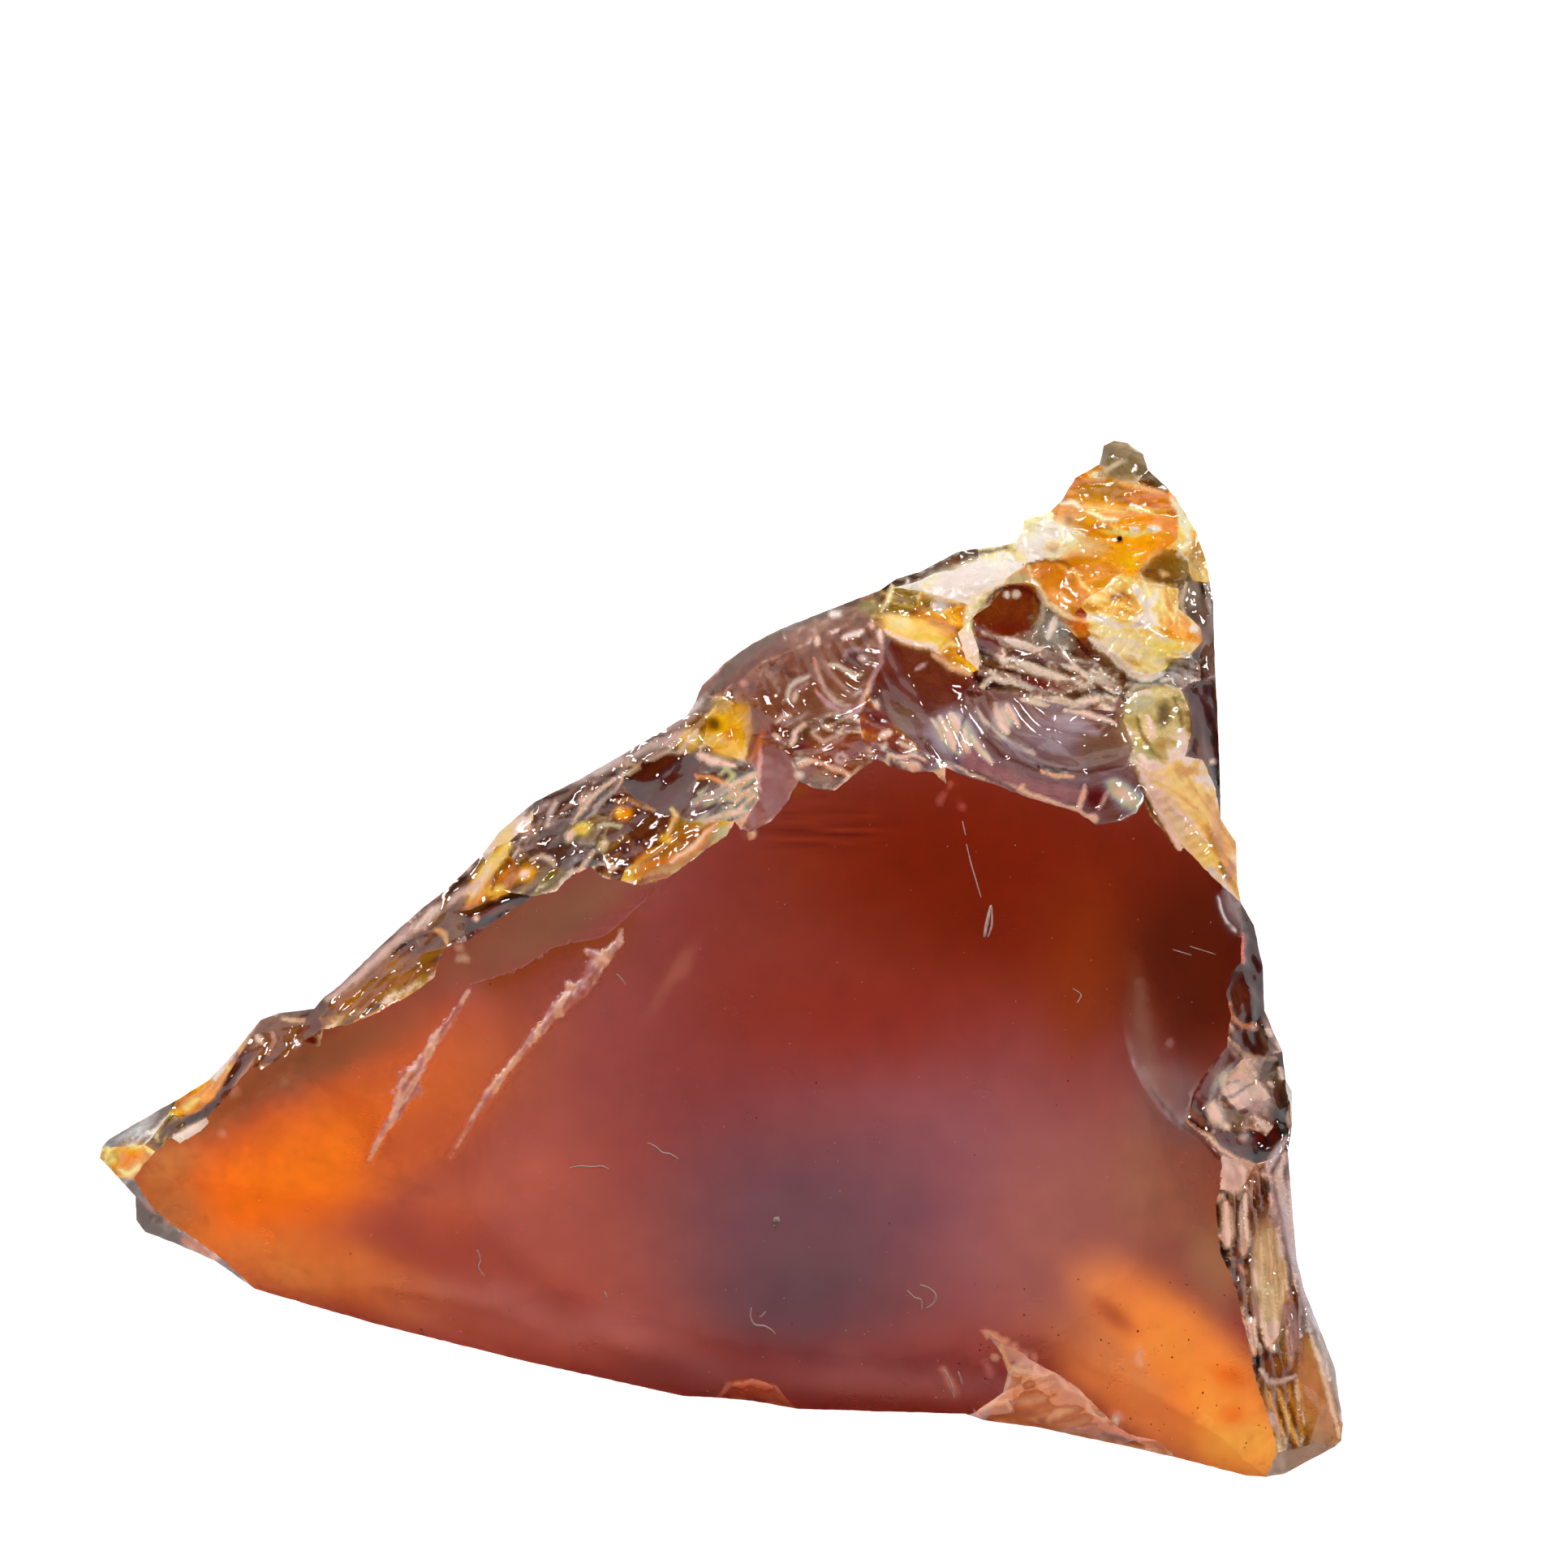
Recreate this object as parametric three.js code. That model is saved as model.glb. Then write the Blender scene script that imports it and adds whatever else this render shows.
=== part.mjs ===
// Raw amber: one broken piece of natural resin, lying on its broken underside.
// A wedge-like chip with one large, gently domed fracture face upward, a steep
// chipped flank along its upper left side, a shell-shaped fracture band and a
// remnant of crust towards its apex, a thin fluted edge on the right, and an
// underside of broad break faces round one flat face that it rests on.
//
// Millimetres, +Z up. The long side runs along X, the apex points to +Y, and
// the origin is at the centre of the box in X and Y, on the resting plane.
import * as THREE from 'three';

// ---- driving dimensions -------------------------------------------------
const UNITS_PER_MM = 36;          // the survey tables below are in 1/36 mm
const STATION_X = 965.5;          // survey station, in table units
const STATION_Y = 966;
const STATION_HEIGHT = 300;       // mm above the resting plane
const SURVEY_LEVEL = 8;           // mm, level at which 36 units are 1 mm
const DOME_TOP = 438;             // table units, crown of the large face
const DOME_AT = [1020, 1280];
const DOME_BEND = [0.00015, 0.0002];
const SCOOP_AT = [1560, 1250];    // shell-shaped scoop at the right edge
const SCOOP_RADIUS = 178;
const SCOOP_DEPTH = 42;
const SPLITS = 1;                 // times that each facet is split into four

// ---- survey tables: across, down, height above the resting plane ---------
// The first OUTLINE points run round the rim, then come the facet corners.
const OUTLINE = 99;
const FRONT_POINTS = [
  1373,543,150, 1390,546,153, 1409,560,157, 1414,578,160, 1440,603,173, 1450,615,178, 1474,655,185, 1486,690,190,
  1491,718,192, 1495,743,194, 1496,790,198, 1498,835,202, 1500,870,224, 1503,950,261, 1504,1009,301, 1523,1037,307,
  1525,1090,337, 1529,1112,310, 1545,1140,339, 1556,1190,332, 1558,1245,319, 1580,1295,298, 1584,1330,286, 1592,1345,274,
  1592,1386,308, 1587,1419,319, 1592,1480,310, 1598,1552,302, 1608,1592,298, 1618,1617,289, 1645,1685,265, 1655,1755,261,
  1653,1775,262, 1646,1782,268, 1583,1816,308, 1560,1820,336, 1535,1818,340, 1450,1796,357, 1379,1780,342, 1281,1759,330,
  1213,1750,354, 1189,1742,391, 983,1736,396, 927,1726,381, 880,1722,396, 842,1720,394, 651,1678,386, 462,1631,367,
  314,1588,344, 264,1553,319, 214,1531,304, 179,1518,290, 168,1503,291, 167,1474,302, 145,1450,292, 123,1427,269,
  126,1413,267, 134,1404,270, 200,1365,292, 217,1356,300, 257,1331,317, 275,1312,323, 299,1284,323, 321,1257,314,
  344,1248,324, 387,1243,344, 400,1228,336, 420,1213,334, 466,1168,327, 517,1122,344, 550,1096,340, 594,1053,335,
  615,1025,326, 659,988,320, 713,961,316, 765,931,289, 810,904,293, 846,882,293, 857,865,284, 865,845,262,
  894,816,258, 927,793,253, 962,775,245, 1020,752,216, 1085,727,204, 1105,713,201, 1133,705,197, 1180,680,190,
  1205,676,186, 1237,672,182, 1250,668,180, 1260,655,178, 1262,641,175, 1295,630,168, 1309,616,164, 1325,589,158,
  1345,578,154, 1355,572,153, 1360,549,151, 203,1380,308, 190,1398,313, 178,1411,313, 145,1413,286, 191,1419,331,
  176,1436,326, 165,1452,322, 175,1470,324, 190,1490,326, 214,1510,330, 245,1530,335, 280,1556,341, 310,1277,328,
  292,1305,339, 277,1330,342, 264,1352,341, 248,1368,336, 228,1377,316, 212,1373,304, 255,1377,348, 240,1386,336,
  225,1396,332, 212,1402,337, 201,1412,334, 257,1384,348, 247,1394,346, 232,1403,342, 222,1409,339, 331,1270,337,
  324,1292,347, 308,1314,362, 292,1335,358, 278,1352,354, 392,1255,361, 375,1262,358, 350,1266,351, 372,1285,369,
  350,1303,371, 322,1318,365, 398,1268,380, 394,1290,379, 490,1160,347, 462,1190,346, 430,1222,352, 405,1243,355,
  545,1118,351, 530,1140,361, 510,1152,353, 520,1175,384, 470,1215,373, 430,1245,369, 412,1262,378, 548,1168,398,
  535,1205,402, 505,1226,398, 460,1250,391, 430,1263,386, 570,1135,383, 575,1160,405, 600,1062,341, 585,1085,352,
  572,1104,358, 562,1122,368, 612,1043,340, 628,1036,346, 625,1052,357, 612,1070,365, 605,1092,377, 602,1110,384,
  580,1121,378, 628,1100,392, 640,1078,378, 635,1062,365, 657,1010,336, 640,1025,339, 748,958,307, 722,992,340,
  708,1015,362, 690,1030,368, 668,1040,364, 648,1050,362, 842,912,314, 826,927,314, 796,936,300, 768,958,309,
  745,985,339, 722,1005,355, 862,922,328, 861,950,353, 852,985,371, 835,1006,382, 812,1003,368, 790,990,350,
  768,972,328, 868,916,320, 872,882,308, 890,857,294, 906,868,307, 925,870,321, 926,905,350, 918,937,354,
  893,930,337, 872,860,283, 752,1000,355, 748,1020,373, 738,1042,391, 715,1040,387, 700,1035,376, 757,998,352,
  772,993,346, 781,1003,354, 776,1015,365, 760,1014,366, 828,1030,385, 800,1052,387, 770,1072,410, 748,1066,406,
  850,1012,385, 880,1010,401, 905,1012,422, 895,1030,423, 870,1046,420, 845,1066,422, 822,1082,424, 790,1091,423,
  765,1085,421, 882,972,380, 908,962,379, 932,958,379, 936,985,398, 925,1000,405, 912,1022,423, 935,948,375,
  728,1068,416, 705,1078,415, 690,1070,394, 660,1062,369, 686,1098,415, 658,1104,412, 630,1122,410, 600,1142,408,
  745,1082,419, 975,800,288, 930,822,295, 900,846,294, 1066,747,219, 1040,772,249, 1005,790,271, 990,850,336,
  975,890,357, 948,905,367, 1078,768,243, 1088,797,273, 1085,818,291, 1072,840,307, 1062,868,324, 1030,880,337,
  1000,885,352, 1060,892,344, 1066,915,364, 1080,935,384, 1062,948,391, 1048,958,397, 1028,974,404, 1000,970,409,
  985,962,410, 978,945,396, 965,925,378, 945,918,364, 970,988,416, 950,1012,421, 925,1025,423, 1385,568,176,
  1365,578,169, 1400,596,172, 1376,592,165, 1358,584,155, 1428,603,174, 1365,622,190, 1335,618,183, 1452,640,187,
  1420,632,204, 1390,626,201, 1450,665,197, 1420,660,220, 1380,658,227, 1345,652,208, 1312,650,191, 1297,640,174,
  1435,676,207, 1420,682,214, 1404,702,229, 1385,705,231, 1372,696,217, 1350,682,206, 1330,667,202, 1310,682,204,
  1288,690,205, 1266,694,210, 1255,702,213, 1240,712,219, 1250,690,195, 1256,672,185, 1372,712,232, 1360,725,233,
  1338,738,248, 1325,720,225, 1312,702,212, 1300,692,208, 1332,748,244, 1322,758,233, 1304,752,231, 1290,737,235,
  1280,722,227, 1270,710,216, 1450,678,202, 1463,690,200, 1466,706,203, 1452,725,216, 1430,720,226, 1410,717,244,
  1470,715,203, 1480,838,214, 1478,818,206, 1482,790,220, 1480,775,218, 1465,760,214, 1452,750,219, 1415,745,258,
  1410,770,270, 1385,775,271, 1360,765,268, 1340,756,253, 1460,792,242, 1435,785,258, 1466,806,229, 1445,812,243,
  1436,825,249, 1418,832,260, 1400,836,268, 1386,828,270, 1368,812,273, 1354,798,272, 1344,782,260, 1336,768,260,
  1345,802,253, 1330,788,242, 1316,774,234, 1304,764,229, 1207,690,196, 1185,700,204, 1150,707,203, 1125,718,207,
  1100,724,207, 1232,730,232, 1220,746,244, 1204,756,252, 1194,746,245, 1170,738,232, 1135,728,215, 1130,748,221,
  1105,762,232, 1088,776,247, 1194,766,252, 1180,780,260, 1150,798,270, 1125,796,268, 1105,788,259, 1200,785,263,
  1206,800,277, 1206,826,290, 1190,812,282, 1190,830,292, 1174,824,287, 1240,720,219, 1262,718,216, 1282,757,237,
  1268,774,242, 1248,783,245, 1222,780,249, 1300,790,245, 1270,805,256, 1240,812,265, 1388,840,254, 1380,856,271,
  1345,840,261, 1320,815,261, 1370,876,279, 1335,872,284, 1300,866,288, 1260,858,277, 1230,852,285, 1206,850,289,
  1204,838,284, 1190,850,299, 1172,868,312, 1140,880,315, 1110,872,321, 1088,852,311, 1386,868,277, 1384,888,289,
  1391,905,297, 1395,925,311, 1392,942,329, 1385,948,334, 1340,956,356, 1290,950,367, 1250,930,368, 1217,902,344,
  1197,868,319, 1230,968,374, 1195,958,375, 1165,946,374, 1135,924,362, 1112,900,349, 1088,878,335, 1072,862,320,
  1401,958,335, 1410,985,355, 1400,1002,360, 1380,1012,366, 1350,1016,371, 1330,1002,370, 1300,993,372, 1265,982,374,
  1110,926,365, 1080,915,367, 1166,966,379, 1150,951,377, 1125,952,380, 1100,946,383, 1465,842,226, 1455,850,242,
  1430,844,250, 1400,852,265, 1466,875,256, 1468,905,273, 1460,932,294, 1445,937,310, 1430,946,326, 1415,951,338,
  1403,942,330, 1398,920,308, 1498,972,283, 1482,936,281, 1478,965,303, 1486,1000,328, 1460,1000,350, 1438,978,348,
  1512,1075,353, 1498,1040,344, 1505,1090,362, 1480,1066,361, 1460,1045,360, 1444,1020,351, 1430,1000,349, 1415,975,346,
  1451,1049,363, 1434,1025,360, 1416,1003,358, 1546,1262,334, 1530,1266,351, 1517,1250,366, 1511,1225,370, 1516,1200,370,
  1529,1186,368, 1530,1155,367, 1560,1302,319, 1530,1306,341, 1512,1290,366, 1505,1342,352, 1512,1325,346, 1550,1330,308,
  1566,1352,296, 1545,1362,316, 1525,1368,339, 1575,1380,319, 1560,1400,330, 1540,1390,340, 1515,1395,365, 1500,1380,379,
  1490,1362,372, 1545,1436,359, 1520,1428,384, 1505,1425,398, 1488,1404,398, 1462,1382,400, 1470,1350,389, 1490,1315,374,
  1540,1450,363, 1528,1466,372, 1503,1466,396, 1505,1442,397, 1560,1432,348, 1566,1480,343, 1560,1500,342, 1548,1525,347,
  1538,1548,359, 1524,1550,372, 1505,1547,388, 1500,1515,392, 1498,1485,395, 1574,1518,329, 1582,1560,320, 1583,1600,324,
  1576,1645,333, 1562,1660,347, 1555,1630,350, 1549,1590,352, 1545,1560,350, 1552,1672,357, 1540,1662,368, 1532,1630,374,
  1524,1590,381, 1514,1565,385, 1600,1602,307, 1590,1560,309, 1600,1650,317, 1598,1680,318, 1580,1700,330, 1556,1692,353,
  1548,1702,360, 1600,1705,314, 1606,1740,309, 1613,1780,305, 1590,1786,322, 1574,1790,340, 1568,1762,346, 1560,1735,353,
  1612,1640,307, 1625,1680,293, 1640,1722,277, 1630,1780,284, 1566,1808,338, 1215,1640,406, 1237,1657,398, 1262,1668,395,
  1278,1680,392, 1300,1691,386, 1268,1696,366, 1242,1692,381, 1234,1668,391, 1330,1712,382, 1350,1732,377, 1374,1756,370,
  1400,1770,364, 1425,1774,361, 1200,1741,391, 1236,1716,383, 895,1702,397, 930,1698,398, 958,1708,397, 972,1726,398,
  1240,750,173, 1300,908,312, 1230,905,330, 1380,640,217, 1340,635,198, 1400,765,270, 1400,800,272, 1440,800,249,
  1015,955,380, 1010,925,362, 930,860,330, 1040,830,303, 1120,830,281, 1290,970,370, 1460,1020,354, 1500,1060,353,
  820,965,329, 900,900,309, 690,1005,338, 1560,1580,334, 1535,1340,313, 1540,1225,355, 1150,740,217, 1200,715,226,
  1110,770,239, 1330,850,281, 1250,835,276, 1430,900,278, 1480,890,257, 1345,700,211, 1305,725,216, 1435,700,194,
  1580,1750,323, 1625,1740,297, 1300,1735,346, 1245,1740,353, 1610,1795,296, 989,1036,420, 1086,1046,407, 1182,1043,396,
  1277,1038,385, 730,1129,421, 829,1120,427, 929,1121,431, 1030,1128,428, 1132,1116,415, 1233,1129,408, 1332,1119,395,
  1429,1122,381, 596,1205,410, 692,1205,421, 786,1197,428, 881,1210,434, 976,1197,436, 1073,1206,434, 1172,1204,427,
  1272,1198,416, 541,1289,404, 642,1276,417, 743,1289,426, 842,1281,433, 939,1281,437, 1035,1289,438, 1130,1276,436,
  1224,1289,431, 1319,1281,422, 391,1370,377, 486,1359,394, 583,1365,408, 682,1367,419, 782,1358,428, 884,1371,434,
  985,1358,437, 1086,1365,436, 1185,1366,432, 1282,1358,426, 1378,1371,417, 253,1448,344, 352,1444,366, 449,1440,384,
  545,1450,398, 639,1437,411, 734,1449,420, 829,1443,427, 926,1441,432, 1025,1450,432, 1125,1437,431, 1226,1449,426,
  1328,1442,418, 1429,1441,408, 394,1531,367, 496,1520,385, 596,1525,399, 695,1528,410, 792,1518,419, 888,1531,423,
  982,1520,426, 1077,1525,426, 1172,1528,422, 1269,1518,417, 1368,1531,407, 535,1611,381, 636,1598,396, 737,1609,404,
  838,1605,412, 939,1601,416, 1038,1611,416, 1135,1598,416, 1325,1604,403, 1420,1601,393, 1080,1685,405, 1181,1689,401,
  1381,1692,384, 1478,1681,374, 1524,1772,352, 1380,1215,404, 1395,1250,404, 1408,1290,403, 1422,1333,405, 1440,1360,403,
  1430,1250,392, 1450,1300,387, 1470,1260,379, 1480,1200,378, 1440,1190,387,
];
// corners of the large domed face
const DOME_FACETS = [
  104,106,105, 123,118,131, 123,629,124, 125,124,629, 126,125,629, 629,110,109, 122,121,126, 103,122,126, 126,629,103, 104,103,629,
  106,104,629, 107,106,629, 108,107,629, 629,109,108, 130,129,137, 136,135,139, 139,618,136, 136,618,137, 130,137,618, 155,154,619,
  139,138,155, 155,619,139, 618,139,619, 619,631,618, 630,618,631, 642,630,631, 631,643,642, 643,47,642, 48,642,47, 130,618,131,
  618,630,131, 123,131,630, 629,123,630, 110,629,630, 630,642,110, 642,48,110, 239,601,157, 157,601,151, 152,151,601, 609,152,601,
  609,601,610, 620,609,610, 610,621,620, 621,633,620, 632,620,633, 644,632,633, 653,644,654, 654,46,653, 232,240,233, 240,593,233,
  236,233,593, 593,240,224, 224,223,593, 602,593,603, 611,602,603, 645,634,646, 655,645,646, 236,593,237, 593,602,237, 238,237,602,
  239,238,602, 601,239,602, 610,601,602, 602,611,610, 621,610,611, 611,622,621, 622,634,621, 633,621,634, 634,645,633, 644,633,645,
  654,644,645, 645,655,654, 46,654,655, 152,609,153, 154,153,609, 619,154,609, 609,620,619, 620,632,619, 631,619,632, 643,631,632,
  632,644,643, 644,653,643, 47,643,653, 653,46,47, 594,222,221, 218,230,219, 45,656,548, 548,44,45, 657,550,549, 589,263,262,
  268,264,263, 263,589,268, 268,589,269, 270,269,589, 595,270,589, 624,637,636, 637,648,636, 219,230,270, 270,595,219, 220,219,595,
  221,220,595, 594,221,595, 604,594,595, 595,605,604, 605,613,604, 612,604,613, 623,612,613, 613,624,623, 624,636,623, 635,623,636,
  647,635,636, 636,648,647, 648,657,647, 656,647,657, 548,656,657, 657,549,548, 590,429,428, 260,259,429, 261,260,429, 429,590,261,
  41,663,546, 426,411,410, 410,591,426, 427,426,428, 590,428,426, 426,591,590, 591,597,590, 596,590,597, 606,596,597, 597,607,606,
  607,615,606, 614,606,615, 625,614,615, 615,626,625, 638,625,626, 649,638,650, 650,659,649, 658,649,659, 662,658,659, 659,663,662,
  663,41,662, 261,590,262, 589,262,590, 590,596,589, 595,589,596, 605,595,596, 596,606,605, 606,614,605, 613,605,614, 624,613,614,
  614,625,624, 637,624,625, 625,638,637, 638,649,637, 648,637,649, 649,658,648, 657,648,658, 550,657,658, 658,662,550, 551,550,662,
  42,551,662, 662,41,42, 222,594,223, 593,223,594, 603,593,594, 594,604,603, 604,612,603, 611,603,612, 622,611,612, 612,623,622,
  623,635,622, 634,622,635, 646,634,635, 635,647,646, 647,656,646, 655,646,656, 656,45,655, 46,655,45, 592,422,421, 537,536,660,
  422,592,423, 409,423,592, 592,599,598, 608,598,599, 616,608,617, 617,627,616, 627,640,639, 651,639,640, 533,651,660, 534,533,660,
  535,534,660, 660,536,535, 664,543,542, 417,458,418, 669,670,628, 545,544,664, 543,664,544, 592,421,420, 599,592,420, 420,419,599,
  419,600,599, 600,667,599, 608,599,667, 617,608,667, 667,668,617, 668,669,617, 669,628,617, 627,617,628, 640,627,628, 628,641,640,
  641,652,640, 651,640,652, 660,651,652, 652,661,660, 661,664,660, 537,660,664, 541,537,664, 664,542,541, 674,675,462, 487,674,468,
  483,491,484, 456,452,451, 672,676,675, 675,674,672, 673,672,674, 674,487,673, 487,486,673, 485,671,486, 666,520,527, 527,526,666,
  526,525,666, 525,532,666, 36,666,532, 532,35,36, 17,465,450, 465,464,675, 464,463,675, 462,675,463, 674,462,461, 468,674,461,
  511,510,665, 510,520,665, 520,666,665, 666,36,37, 418,458,457, 419,418,457, 457,456,419, 600,419,456, 456,451,600, 451,450,600,
  450,465,600, 465,675,600, 675,676,600, 667,600,676, 676,672,667, 668,667,672, 669,668,672, 672,673,669, 670,669,673, 673,486,670,
  486,671,670, 628,670,671, 641,628,671, 671,485,641, 485,484,641, 484,491,641, 491,490,641, 490,500,641, 500,499,641, 652,641,499,
  661,652,499, 499,498,661, 498,513,661, 513,512,661, 512,511,661, 511,665,661, 664,661,665, 545,664,665, 665,666,545, 666,37,545,
  591,410,409, 409,592,591, 592,598,591, 597,591,598, 607,597,598, 598,608,607, 608,616,607, 615,607,616, 626,615,616, 616,627,626,
  627,639,626, 638,626,639, 650,638,639, 639,651,650, 651,533,650, 659,650,533, 663,659,533, 533,540,663, 540,539,663, 539,547,663,
  546,663,547, 41,546,40,
];
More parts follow.
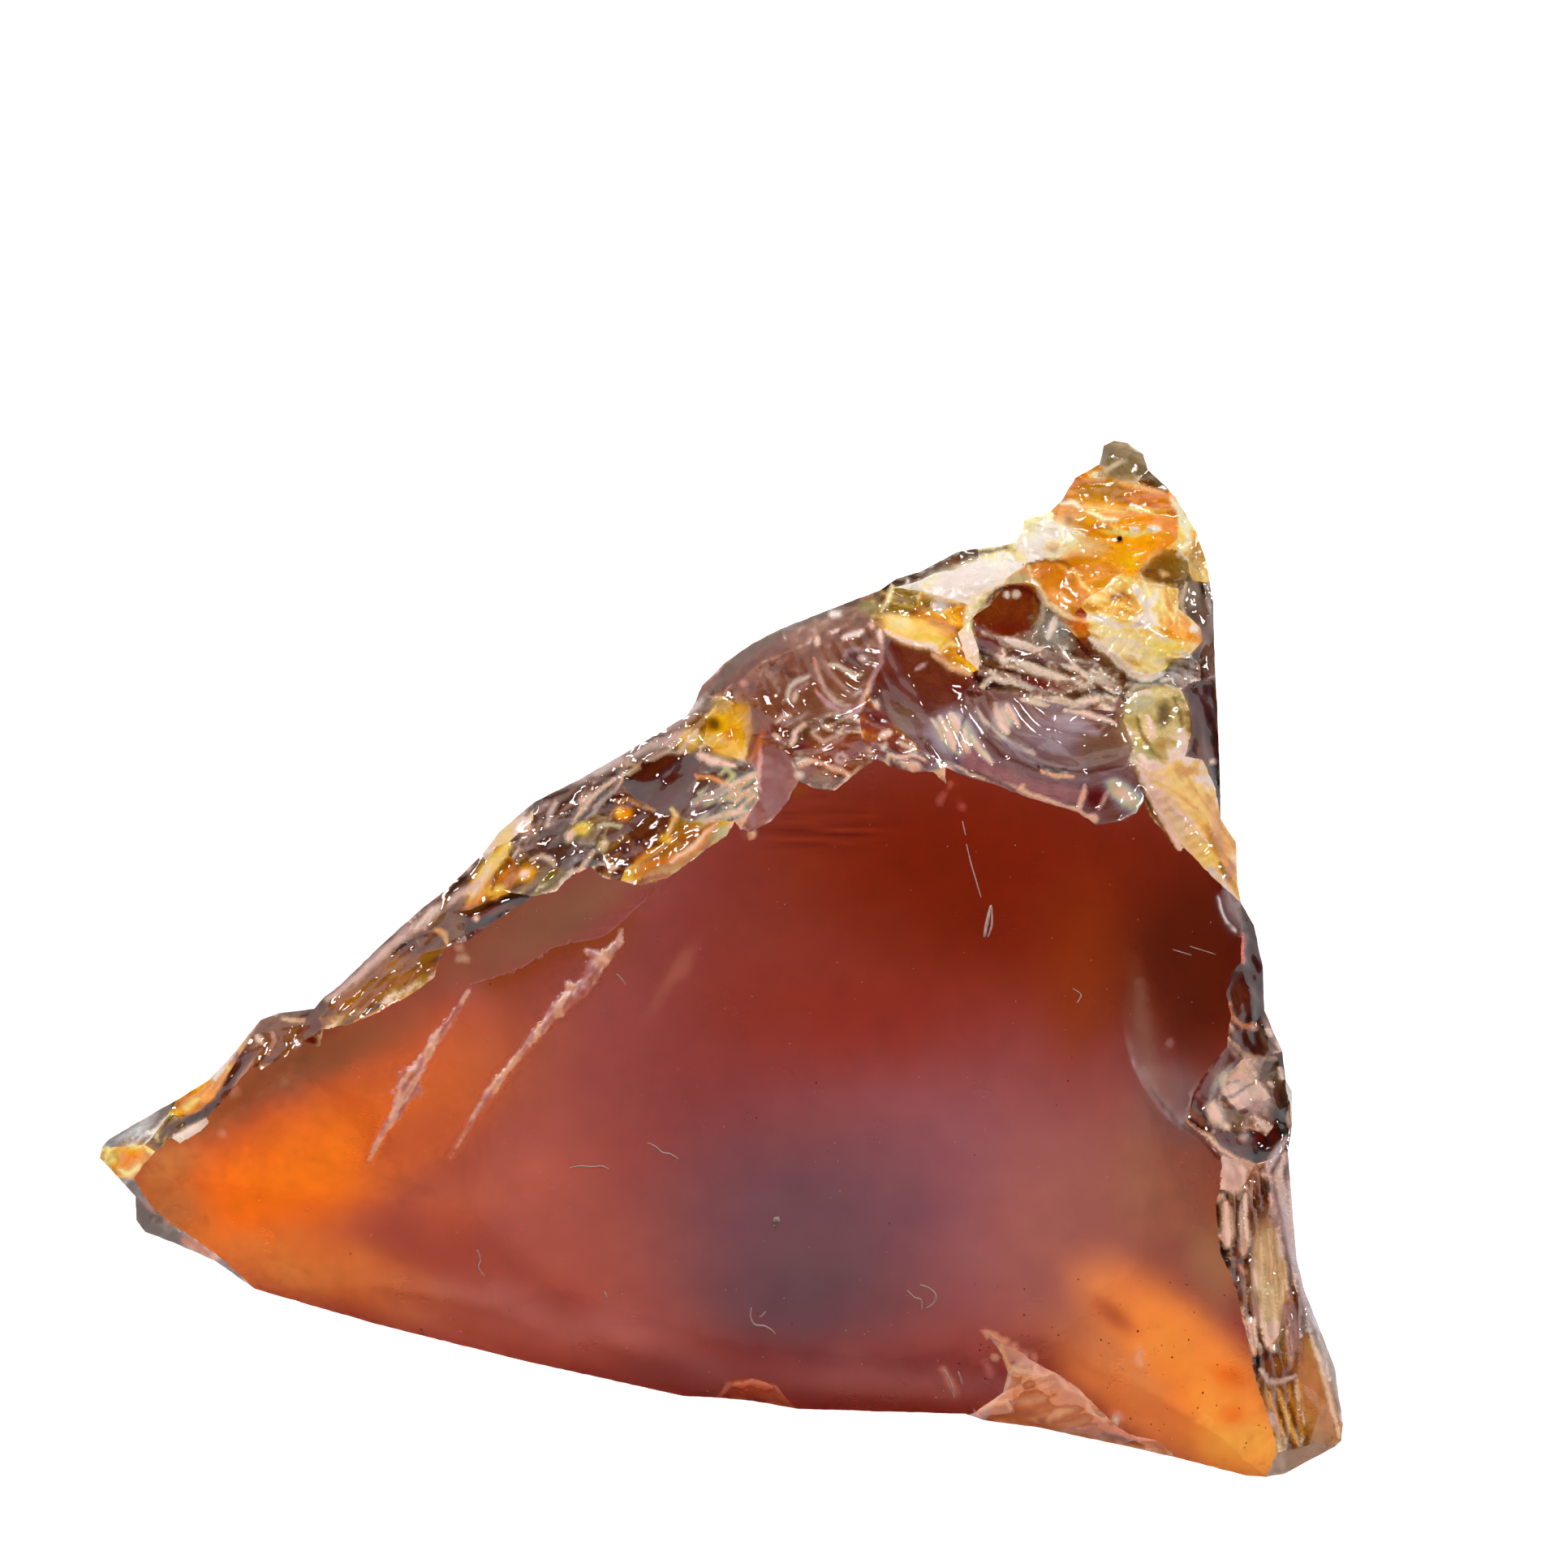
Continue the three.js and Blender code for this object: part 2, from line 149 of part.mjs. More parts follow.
// corners of the chipped flanks, the shell-shaped band, the crust and the chips
const CHIP_FACETS = [
  57,102,56, 55,56,102, 102,54,55, 53,105,106, 54,102,104, 104,105,54, 105,53,54, 100,103,101, 58,99,100, 99,121,100,
  121,122,100, 103,100,122, 51,107,108, 58,100,57, 100,101,57, 102,57,101, 104,102,101, 101,103,104, 53,106,107, 52,53,107,
  107,51,52, 125,119,124, 116,59,115, 115,119,116, 120,116,119, 119,125,120, 126,120,125, 113,61,112, 61,113,60, 114,60,113,
  113,131,114, 118,114,131, 115,59,60, 60,114,115, 114,118,115, 119,115,118, 118,123,119, 124,119,123, 110,49,109, 50,109,49,
  117,99,59, 59,116,117, 116,120,117, 99,117,120, 121,99,120, 120,126,121, 109,50,108, 51,108,50, 64,127,63, 111,62,63,
  63,127,111, 127,128,111, 128,129,112, 128,137,129, 133,135,134, 136,134,135, 65,132,133, 132,138,133, 135,133,138, 138,139,135,
  65,133,64, 133,134,64, 127,64,134, 134,136,127, 128,127,136, 137,128,136, 67,142,66, 143,66,142, 155,149,154, 142,67,141,
  143,142,149, 150,143,149, 149,155,150, 69,145,146, 145,147,146, 140,68,69, 69,146,140, 146,147,140, 147,153,148, 141,67,68,
  68,140,141, 140,147,141, 147,148,141, 142,141,148, 154,149,148, 148,153,154, 66,143,65, 132,65,143, 143,150,132, 138,132,150,
  112,61,62, 129,130,112, 113,112,130, 131,113,130, 49,110,48, 160,161,70, 70,161,144, 159,71,158, 166,167,159, 167,239,168,
  71,159,70, 160,70,159, 159,167,160, 167,168,160, 161,160,168, 156,161,168, 168,239,156, 239,157,156, 151,156,157, 72,163,162,
  163,164,162, 165,164,171, 73,172,173, 172,178,173, 179,173,178, 178,235,179, 235,237,170, 73,173,72, 163,72,173, 173,179,163,
  164,163,179, 171,164,179, 179,235,171, 235,170,171, 165,171,170, 169,165,170, 170,237,169, 238,169,237, 72,162,71, 158,71,162,
  162,164,158, 164,165,158, 159,158,165, 166,159,165, 165,169,166, 167,166,169, 169,238,167, 239,167,238, 177,570,176, 176,206,177,
  234,177,206, 236,234,233, 205,185,204, 232,205,204, 570,74,175, 176,570,175, 175,185,176, 185,205,176, 206,176,205, 234,206,205,
  233,234,205, 205,232,233, 75,183,174, 183,192,184, 202,207,211, 203,202,211, 214,224,215, 210,208,209, 209,208,191, 76,182,75,
  183,75,182, 192,183,191, 191,208,192, 207,192,208, 211,207,208, 208,210,211, 210,213,214, 213,223,214, 224,214,223, 75,174,74,
  184,175,174, 192,207,184, 207,202,184, 184,202,185, 202,203,185, 204,185,203, 203,211,204, 211,210,204, 210,214,204, 214,215,204,
  232,204,215, 240,232,215, 215,224,240, 74,570,73, 172,73,570, 570,177,172, 178,172,177, 177,234,178, 235,178,234, 234,236,235,
  237,235,236, 70,144,69, 145,69,144, 161,156,144, 156,151,145, 147,145,151, 151,152,147, 153,147,152, 190,568,189, 212,190,189,
  77,193,180, 193,186,180, 181,180,186, 186,187,181, 568,181,187, 187,188,568, 189,568,188, 188,216,189, 212,189,216, 194,201,195,
  569,199,200, 199,226,200, 243,196,195, 194,195,196, 196,569,194, 200,226,225, 226,218,225, 217,225,218, 218,219,217, 220,217,219,
  80,243,79, 243,195,79, 195,201,79, 78,79,201, 201,194,78, 77,78,194, 193,77,194, 194,569,193, 569,200,193, 186,193,200,
  187,186,200, 200,225,187, 188,187,225, 225,217,188, 216,188,217, 217,220,216, 212,216,220, 221,212,220, 198,197,249, 249,267,198,
  228,269,229, 270,229,269, 549,550,43, 560,262,263, 246,247,241, 247,256,248, 256,561,248, 266,248,561, 265,266,561, 561,560,265,
  264,265,560, 560,263,264, 83,246,82, 246,241,82, 81,82,241, 242,81,241, 241,247,242, 562,242,247, 247,248,562, 197,562,248,
  249,197,248, 248,266,249, 267,249,266, 231,267,266, 266,265,231, 227,231,265, 265,264,227, 264,268,227, 228,227,268, 269,228,268,
  43,550,551, 551,42,43, 81,242,80, 243,80,242, 242,562,243, 196,243,562, 562,197,196, 569,196,197, 197,198,569, 199,569,198,
  198,267,199, 267,231,199, 231,227,199, 226,199,227, 227,228,226, 228,229,226, 218,226,229, 230,218,229, 229,270,230, 549,43,548,
  44,548,43, 563,254,255, 254,257,255, 84,250,244, 425,259,258, 244,250,245, 254,563,253, 253,415,254, 425,258,257, 258,259,260,
  366,576,365, 365,564,366, 352,85,351, 360,576,361, 576,366,361, 251,361,366, 252,251,366, 366,564,252, 397,252,564, 564,396,397,
  414,397,396, 396,413,414, 424,428,429, 85,352,84, 352,360,84, 250,84,360, 360,361,250, 361,251,250, 245,250,251, 563,245,251,
  251,252,563, 253,563,252, 252,397,253, 415,253,397, 397,414,415, 254,415,414, 257,254,414, 425,257,414, 414,413,425, 413,424,425,
  259,425,424, 424,429,259, 350,358,351, 359,358,574, 411,426,427, 350,86,87, 574,358,357, 357,363,574, 363,364,574, 359,574,364,
  412,395,394, 394,411,412, 411,427,412, 348,575,349, 362,356,355, 367,368,370, 368,369,370, 371,370,369, 369,392,371, 393,371,392,
  392,391,393, 391,408,393, 88,348,87, 348,349,87, 350,87,349, 357,350,349, 349,575,357, 575,356,357, 356,362,357, 363,357,362,
  362,367,363, 367,370,363, 364,363,370, 372,364,370, 370,371,372, 371,393,372, 394,372,393, 393,408,394, 351,85,86, 358,359,352,
  360,352,359, 576,360,359, 365,576,359, 359,364,365, 564,365,364, 364,372,564, 372,394,564, 394,395,564, 396,564,395, 413,396,395,
  395,412,413, 424,413,412, 428,424,412, 412,427,428, 84,244,83, 244,245,83, 246,83,245, 245,563,246, 247,246,563, 563,255,247,
  256,247,255, 561,256,255, 255,257,561, 257,258,561, 258,260,561, 260,261,561, 560,561,261, 262,560,261, 77,180,76, 180,181,76,
  182,76,181, 181,568,182, 183,182,568, 191,183,568, 568,190,191, 209,191,190, 210,209,190, 213,210,190, 190,212,213, 212,221,213,
  221,222,213, 223,213,222, 390,554,407, 299,373,353, 373,552,353, 353,552,354, 378,354,552, 534,540,533, 91,301,90, 300,90,301,
  300,301,297, 298,300,297, 297,313,298, 313,374,298, 376,380,377, 389,578,380, 90,300,89, 300,298,299, 298,374,299, 373,299,374,
  552,373,374, 376,377,552, 378,552,377, 381,378,377, 377,380,381, 380,578,381, 390,381,578, 578,389,390, 554,390,389, 406,423,409,
  540,534,535, 539,540,535, 535,538,539, 547,539,538, 538,587,547, 40,547,587, 375,312,311, 312,296,307, 375,311,310, 310,347,375,
  347,379,375, 94,95,278, 295,286,294, 582,306,305, 305,308,582, 287,93,94, 94,286,287, 286,295,287, 296,287,295, 307,296,295,
  295,306,307, 306,582,307, 312,307,582, 311,312,582, 310,311,582, 582,308,310, 308,309,310, 347,310,309, 309,346,347, 379,347,346,
  346,345,379, 345,385,379, 385,577,388, 586,537,541, 93,287,92, 91,92,287, 287,296,91, 301,91,296, 297,301,296, 313,297,296,
  296,312,313, 374,313,312, 312,375,374, 552,374,375, 376,552,375, 375,379,376, 380,376,379, 379,385,380, 385,388,380, 389,380,388,
  388,553,389, 554,389,553, 406,554,553, 553,405,406, 423,406,405, 405,565,423, 565,422,423, 538,535,536, 536,537,538, 537,586,538,
  587,538,586, 586,39,587, 40,587,39, 97,275,96, 303,330,304, 331,304,330, 343,331,330, 342,343,330, 330,341,342, 341,344,342,
  274,272,271, 302,292,291, 0,271,98, 271,272,98, 97,98,272, 275,97,272, 272,274,275, 274,277,275, 285,556,277, 277,555,285,
  555,284,285, 293,285,284, 284,292,293, 581,293,292, 292,302,581, 303,581,302, 344,341,340, 384,344,340, 383,386,384, 387,384,386,
  404,387,386, 420,404,419, 401,402,403, 558,338,339, 382,339,338, 338,433,382, 401,400,441, 441,440,401, 402,401,440, 440,416,402,
  403,402,416, 416,418,403, 327,319,318, 3,276,273, 276,280,273, 281,273,280, 327,328,557, 329,557,328, 558,329,328, 338,558,337,
  433,338,337, 455,417,416, 418,416,417, 271,0,1, 1,2,271, 2,3,271, 3,273,271, 274,271,273, 273,281,274, 277,274,281,
  555,277,281, 281,280,555, 280,283,555, 284,555,283, 283,289,284, 289,290,284, 292,284,290, 291,292,290, 290,319,291, 302,291,319,
  319,327,302, 303,302,327, 327,557,303, 330,303,557, 557,329,330, 341,330,329, 340,341,329, 329,558,340, 558,339,340, 384,340,339,
  339,382,384, 383,384,382, 382,433,383, 433,398,383, 386,383,398, 399,386,398, 386,399,400, 404,386,400, 400,401,404, 401,403,404,
  419,404,403, 403,418,419, 38,543,544, 544,545,38, 96,275,95, 278,95,275, 275,277,278, 277,556,278, 94,278,556, 286,94,556,
  556,285,286, 294,286,285, 285,293,294, 293,581,294, 295,294,581, 306,295,581, 305,306,581, 581,303,305, 303,304,305, 308,305,304,
  304,331,308, 309,308,331, 331,343,309, 346,309,343, 345,346,343, 343,342,345, 342,344,345, 385,345,344, 344,384,385, 577,385,384,
  384,387,577, 388,577,387, 553,388,387, 387,404,553, 405,553,404, 565,405,404, 422,565,404, 421,422,404, 404,420,421, 586,541,542,
  39,586,542, 542,543,39, 543,38,39, 282,314,288, 583,288,314, 559,335,336, 438,579,437, 437,447,438, 457,454,453, 316,320,317,
  326,317,320, 320,325,326, 430,434,431, 583,314,315, 315,316,583, 316,317,583, 326,325,333, 325,332,333, 559,333,332, 335,559,332,
  332,334,335, 334,430,335, 336,335,430, 430,431,336, 432,336,431, 579,432,431, 431,434,579, 434,435,579, 435,436,579, 437,579,436,
  454,447,446, 453,454,446, 446,566,453, 566,452,453, 452,456,453, 457,453,456, 9,10,324, 10,323,324, 323,10,322, 13,14,442,
  448,450,567, 322,10,11, 321,322,11, 11,12,321, 12,13,580, 443,580,13, 444,443,442, 445,444,442, 442,14,445, 14,449,445,
  449,567,451, 567,450,451, 468,470,487, 470,469,487, 486,487,469, 480,486,469, 479,478,484, 478,483,484, 279,5,6, 282,279,6,
  314,282,6, 315,314,6, 6,7,315, 316,315,7, 320,316,7, 7,8,320, 8,9,320, 325,320,9, 9,324,325, 332,325,324,
  324,323,332, 334,332,323, 323,322,334, 430,334,322, 322,321,430, 434,430,321, 321,12,434, 12,580,434, 435,434,580, 580,443,435,
  436,435,443, 443,444,436, 437,436,444, 447,437,444, 446,447,444, 444,445,446, 566,446,445, 445,449,566, 452,566,449, 449,451,452,
  486,480,485, 480,479,485, 479,484,485, 464,573,463, 481,476,25, 488,481,492, 507,508,571, 520,510,509, 509,519,520, 465,17,18,
  18,19,465, 464,465,19, 573,464,19, 19,20,573, 20,459,573, 461,573,459, 460,461,459, 459,466,460, 467,460,466, 466,471,467,
  572,467,471, 471,473,572, 474,572,473, 477,474,473, 476,481,477, 482,477,481, 481,488,482, 496,497,495, 495,508,496, 497,496,508,
  508,507,512, 511,512,507, 507,506,511, 506,510,511, 515,503,502, 518,584,527, 526,527,584, 584,524,526, 525,526,524, 524,34,525,
  532,525,34, 35,532,34, 530,30,31, 31,32,531, 32,33,531, 528,29,30, 529,528,30, 30,530,529, 530,31,585, 31,531,585,
  523,585,531, 514,28,29, 29,528,514, 528,529,516, 517,516,529, 521,517,529, 529,530,521, 530,585,521, 522,521,585, 585,523,522,
  523,531,588, 531,33,588, 472,22,23, 475,472,23, 23,24,475, 26,27,501, 515,502,501, 27,28,515, 503,515,514, 504,503,514,
  514,528,516, 516,517,504, 505,504,517, 518,505,517, 517,521,518, 584,518,521, 521,522,584, 522,523,584, 524,584,523, 523,588,524,
  34,524,588, 588,33,34, 459,20,21, 466,459,21, 21,22,466, 471,466,22, 22,472,471, 473,471,472, 472,475,473, 477,473,475,
  476,477,475, 475,24,476, 24,25,476, 25,26,492, 26,493,492, 488,492,493, 489,488,493, 494,489,493, 493,26,494, 26,501,494,
  495,494,501, 501,502,495, 508,495,502, 571,508,502, 502,503,571, 507,571,503, 506,507,503, 503,504,506, 504,505,506, 510,506,505,
  509,510,505, 519,509,505, 505,518,519, 520,519,518, 518,527,520, 449,14,15, 567,449,448, 15,16,448, 450,448,17, 463,573,462,
  573,461,462, 461,460,468, 460,467,468, 470,468,467, 467,572,470, 469,470,572, 572,474,469, 480,469,474, 479,480,474, 478,479,474,
  474,477,478, 477,482,478, 483,478,482, 491,483,482, 482,488,491, 488,489,491, 490,491,489, 500,490,489, 499,500,489, 489,494,499,
  494,495,499, 495,497,499, 498,499,497, 513,498,497, 497,508,513, 508,512,513, 276,3,4, 4,5,276, 280,276,5, 5,279,280,
  283,280,279, 279,282,283, 282,288,283, 289,283,288, 288,583,289, 290,289,583, 319,290,583, 318,319,583, 583,317,318, 317,326,318,
  327,318,326, 328,327,326, 326,333,328, 558,328,333, 333,559,558, 559,336,558, 337,558,336, 336,432,337, 433,337,432, 432,579,433,
  398,433,579, 399,398,579, 400,399,579, 441,400,579, 579,438,441, 440,441,438, 439,440,438, 416,440,455, 447,454,455, 417,455,454,
  458,417,454, 454,457,458, 38,545,37, 348,88,89, 89,300,348, 300,299,348, 575,348,299, 299,353,575, 353,354,575, 356,575,354,
  355,356,354, 354,378,355, 362,355,378, 367,362,378, 368,367,378, 378,381,368, 369,368,381, 381,390,369, 392,369,390, 391,392,390,
  408,391,390, 390,407,408, 394,408,407, 411,394,407, 410,411,407, 410,407,406, 406,409,410, 547,40,546, 99,58,59, 62,111,112,
  111,128,112, 149,142,148, 150,155,138, 145,144,156, 175,74,174, 174,183,184, 185,175,184, 86,350,351, 358,350,357, 352,351,358,
  407,554,406, 13,442,443, 438,447,439, 440,439,447, 447,455,440, 16,17,448, 449,15,448, 492,481,25, 28,514,515, 501,27,515,
  504,514,516,
];
// underside: points follow on from the rim points
const BACK_POINTS = [
  846,948,131, 960,872,138, 1086,822,128, 1200,790,104, 1305,742,86, 1408,760,92, 1452,860,108, 1462,990,154,
  1488,1140,171, 1506,1290,158, 1498,1430,150, 1530,1580,172, 1560,1690,203, 1488,1752,232, 1370,1722,242, 1230,1712,214,
  1060,1704,190, 900,1690,184, 700,1640,196, 470,1576,236, 330,1524,246, 236,1452,239, 262,1392,219, 380,1312,216,
  500,1212,197, 610,1112,177, 718,1020,150, 905,1015,0, 1062,962,0, 1228,988,0, 1325,1080,0, 1385,1228,0,
  1402,1400,0, 1382,1532,0, 1288,1612,0, 1100,1642,0, 882,1617,0, 704,1562,0, 606,1470,0, 642,1332,0,
  764,1162,0, 520,1440,96, 480,1350,98, 620,1590,70, 780,1640,80, 1180,1680,110, 1420,1620,92, 1460,1500,60,
  1440,1290,66, 1420,1120,70, 1300,880,62, 1150,880,74, 960,940,62, 800,1070,58, 650,1200,70, 560,1300,72,
  1330,1660,110, 1000,1672,100,
];
const BACK_FACETS = [
  57,54,56, 55,56,54, 52,53,51, 60,121,59, 121,60,61, 122,141,140, 49,120,119, 119,48,49, 59,121,58, 54,57,120,
  53,54,120, 51,53,120, 50,51,120, 120,49,50, 122,64,65, 68,123,67, 65,66,122, 72,124,71, 70,71,124, 69,70,124,
  138,137,140, 123,68,69, 69,124,123, 137,142,118, 64,122,63, 62,63,122, 61,62,122, 121,61,122, 48,119,118, 118,47,48,
  75,125,74, 74,125,73, 76,77,99, 76,99,75, 125,75,99, 139,125,152, 135,143,136, 117,136,143, 46,117,45, 82,100,81,
  80,81,100, 84,101,83, 101,84,85, 127,101,150, 83,101,82, 100,82,101, 101,127,100, 151,100,127, 126,151,127, 134,115,156,
  43,116,42, 80,100,79, 78,79,100, 77,78,100, 151,126,99, 152,99,126, 139,152,126, 134,156,135, 156,116,135, 45,117,116,
  44,45,116, 116,43,44, 73,125,72, 124,72,125, 125,139,124, 139,153,124, 123,124,153, 123,153,138, 153,139,138, 142,137,136,
  136,117,142, 47,118,46, 102,88,89, 114,41,115, 114,40,41, 91,92,93, 94,103,93, 91,93,103, 91,103,90, 89,90,103,
  102,89,103, 103,149,128, 114,144,133, 40,114,39, 97,98,0, 0,1,97, 97,1,2, 2,3,97, 96,97,3, 147,131,130,
  38,113,37, 94,95,96, 96,3,94, 103,94,104, 149,103,104, 148,130,129, 39,114,113, 113,38,39, 105,10,11, 11,12,105,
  12,13,105, 106,105,13, 13,14,106, 16,17,107, 34,35,111, 32,33,31, 23,24,22, 29,30,111, 30,31,111, 31,33,111,
  34,111,33, 107,17,18, 18,19,107, 108,107,19, 19,20,108, 20,21,108, 21,22,108, 109,108,22, 22,24,109, 24,25,109,
  25,26,109, 109,26,110, 26,27,110, 27,28,110, 28,29,110, 29,111,110, 111,35,112, 35,36,112, 104,5,6, 6,7,104,
  7,8,104, 8,9,104, 104,9,105, 148,129,106, 14,15,106, 130,148,107, 147,130,108, 108,109,147, 131,147,109, 109,146,131,
  132,131,146, 145,132,111, 111,112,145, 113,155,112, 37,113,112, 112,36,37, 88,102,87, 86,87,102, 85,86,102, 101,85,102,
  150,101,102, 127,150,128, 133,144,134, 115,134,144, 42,115,41, 100,151,99, 99,77,100, 148,106,107, 16,107,106, 15,16,106,
  146,109,110, 114,133,113, 144,114,115, 116,156,115, 115,42,116, 143,135,116, 117,143,116, 118,142,117, 117,46,118, 123,154,122,
  67,123,122, 66,67,122, 99,152,125, 4,5,104, 3,4,104, 104,94,3, 9,10,105, 57,58,121, 121,120,57, 150,102,128,
  102,103,128, 128,149,104, 104,105,128, 105,106,129, 129,128,105, 107,108,130, 146,110,132, 110,111,132, 132,145,133, 145,112,133,
  155,133,112, 155,113,133, 137,118,119, 119,120,137, 140,137,121, 121,122,140, 120,121,137, 138,140,141, 141,122,138, 154,138,122,
  138,154,123,
];
// the flat face that it rests on
const REST_FACETS = [
  135,139,134, 139,135,138, 135,136,138, 137,138,136, 131,132,133, 128,129,127, 129,130,127, 126,127,130, 139,126,130, 134,139,130,
  130,131,134, 131,133,134,
];

// ---- the domed face ---------------------------------------------------------
const clamp01 = (x) => Math.min(1, Math.max(0, x));
const ease = (a, b, x) => { const t = clamp01((x - a) / (b - a)); return t * t * (3 - 2 * t); };

function domeHeight(u, v) {
  let h = DOME_TOP - DOME_BEND[0] * (u - DOME_AT[0]) ** 2 - DOME_BEND[1] * (v - DOME_AT[1]) ** 2;
  // the part towards the apex leans back a little, across a soft crease
  const s = (u - 1150) * 0.305 - (v - 1250) * 0.952;
  h -= 0.13 * 0.5 * (s + Math.sqrt(s * s + 196)) * ease(900, 1150, u);
  const r2 = ((u - SCOOP_AT[0]) ** 2 + (v - SCOOP_AT[1]) ** 2) / SCOOP_RADIUS ** 2;
  if (r2 < 1) h -= SCOOP_DEPTH * (1 - r2) * ease(1110, 1390, v);
  return h;
}

// ---- the net of facets ----------------------------------------------------------
const triples = (flat) => {
  const out = [];
  for (let i = 0; i < flat.length; i += 3) out.push([flat[i], flat[i + 1], flat[i + 2]]);
  return out;
};
const points = triples(FRONT_POINTS).map(([u, v, h]) => ({ u, v, h }));
const backStart = points.length;
for (const [u, v, h] of triples(BACK_POINTS)) points.push({ u, v, h });
const onBack = (i) => (i < OUTLINE ? i : backStart + i - OUTLINE);

let facets = [];
for (const t of triples(DOME_FACETS)) facets.push({ t: [t[0], t[2], t[1]], dome: true });
for (const t of triples(CHIP_FACETS)) facets.push({ t: [t[0], t[2], t[1]], dome: false });
for (const t of triples(BACK_FACETS)) facets.push({ t: t.map(onBack), dome: false });
for (const t of triples(REST_FACETS)) facets.push({ t: t.map(onBack), dome: false });

// Each split halves every edge. New points on the domed face take its height,
// all others lie on the flat facet.
for (let round = 0; round < SPLITS; round++) {
  const ends = new Map();
  const domed = new Set();
  const keyOf = (a, b) => (a < b ? a + '_' + b : b + '_' + a);
  for (const f of facets) {
    if (!f.dome) continue;
    for (let i = 0; i < 3; i++) domed.add(keyOf(f.t[i], f.t[(i + 1) % 3]));
  }
  const rim = new Set();
  for (const f of facets) for (let i = 0; i < 3; i++) {
    const a = f.t[i], b = f.t[(i + 1) % 3];
    if (a < OUTLINE && b < OUTLINE && (Math.abs(a - b) === 1 || Math.abs(a - b) === OUTLINE - 1)) rim.add(keyOf(a, b));
  }
  const middle = (a, b) => {
    const key = keyOf(a, b);
    if (!ends.has(key)) {
      const p = points[a], q = points[b];
      const u = (p.u + q.u) / 2, v = (p.v + q.v) / 2;
      let h = (p.h + q.h) / 2;
      if (domed.has(key) && !rim.has(key)) {
        const lift = (domeHeight(p.u, p.v) - p.h + domeHeight(q.u, q.v) - q.h) / 2;
        h = domeHeight(u, v) - lift;
      }
      points.push({ u, v, h });
      ends.set(key, points.length - 1);
    }
    return ends.get(key);
  };
  const next = [];
  for (const { t, dome } of facets) {
    const [a, b, c] = t;
    const ab = middle(a, b), bc = middle(b, c), ca = middle(c, a);
    next.push({ t: [a, ab, ca], dome }, { t: [ab, b, bc], dome }, { t: [ca, bc, c], dome }, { t: [ab, bc, ca], dome });
  }
  facets = next;
}

// ---- survey units to millimetres ----------------------------------------------------
// A point below the survey level is seen a little smaller, so it lies further out.
const placed = points.map(({ u, v, h }) => {
  const z = h / UNITS_PER_MM;
  const k = (STATION_HEIGHT - z) / (STATION_HEIGHT - SURVEY_LEVEL) / UNITS_PER_MM;
  return new THREE.Vector3((u - STATION_X) * k, (STATION_Y - v) * k, z);
});
const box = new THREE.Box3().setFromPoints(placed);
const centre = box.getCenter(new THREE.Vector3());

const positions = new Float32Array(placed.length * 3);
placed.forEach((p, i) => {
  positions[3 * i] = p.x - centre.x;
  positions[3 * i + 1] = p.y - centre.y;
  positions[3 * i + 2] = p.z;
});
const geometry = new THREE.BufferGeometry();
geometry.setAttribute('position', new THREE.BufferAttribute(positions, 3));
geometry.setIndex(facets.flatMap((f) => f.t));
geometry.computeVertexNormals();

const amber = new THREE.Mesh(
  geometry,
  new THREE.MeshStandardMaterial({ color: 0x9c4520, roughness: 0.25, metalness: 0 }),
);
amber.name = 'amber';

const rawAmber = new THREE.Group();
rawAmber.name = 'raw_amber';
rawAmber.add(amber);

export default rawAmber;
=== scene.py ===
import math

import bpy
import numpy as np
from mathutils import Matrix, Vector
from mathutils.geometry import delaunay_2d_cdt


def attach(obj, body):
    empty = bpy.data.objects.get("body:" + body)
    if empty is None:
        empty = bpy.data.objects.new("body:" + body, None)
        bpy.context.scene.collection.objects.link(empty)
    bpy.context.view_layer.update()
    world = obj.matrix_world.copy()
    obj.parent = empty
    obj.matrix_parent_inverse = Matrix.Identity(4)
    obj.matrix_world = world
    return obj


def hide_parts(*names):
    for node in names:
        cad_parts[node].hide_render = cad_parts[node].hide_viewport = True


# One raw piece of amber, lying on its flat break face. The finished surface is
# built here from the same survey as the solid, at a few hundredths of a
# millimetre, with its fracture ripples, crust, healed cracks, chips and lint.

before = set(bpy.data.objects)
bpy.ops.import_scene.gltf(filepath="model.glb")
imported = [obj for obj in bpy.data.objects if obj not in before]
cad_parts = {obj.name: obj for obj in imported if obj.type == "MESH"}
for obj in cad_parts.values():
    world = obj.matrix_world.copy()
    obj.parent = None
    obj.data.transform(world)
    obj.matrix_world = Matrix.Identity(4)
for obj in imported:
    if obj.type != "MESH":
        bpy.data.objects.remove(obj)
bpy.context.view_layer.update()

UNITS = 36.0               # survey units in a millimetre
STATION = (965.5, 966.0)   # where the survey, and the camera, look straight down
STATION_HEIGHT = 300.0     # mm above the resting plane
SURVEY_LEVEL = 8.0         # mm, level at which 36 units are 1 mm
FRAME_SIZE = (1931.0, 1932.0)

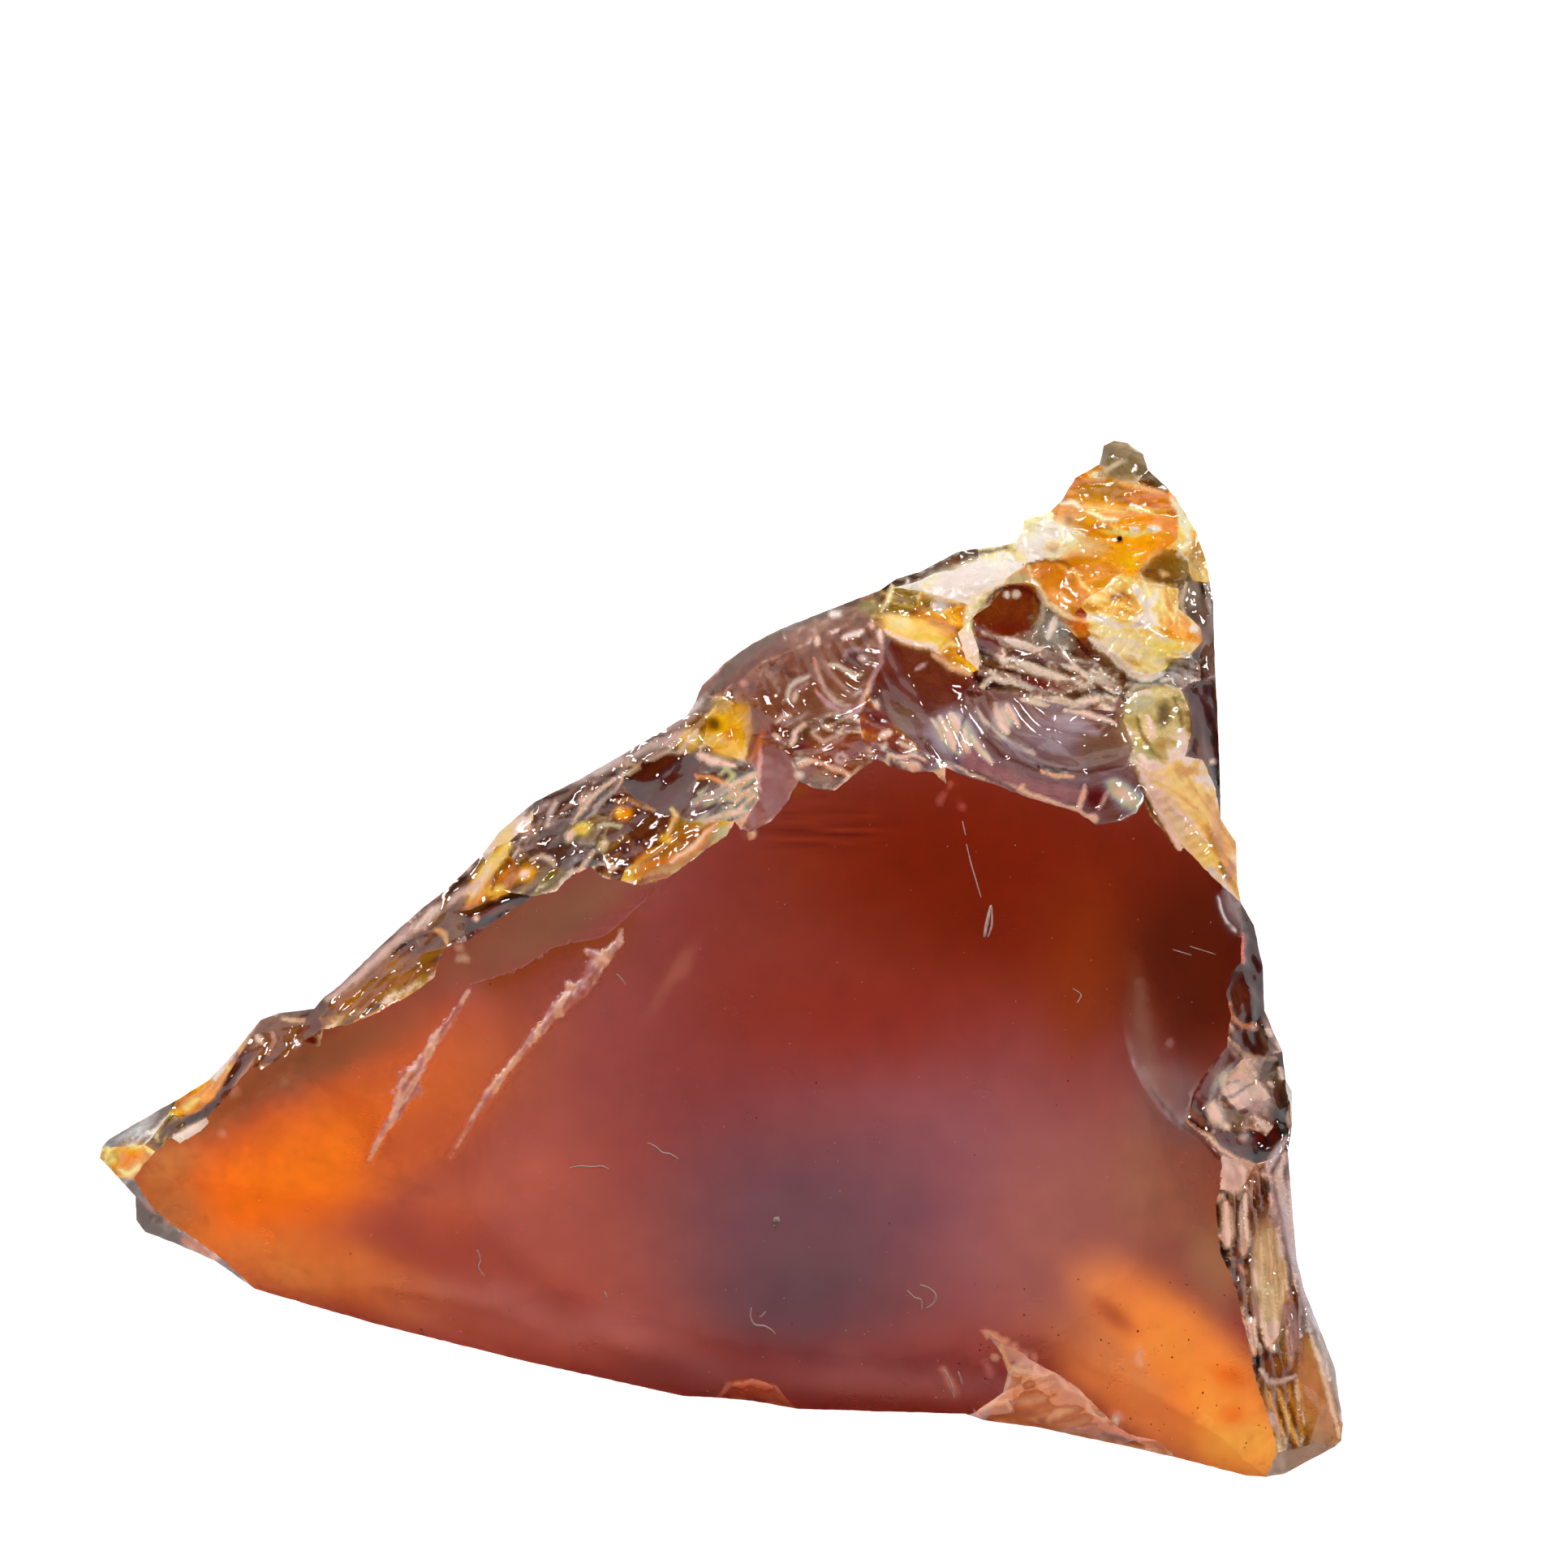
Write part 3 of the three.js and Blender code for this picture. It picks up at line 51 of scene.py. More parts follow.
# ---------------------------------------------------------------- survey tables
# across, down, height, in survey units (36 to 1 mm); the first RIM points run round the rim
RIM = 99
FRONT_POINTS = [
    1373,543,150, 1390,546,153, 1409,560,157, 1414,578,160, 1440,603,173, 1450,615,178, 1474,655,185, 1486,690,190,
    1491,718,192, 1495,743,194, 1496,790,198, 1498,835,202, 1500,870,224, 1503,950,261, 1504,1009,301, 1523,1037,307,
    1525,1090,337, 1529,1112,310, 1545,1140,339, 1556,1190,332, 1558,1245,319, 1580,1295,298, 1584,1330,286, 1592,1345,274,
    1592,1386,308, 1587,1419,319, 1592,1480,310, 1598,1552,302, 1608,1592,298, 1618,1617,289, 1645,1685,265, 1655,1755,261,
    1653,1775,262, 1646,1782,268, 1583,1816,308, 1560,1820,336, 1535,1818,340, 1450,1796,357, 1379,1780,342, 1281,1759,330,
    1213,1750,354, 1189,1742,391, 983,1736,396, 927,1726,381, 880,1722,396, 842,1720,394, 651,1678,386, 462,1631,367,
    314,1588,344, 264,1553,319, 214,1531,304, 179,1518,290, 168,1503,291, 167,1474,302, 145,1450,292, 123,1427,269,
    126,1413,267, 134,1404,270, 200,1365,292, 217,1356,300, 257,1331,317, 275,1312,323, 299,1284,323, 321,1257,314,
    344,1248,324, 387,1243,344, 400,1228,336, 420,1213,334, 466,1168,327, 517,1122,344, 550,1096,340, 594,1053,335,
    615,1025,326, 659,988,320, 713,961,316, 765,931,289, 810,904,293, 846,882,293, 857,865,284, 865,845,262,
    894,816,258, 927,793,253, 962,775,245, 1020,752,216, 1085,727,204, 1105,713,201, 1133,705,197, 1180,680,190,
    1205,676,186, 1237,672,182, 1250,668,180, 1260,655,178, 1262,641,175, 1295,630,168, 1309,616,164, 1325,589,158,
    1345,578,154, 1355,572,153, 1360,549,151, 203,1380,308, 190,1398,313, 178,1411,313, 145,1413,286, 191,1419,331,
    176,1436,326, 165,1452,322, 175,1470,324, 190,1490,326, 214,1510,330, 245,1530,335, 280,1556,341, 310,1277,328,
    292,1305,339, 277,1330,342, 264,1352,341, 248,1368,336, 228,1377,316, 212,1373,304, 255,1377,348, 240,1386,336,
    225,1396,332, 212,1402,337, 201,1412,334, 257,1384,348, 247,1394,346, 232,1403,342, 222,1409,339, 331,1270,337,
    324,1292,347, 308,1314,362, 292,1335,358, 278,1352,354, 392,1255,361, 375,1262,358, 350,1266,351, 372,1285,369,
    350,1303,371, 322,1318,365, 398,1268,380, 394,1290,379, 490,1160,347, 462,1190,346, 430,1222,352, 405,1243,355,
    545,1118,351, 530,1140,361, 510,1152,353, 520,1175,384, 470,1215,373, 430,1245,369, 412,1262,378, 548,1168,398,
    535,1205,402, 505,1226,398, 460,1250,391, 430,1263,386, 570,1135,383, 575,1160,405, 600,1062,341, 585,1085,352,
    572,1104,358, 562,1122,368, 612,1043,340, 628,1036,346, 625,1052,357, 612,1070,365, 605,1092,377, 602,1110,384,
    580,1121,378, 628,1100,392, 640,1078,378, 635,1062,365, 657,1010,336, 640,1025,339, 748,958,307, 722,992,340,
    708,1015,362, 690,1030,368, 668,1040,364, 648,1050,362, 842,912,314, 826,927,314, 796,936,300, 768,958,309,
    745,985,339, 722,1005,355, 862,922,328, 861,950,353, 852,985,371, 835,1006,382, 812,1003,368, 790,990,350,
    768,972,328, 868,916,320, 872,882,308, 890,857,294, 906,868,307, 925,870,321, 926,905,350, 918,937,354,
    893,930,337, 872,860,283, 752,1000,355, 748,1020,373, 738,1042,391, 715,1040,387, 700,1035,376, 757,998,352,
    772,993,346, 781,1003,354, 776,1015,365, 760,1014,366, 828,1030,385, 800,1052,387, 770,1072,410, 748,1066,406,
    850,1012,385, 880,1010,401, 905,1012,422, 895,1030,423, 870,1046,420, 845,1066,422, 822,1082,424, 790,1091,423,
    765,1085,421, 882,972,380, 908,962,379, 932,958,379, 936,985,398, 925,1000,405, 912,1022,423, 935,948,375,
    728,1068,416, 705,1078,415, 690,1070,394, 660,1062,369, 686,1098,415, 658,1104,412, 630,1122,410, 600,1142,408,
    745,1082,419, 975,800,288, 930,822,295, 900,846,294, 1066,747,219, 1040,772,249, 1005,790,271, 990,850,336,
    975,890,357, 948,905,367, 1078,768,243, 1088,797,273, 1085,818,291, 1072,840,307, 1062,868,324, 1030,880,337,
    1000,885,352, 1060,892,344, 1066,915,364, 1080,935,384, 1062,948,391, 1048,958,397, 1028,974,404, 1000,970,409,
    985,962,410, 978,945,396, 965,925,378, 945,918,364, 970,988,416, 950,1012,421, 925,1025,423, 1385,568,176,
    1365,578,169, 1400,596,172, 1376,592,165, 1358,584,155, 1428,603,174, 1365,622,190, 1335,618,183, 1452,640,187,
    1420,632,204, 1390,626,201, 1450,665,197, 1420,660,220, 1380,658,227, 1345,652,208, 1312,650,191, 1297,640,174,
    1435,676,207, 1420,682,214, 1404,702,229, 1385,705,231, 1372,696,217, 1350,682,206, 1330,667,202, 1310,682,204,
    1288,690,205, 1266,694,210, 1255,702,213, 1240,712,219, 1250,690,195, 1256,672,185, 1372,712,232, 1360,725,233,
    1338,738,248, 1325,720,225, 1312,702,212, 1300,692,208, 1332,748,244, 1322,758,233, 1304,752,231, 1290,737,235,
    1280,722,227, 1270,710,216, 1450,678,202, 1463,690,200, 1466,706,203, 1452,725,216, 1430,720,226, 1410,717,244,
    1470,715,203, 1480,838,214, 1478,818,206, 1482,790,220, 1480,775,218, 1465,760,214, 1452,750,219, 1415,745,258,
    1410,770,270, 1385,775,271, 1360,765,268, 1340,756,253, 1460,792,242, 1435,785,258, 1466,806,229, 1445,812,243,
    1436,825,249, 1418,832,260, 1400,836,268, 1386,828,270, 1368,812,273, 1354,798,272, 1344,782,260, 1336,768,260,
    1345,802,253, 1330,788,242, 1316,774,234, 1304,764,229, 1207,690,196, 1185,700,204, 1150,707,203, 1125,718,207,
    1100,724,207, 1232,730,232, 1220,746,244, 1204,756,252, 1194,746,245, 1170,738,232, 1135,728,215, 1130,748,221,
    1105,762,232, 1088,776,247, 1194,766,252, 1180,780,260, 1150,798,270, 1125,796,268, 1105,788,259, 1200,785,263,
    1206,800,277, 1206,826,290, 1190,812,282, 1190,830,292, 1174,824,287, 1240,720,219, 1262,718,216, 1282,757,237,
    1268,774,242, 1248,783,245, 1222,780,249, 1300,790,245, 1270,805,256, 1240,812,265, 1388,840,254, 1380,856,271,
    1345,840,261, 1320,815,261, 1370,876,279, 1335,872,284, 1300,866,288, 1260,858,277, 1230,852,285, 1206,850,289,
    1204,838,284, 1190,850,299, 1172,868,312, 1140,880,315, 1110,872,321, 1088,852,311, 1386,868,277, 1384,888,289,
    1391,905,297, 1395,925,311, 1392,942,329, 1385,948,334, 1340,956,356, 1290,950,367, 1250,930,368, 1217,902,344,
    1197,868,319, 1230,968,374, 1195,958,375, 1165,946,374, 1135,924,362, 1112,900,349, 1088,878,335, 1072,862,320,
    1401,958,335, 1410,985,355, 1400,1002,360, 1380,1012,366, 1350,1016,371, 1330,1002,370, 1300,993,372, 1265,982,374,
    1110,926,365, 1080,915,367, 1166,966,379, 1150,951,377, 1125,952,380, 1100,946,383, 1465,842,226, 1455,850,242,
    1430,844,250, 1400,852,265, 1466,875,256, 1468,905,273, 1460,932,294, 1445,937,310, 1430,946,326, 1415,951,338,
    1403,942,330, 1398,920,308, 1498,972,283, 1482,936,281, 1478,965,303, 1486,1000,328, 1460,1000,350, 1438,978,348,
    1512,1075,353, 1498,1040,344, 1505,1090,362, 1480,1066,361, 1460,1045,360, 1444,1020,351, 1430,1000,349, 1415,975,346,
    1451,1049,363, 1434,1025,360, 1416,1003,358, 1546,1262,334, 1530,1266,351, 1517,1250,366, 1511,1225,370, 1516,1200,370,
    1529,1186,368, 1530,1155,367, 1560,1302,319, 1530,1306,341, 1512,1290,366, 1505,1342,352, 1512,1325,346, 1550,1330,308,
    1566,1352,296, 1545,1362,316, 1525,1368,339, 1575,1380,319, 1560,1400,330, 1540,1390,340, 1515,1395,365, 1500,1380,379,
    1490,1362,372, 1545,1436,359, 1520,1428,384, 1505,1425,398, 1488,1404,398, 1462,1382,400, 1470,1350,389, 1490,1315,374,
    1540,1450,363, 1528,1466,372, 1503,1466,396, 1505,1442,397, 1560,1432,348, 1566,1480,343, 1560,1500,342, 1548,1525,347,
    1538,1548,359, 1524,1550,372, 1505,1547,388, 1500,1515,392, 1498,1485,395, 1574,1518,329, 1582,1560,320, 1583,1600,324,
    1576,1645,333, 1562,1660,347, 1555,1630,350, 1549,1590,352, 1545,1560,350, 1552,1672,357, 1540,1662,368, 1532,1630,374,
    1524,1590,381, 1514,1565,385, 1600,1602,307, 1590,1560,309, 1600,1650,317, 1598,1680,318, 1580,1700,330, 1556,1692,353,
    1548,1702,360, 1600,1705,314, 1606,1740,309, 1613,1780,305, 1590,1786,322, 1574,1790,340, 1568,1762,346, 1560,1735,353,
    1612,1640,307, 1625,1680,293, 1640,1722,277, 1630,1780,284, 1566,1808,338, 1215,1640,406, 1237,1657,398, 1262,1668,395,
    1278,1680,392, 1300,1691,386, 1268,1696,366, 1242,1692,381, 1234,1668,391, 1330,1712,382, 1350,1732,377, 1374,1756,370,
    1400,1770,364, 1425,1774,361, 1200,1741,391, 1236,1716,383, 895,1702,397, 930,1698,398, 958,1708,397, 972,1726,398,
    1240,750,173, 1300,908,312, 1230,905,330, 1380,640,217, 1340,635,198, 1400,765,270, 1400,800,272, 1440,800,249,
    1015,955,380, 1010,925,362, 930,860,330, 1040,830,303, 1120,830,281, 1290,970,370, 1460,1020,354, 1500,1060,353,
    820,965,329, 900,900,309, 690,1005,338, 1560,1580,334, 1535,1340,313, 1540,1225,355, 1150,740,217, 1200,715,226,
    1110,770,239, 1330,850,281, 1250,835,276, 1430,900,278, 1480,890,257, 1345,700,211, 1305,725,216, 1435,700,194,
    1580,1750,323, 1625,1740,297, 1300,1735,346, 1245,1740,353, 1610,1795,296, 989,1036,420, 1086,1046,407, 1182,1043,396,
    1277,1038,385, 730,1129,421, 829,1120,427, 929,1121,431, 1030,1128,428, 1132,1116,415, 1233,1129,408, 1332,1119,395,
    1429,1122,381, 596,1205,410, 692,1205,421, 786,1197,428, 881,1210,434, 976,1197,436, 1073,1206,434, 1172,1204,427,
    1272,1198,416, 541,1289,404, 642,1276,417, 743,1289,426, 842,1281,433, 939,1281,437, 1035,1289,438, 1130,1276,436,
    1224,1289,431, 1319,1281,422, 391,1370,377, 486,1359,394, 583,1365,408, 682,1367,419, 782,1358,428, 884,1371,434,
    985,1358,437, 1086,1365,436, 1185,1366,432, 1282,1358,426, 1378,1371,417, 253,1448,344, 352,1444,366, 449,1440,384,
    545,1450,398, 639,1437,411, 734,1449,420, 829,1443,427, 926,1441,432, 1025,1450,432, 1125,1437,431, 1226,1449,426,
    1328,1442,418, 1429,1441,408, 394,1531,367, 496,1520,385, 596,1525,399, 695,1528,410, 792,1518,419, 888,1531,423,
    982,1520,426, 1077,1525,426, 1172,1528,422, 1269,1518,417, 1368,1531,407, 535,1611,381, 636,1598,396, 737,1609,404,
    838,1605,412, 939,1601,416, 1038,1611,416, 1135,1598,416, 1325,1604,403, 1420,1601,393, 1080,1685,405, 1181,1689,401,
    1381,1692,384, 1478,1681,374, 1524,1772,352, 1380,1215,404, 1395,1250,404, 1408,1290,403, 1422,1333,405, 1440,1360,403,
    1430,1250,392, 1450,1300,387, 1470,1260,379, 1480,1200,378, 1440,1190,387,
]
# corners of the domed face
DOME = [
    104,106,105, 123,118,131, 123,629,124, 125,124,629, 126,125,629, 629,110,109, 122,121,126, 103,122,126, 126,629,103, 104,103,629, 106,104,629, 107,106,629,
    108,107,629, 629,109,108, 130,129,137, 136,135,139, 139,618,136, 136,618,137, 130,137,618, 155,154,619, 139,138,155, 155,619,139, 618,139,619, 619,631,618,
    630,618,631, 642,630,631, 631,643,642, 643,47,642, 48,642,47, 130,618,131, 618,630,131, 123,131,630, 629,123,630, 110,629,630, 630,642,110, 642,48,110,
    239,601,157, 157,601,151, 152,151,601, 609,152,601, 609,601,610, 620,609,610, 610,621,620, 621,633,620, 632,620,633, 644,632,633, 653,644,654, 654,46,653,
    232,240,233, 240,593,233, 236,233,593, 593,240,224, 224,223,593, 602,593,603, 611,602,603, 645,634,646, 655,645,646, 236,593,237, 593,602,237, 238,237,602,
    239,238,602, 601,239,602, 610,601,602, 602,611,610, 621,610,611, 611,622,621, 622,634,621, 633,621,634, 634,645,633, 644,633,645, 654,644,645, 645,655,654,
    46,654,655, 152,609,153, 154,153,609, 619,154,609, 609,620,619, 620,632,619, 631,619,632, 643,631,632, 632,644,643, 644,653,643, 47,643,653, 653,46,47,
    594,222,221, 218,230,219, 45,656,548, 548,44,45, 657,550,549, 589,263,262, 268,264,263, 263,589,268, 268,589,269, 270,269,589, 595,270,589, 624,637,636,
    637,648,636, 219,230,270, 270,595,219, 220,219,595, 221,220,595, 594,221,595, 604,594,595, 595,605,604, 605,613,604, 612,604,613, 623,612,613, 613,624,623,
    624,636,623, 635,623,636, 647,635,636, 636,648,647, 648,657,647, 656,647,657, 548,656,657, 657,549,548, 590,429,428, 260,259,429, 261,260,429, 429,590,261,
    41,663,546, 426,411,410, 410,591,426, 427,426,428, 590,428,426, 426,591,590, 591,597,590, 596,590,597, 606,596,597, 597,607,606, 607,615,606, 614,606,615,
    625,614,615, 615,626,625, 638,625,626, 649,638,650, 650,659,649, 658,649,659, 662,658,659, 659,663,662, 663,41,662, 261,590,262, 589,262,590, 590,596,589,
    595,589,596, 605,595,596, 596,606,605, 606,614,605, 613,605,614, 624,613,614, 614,625,624, 637,624,625, 625,638,637, 638,649,637, 648,637,649, 649,658,648,
    657,648,658, 550,657,658, 658,662,550, 551,550,662, 42,551,662, 662,41,42, 222,594,223, 593,223,594, 603,593,594, 594,604,603, 604,612,603, 611,603,612,
    622,611,612, 612,623,622, 623,635,622, 634,622,635, 646,634,635, 635,647,646, 647,656,646, 655,646,656, 656,45,655, 46,655,45, 592,422,421, 537,536,660,
    422,592,423, 409,423,592, 592,599,598, 608,598,599, 616,608,617, 617,627,616, 627,640,639, 651,639,640, 533,651,660, 534,533,660, 535,534,660, 660,536,535,
    664,543,542, 417,458,418, 669,670,628, 545,544,664, 543,664,544, 592,421,420, 599,592,420, 420,419,599, 419,600,599, 600,667,599, 608,599,667, 617,608,667,
    667,668,617, 668,669,617, 669,628,617, 627,617,628, 640,627,628, 628,641,640, 641,652,640, 651,640,652, 660,651,652, 652,661,660, 661,664,660, 537,660,664,
    541,537,664, 664,542,541, 674,675,462, 487,674,468, 483,491,484, 456,452,451, 672,676,675, 675,674,672, 673,672,674, 674,487,673, 487,486,673, 485,671,486,
    666,520,527, 527,526,666, 526,525,666, 525,532,666, 36,666,532, 532,35,36, 17,465,450, 465,464,675, 464,463,675, 462,675,463, 674,462,461, 468,674,461,
    511,510,665, 510,520,665, 520,666,665, 666,36,37, 418,458,457, 419,418,457, 457,456,419, 600,419,456, 456,451,600, 451,450,600, 450,465,600, 465,675,600,
    675,676,600, 667,600,676, 676,672,667, 668,667,672, 669,668,672, 672,673,669, 670,669,673, 673,486,670, 486,671,670, 628,670,671, 641,628,671, 671,485,641,
    485,484,641, 484,491,641, 491,490,641, 490,500,641, 500,499,641, 652,641,499, 661,652,499, 499,498,661, 498,513,661, 513,512,661, 512,511,661, 511,665,661,
    664,661,665, 545,664,665, 665,666,545, 666,37,545, 591,410,409, 409,592,591, 592,598,591, 597,591,598, 607,597,598, 598,608,607, 608,616,607, 615,607,616,
    626,615,616, 616,627,626, 627,639,626, 638,626,639, 650,638,639, 639,651,650, 651,533,650, 659,650,533, 663,659,533, 533,540,663, 540,539,663, 539,547,663,
    546,663,547, 41,546,40,
]
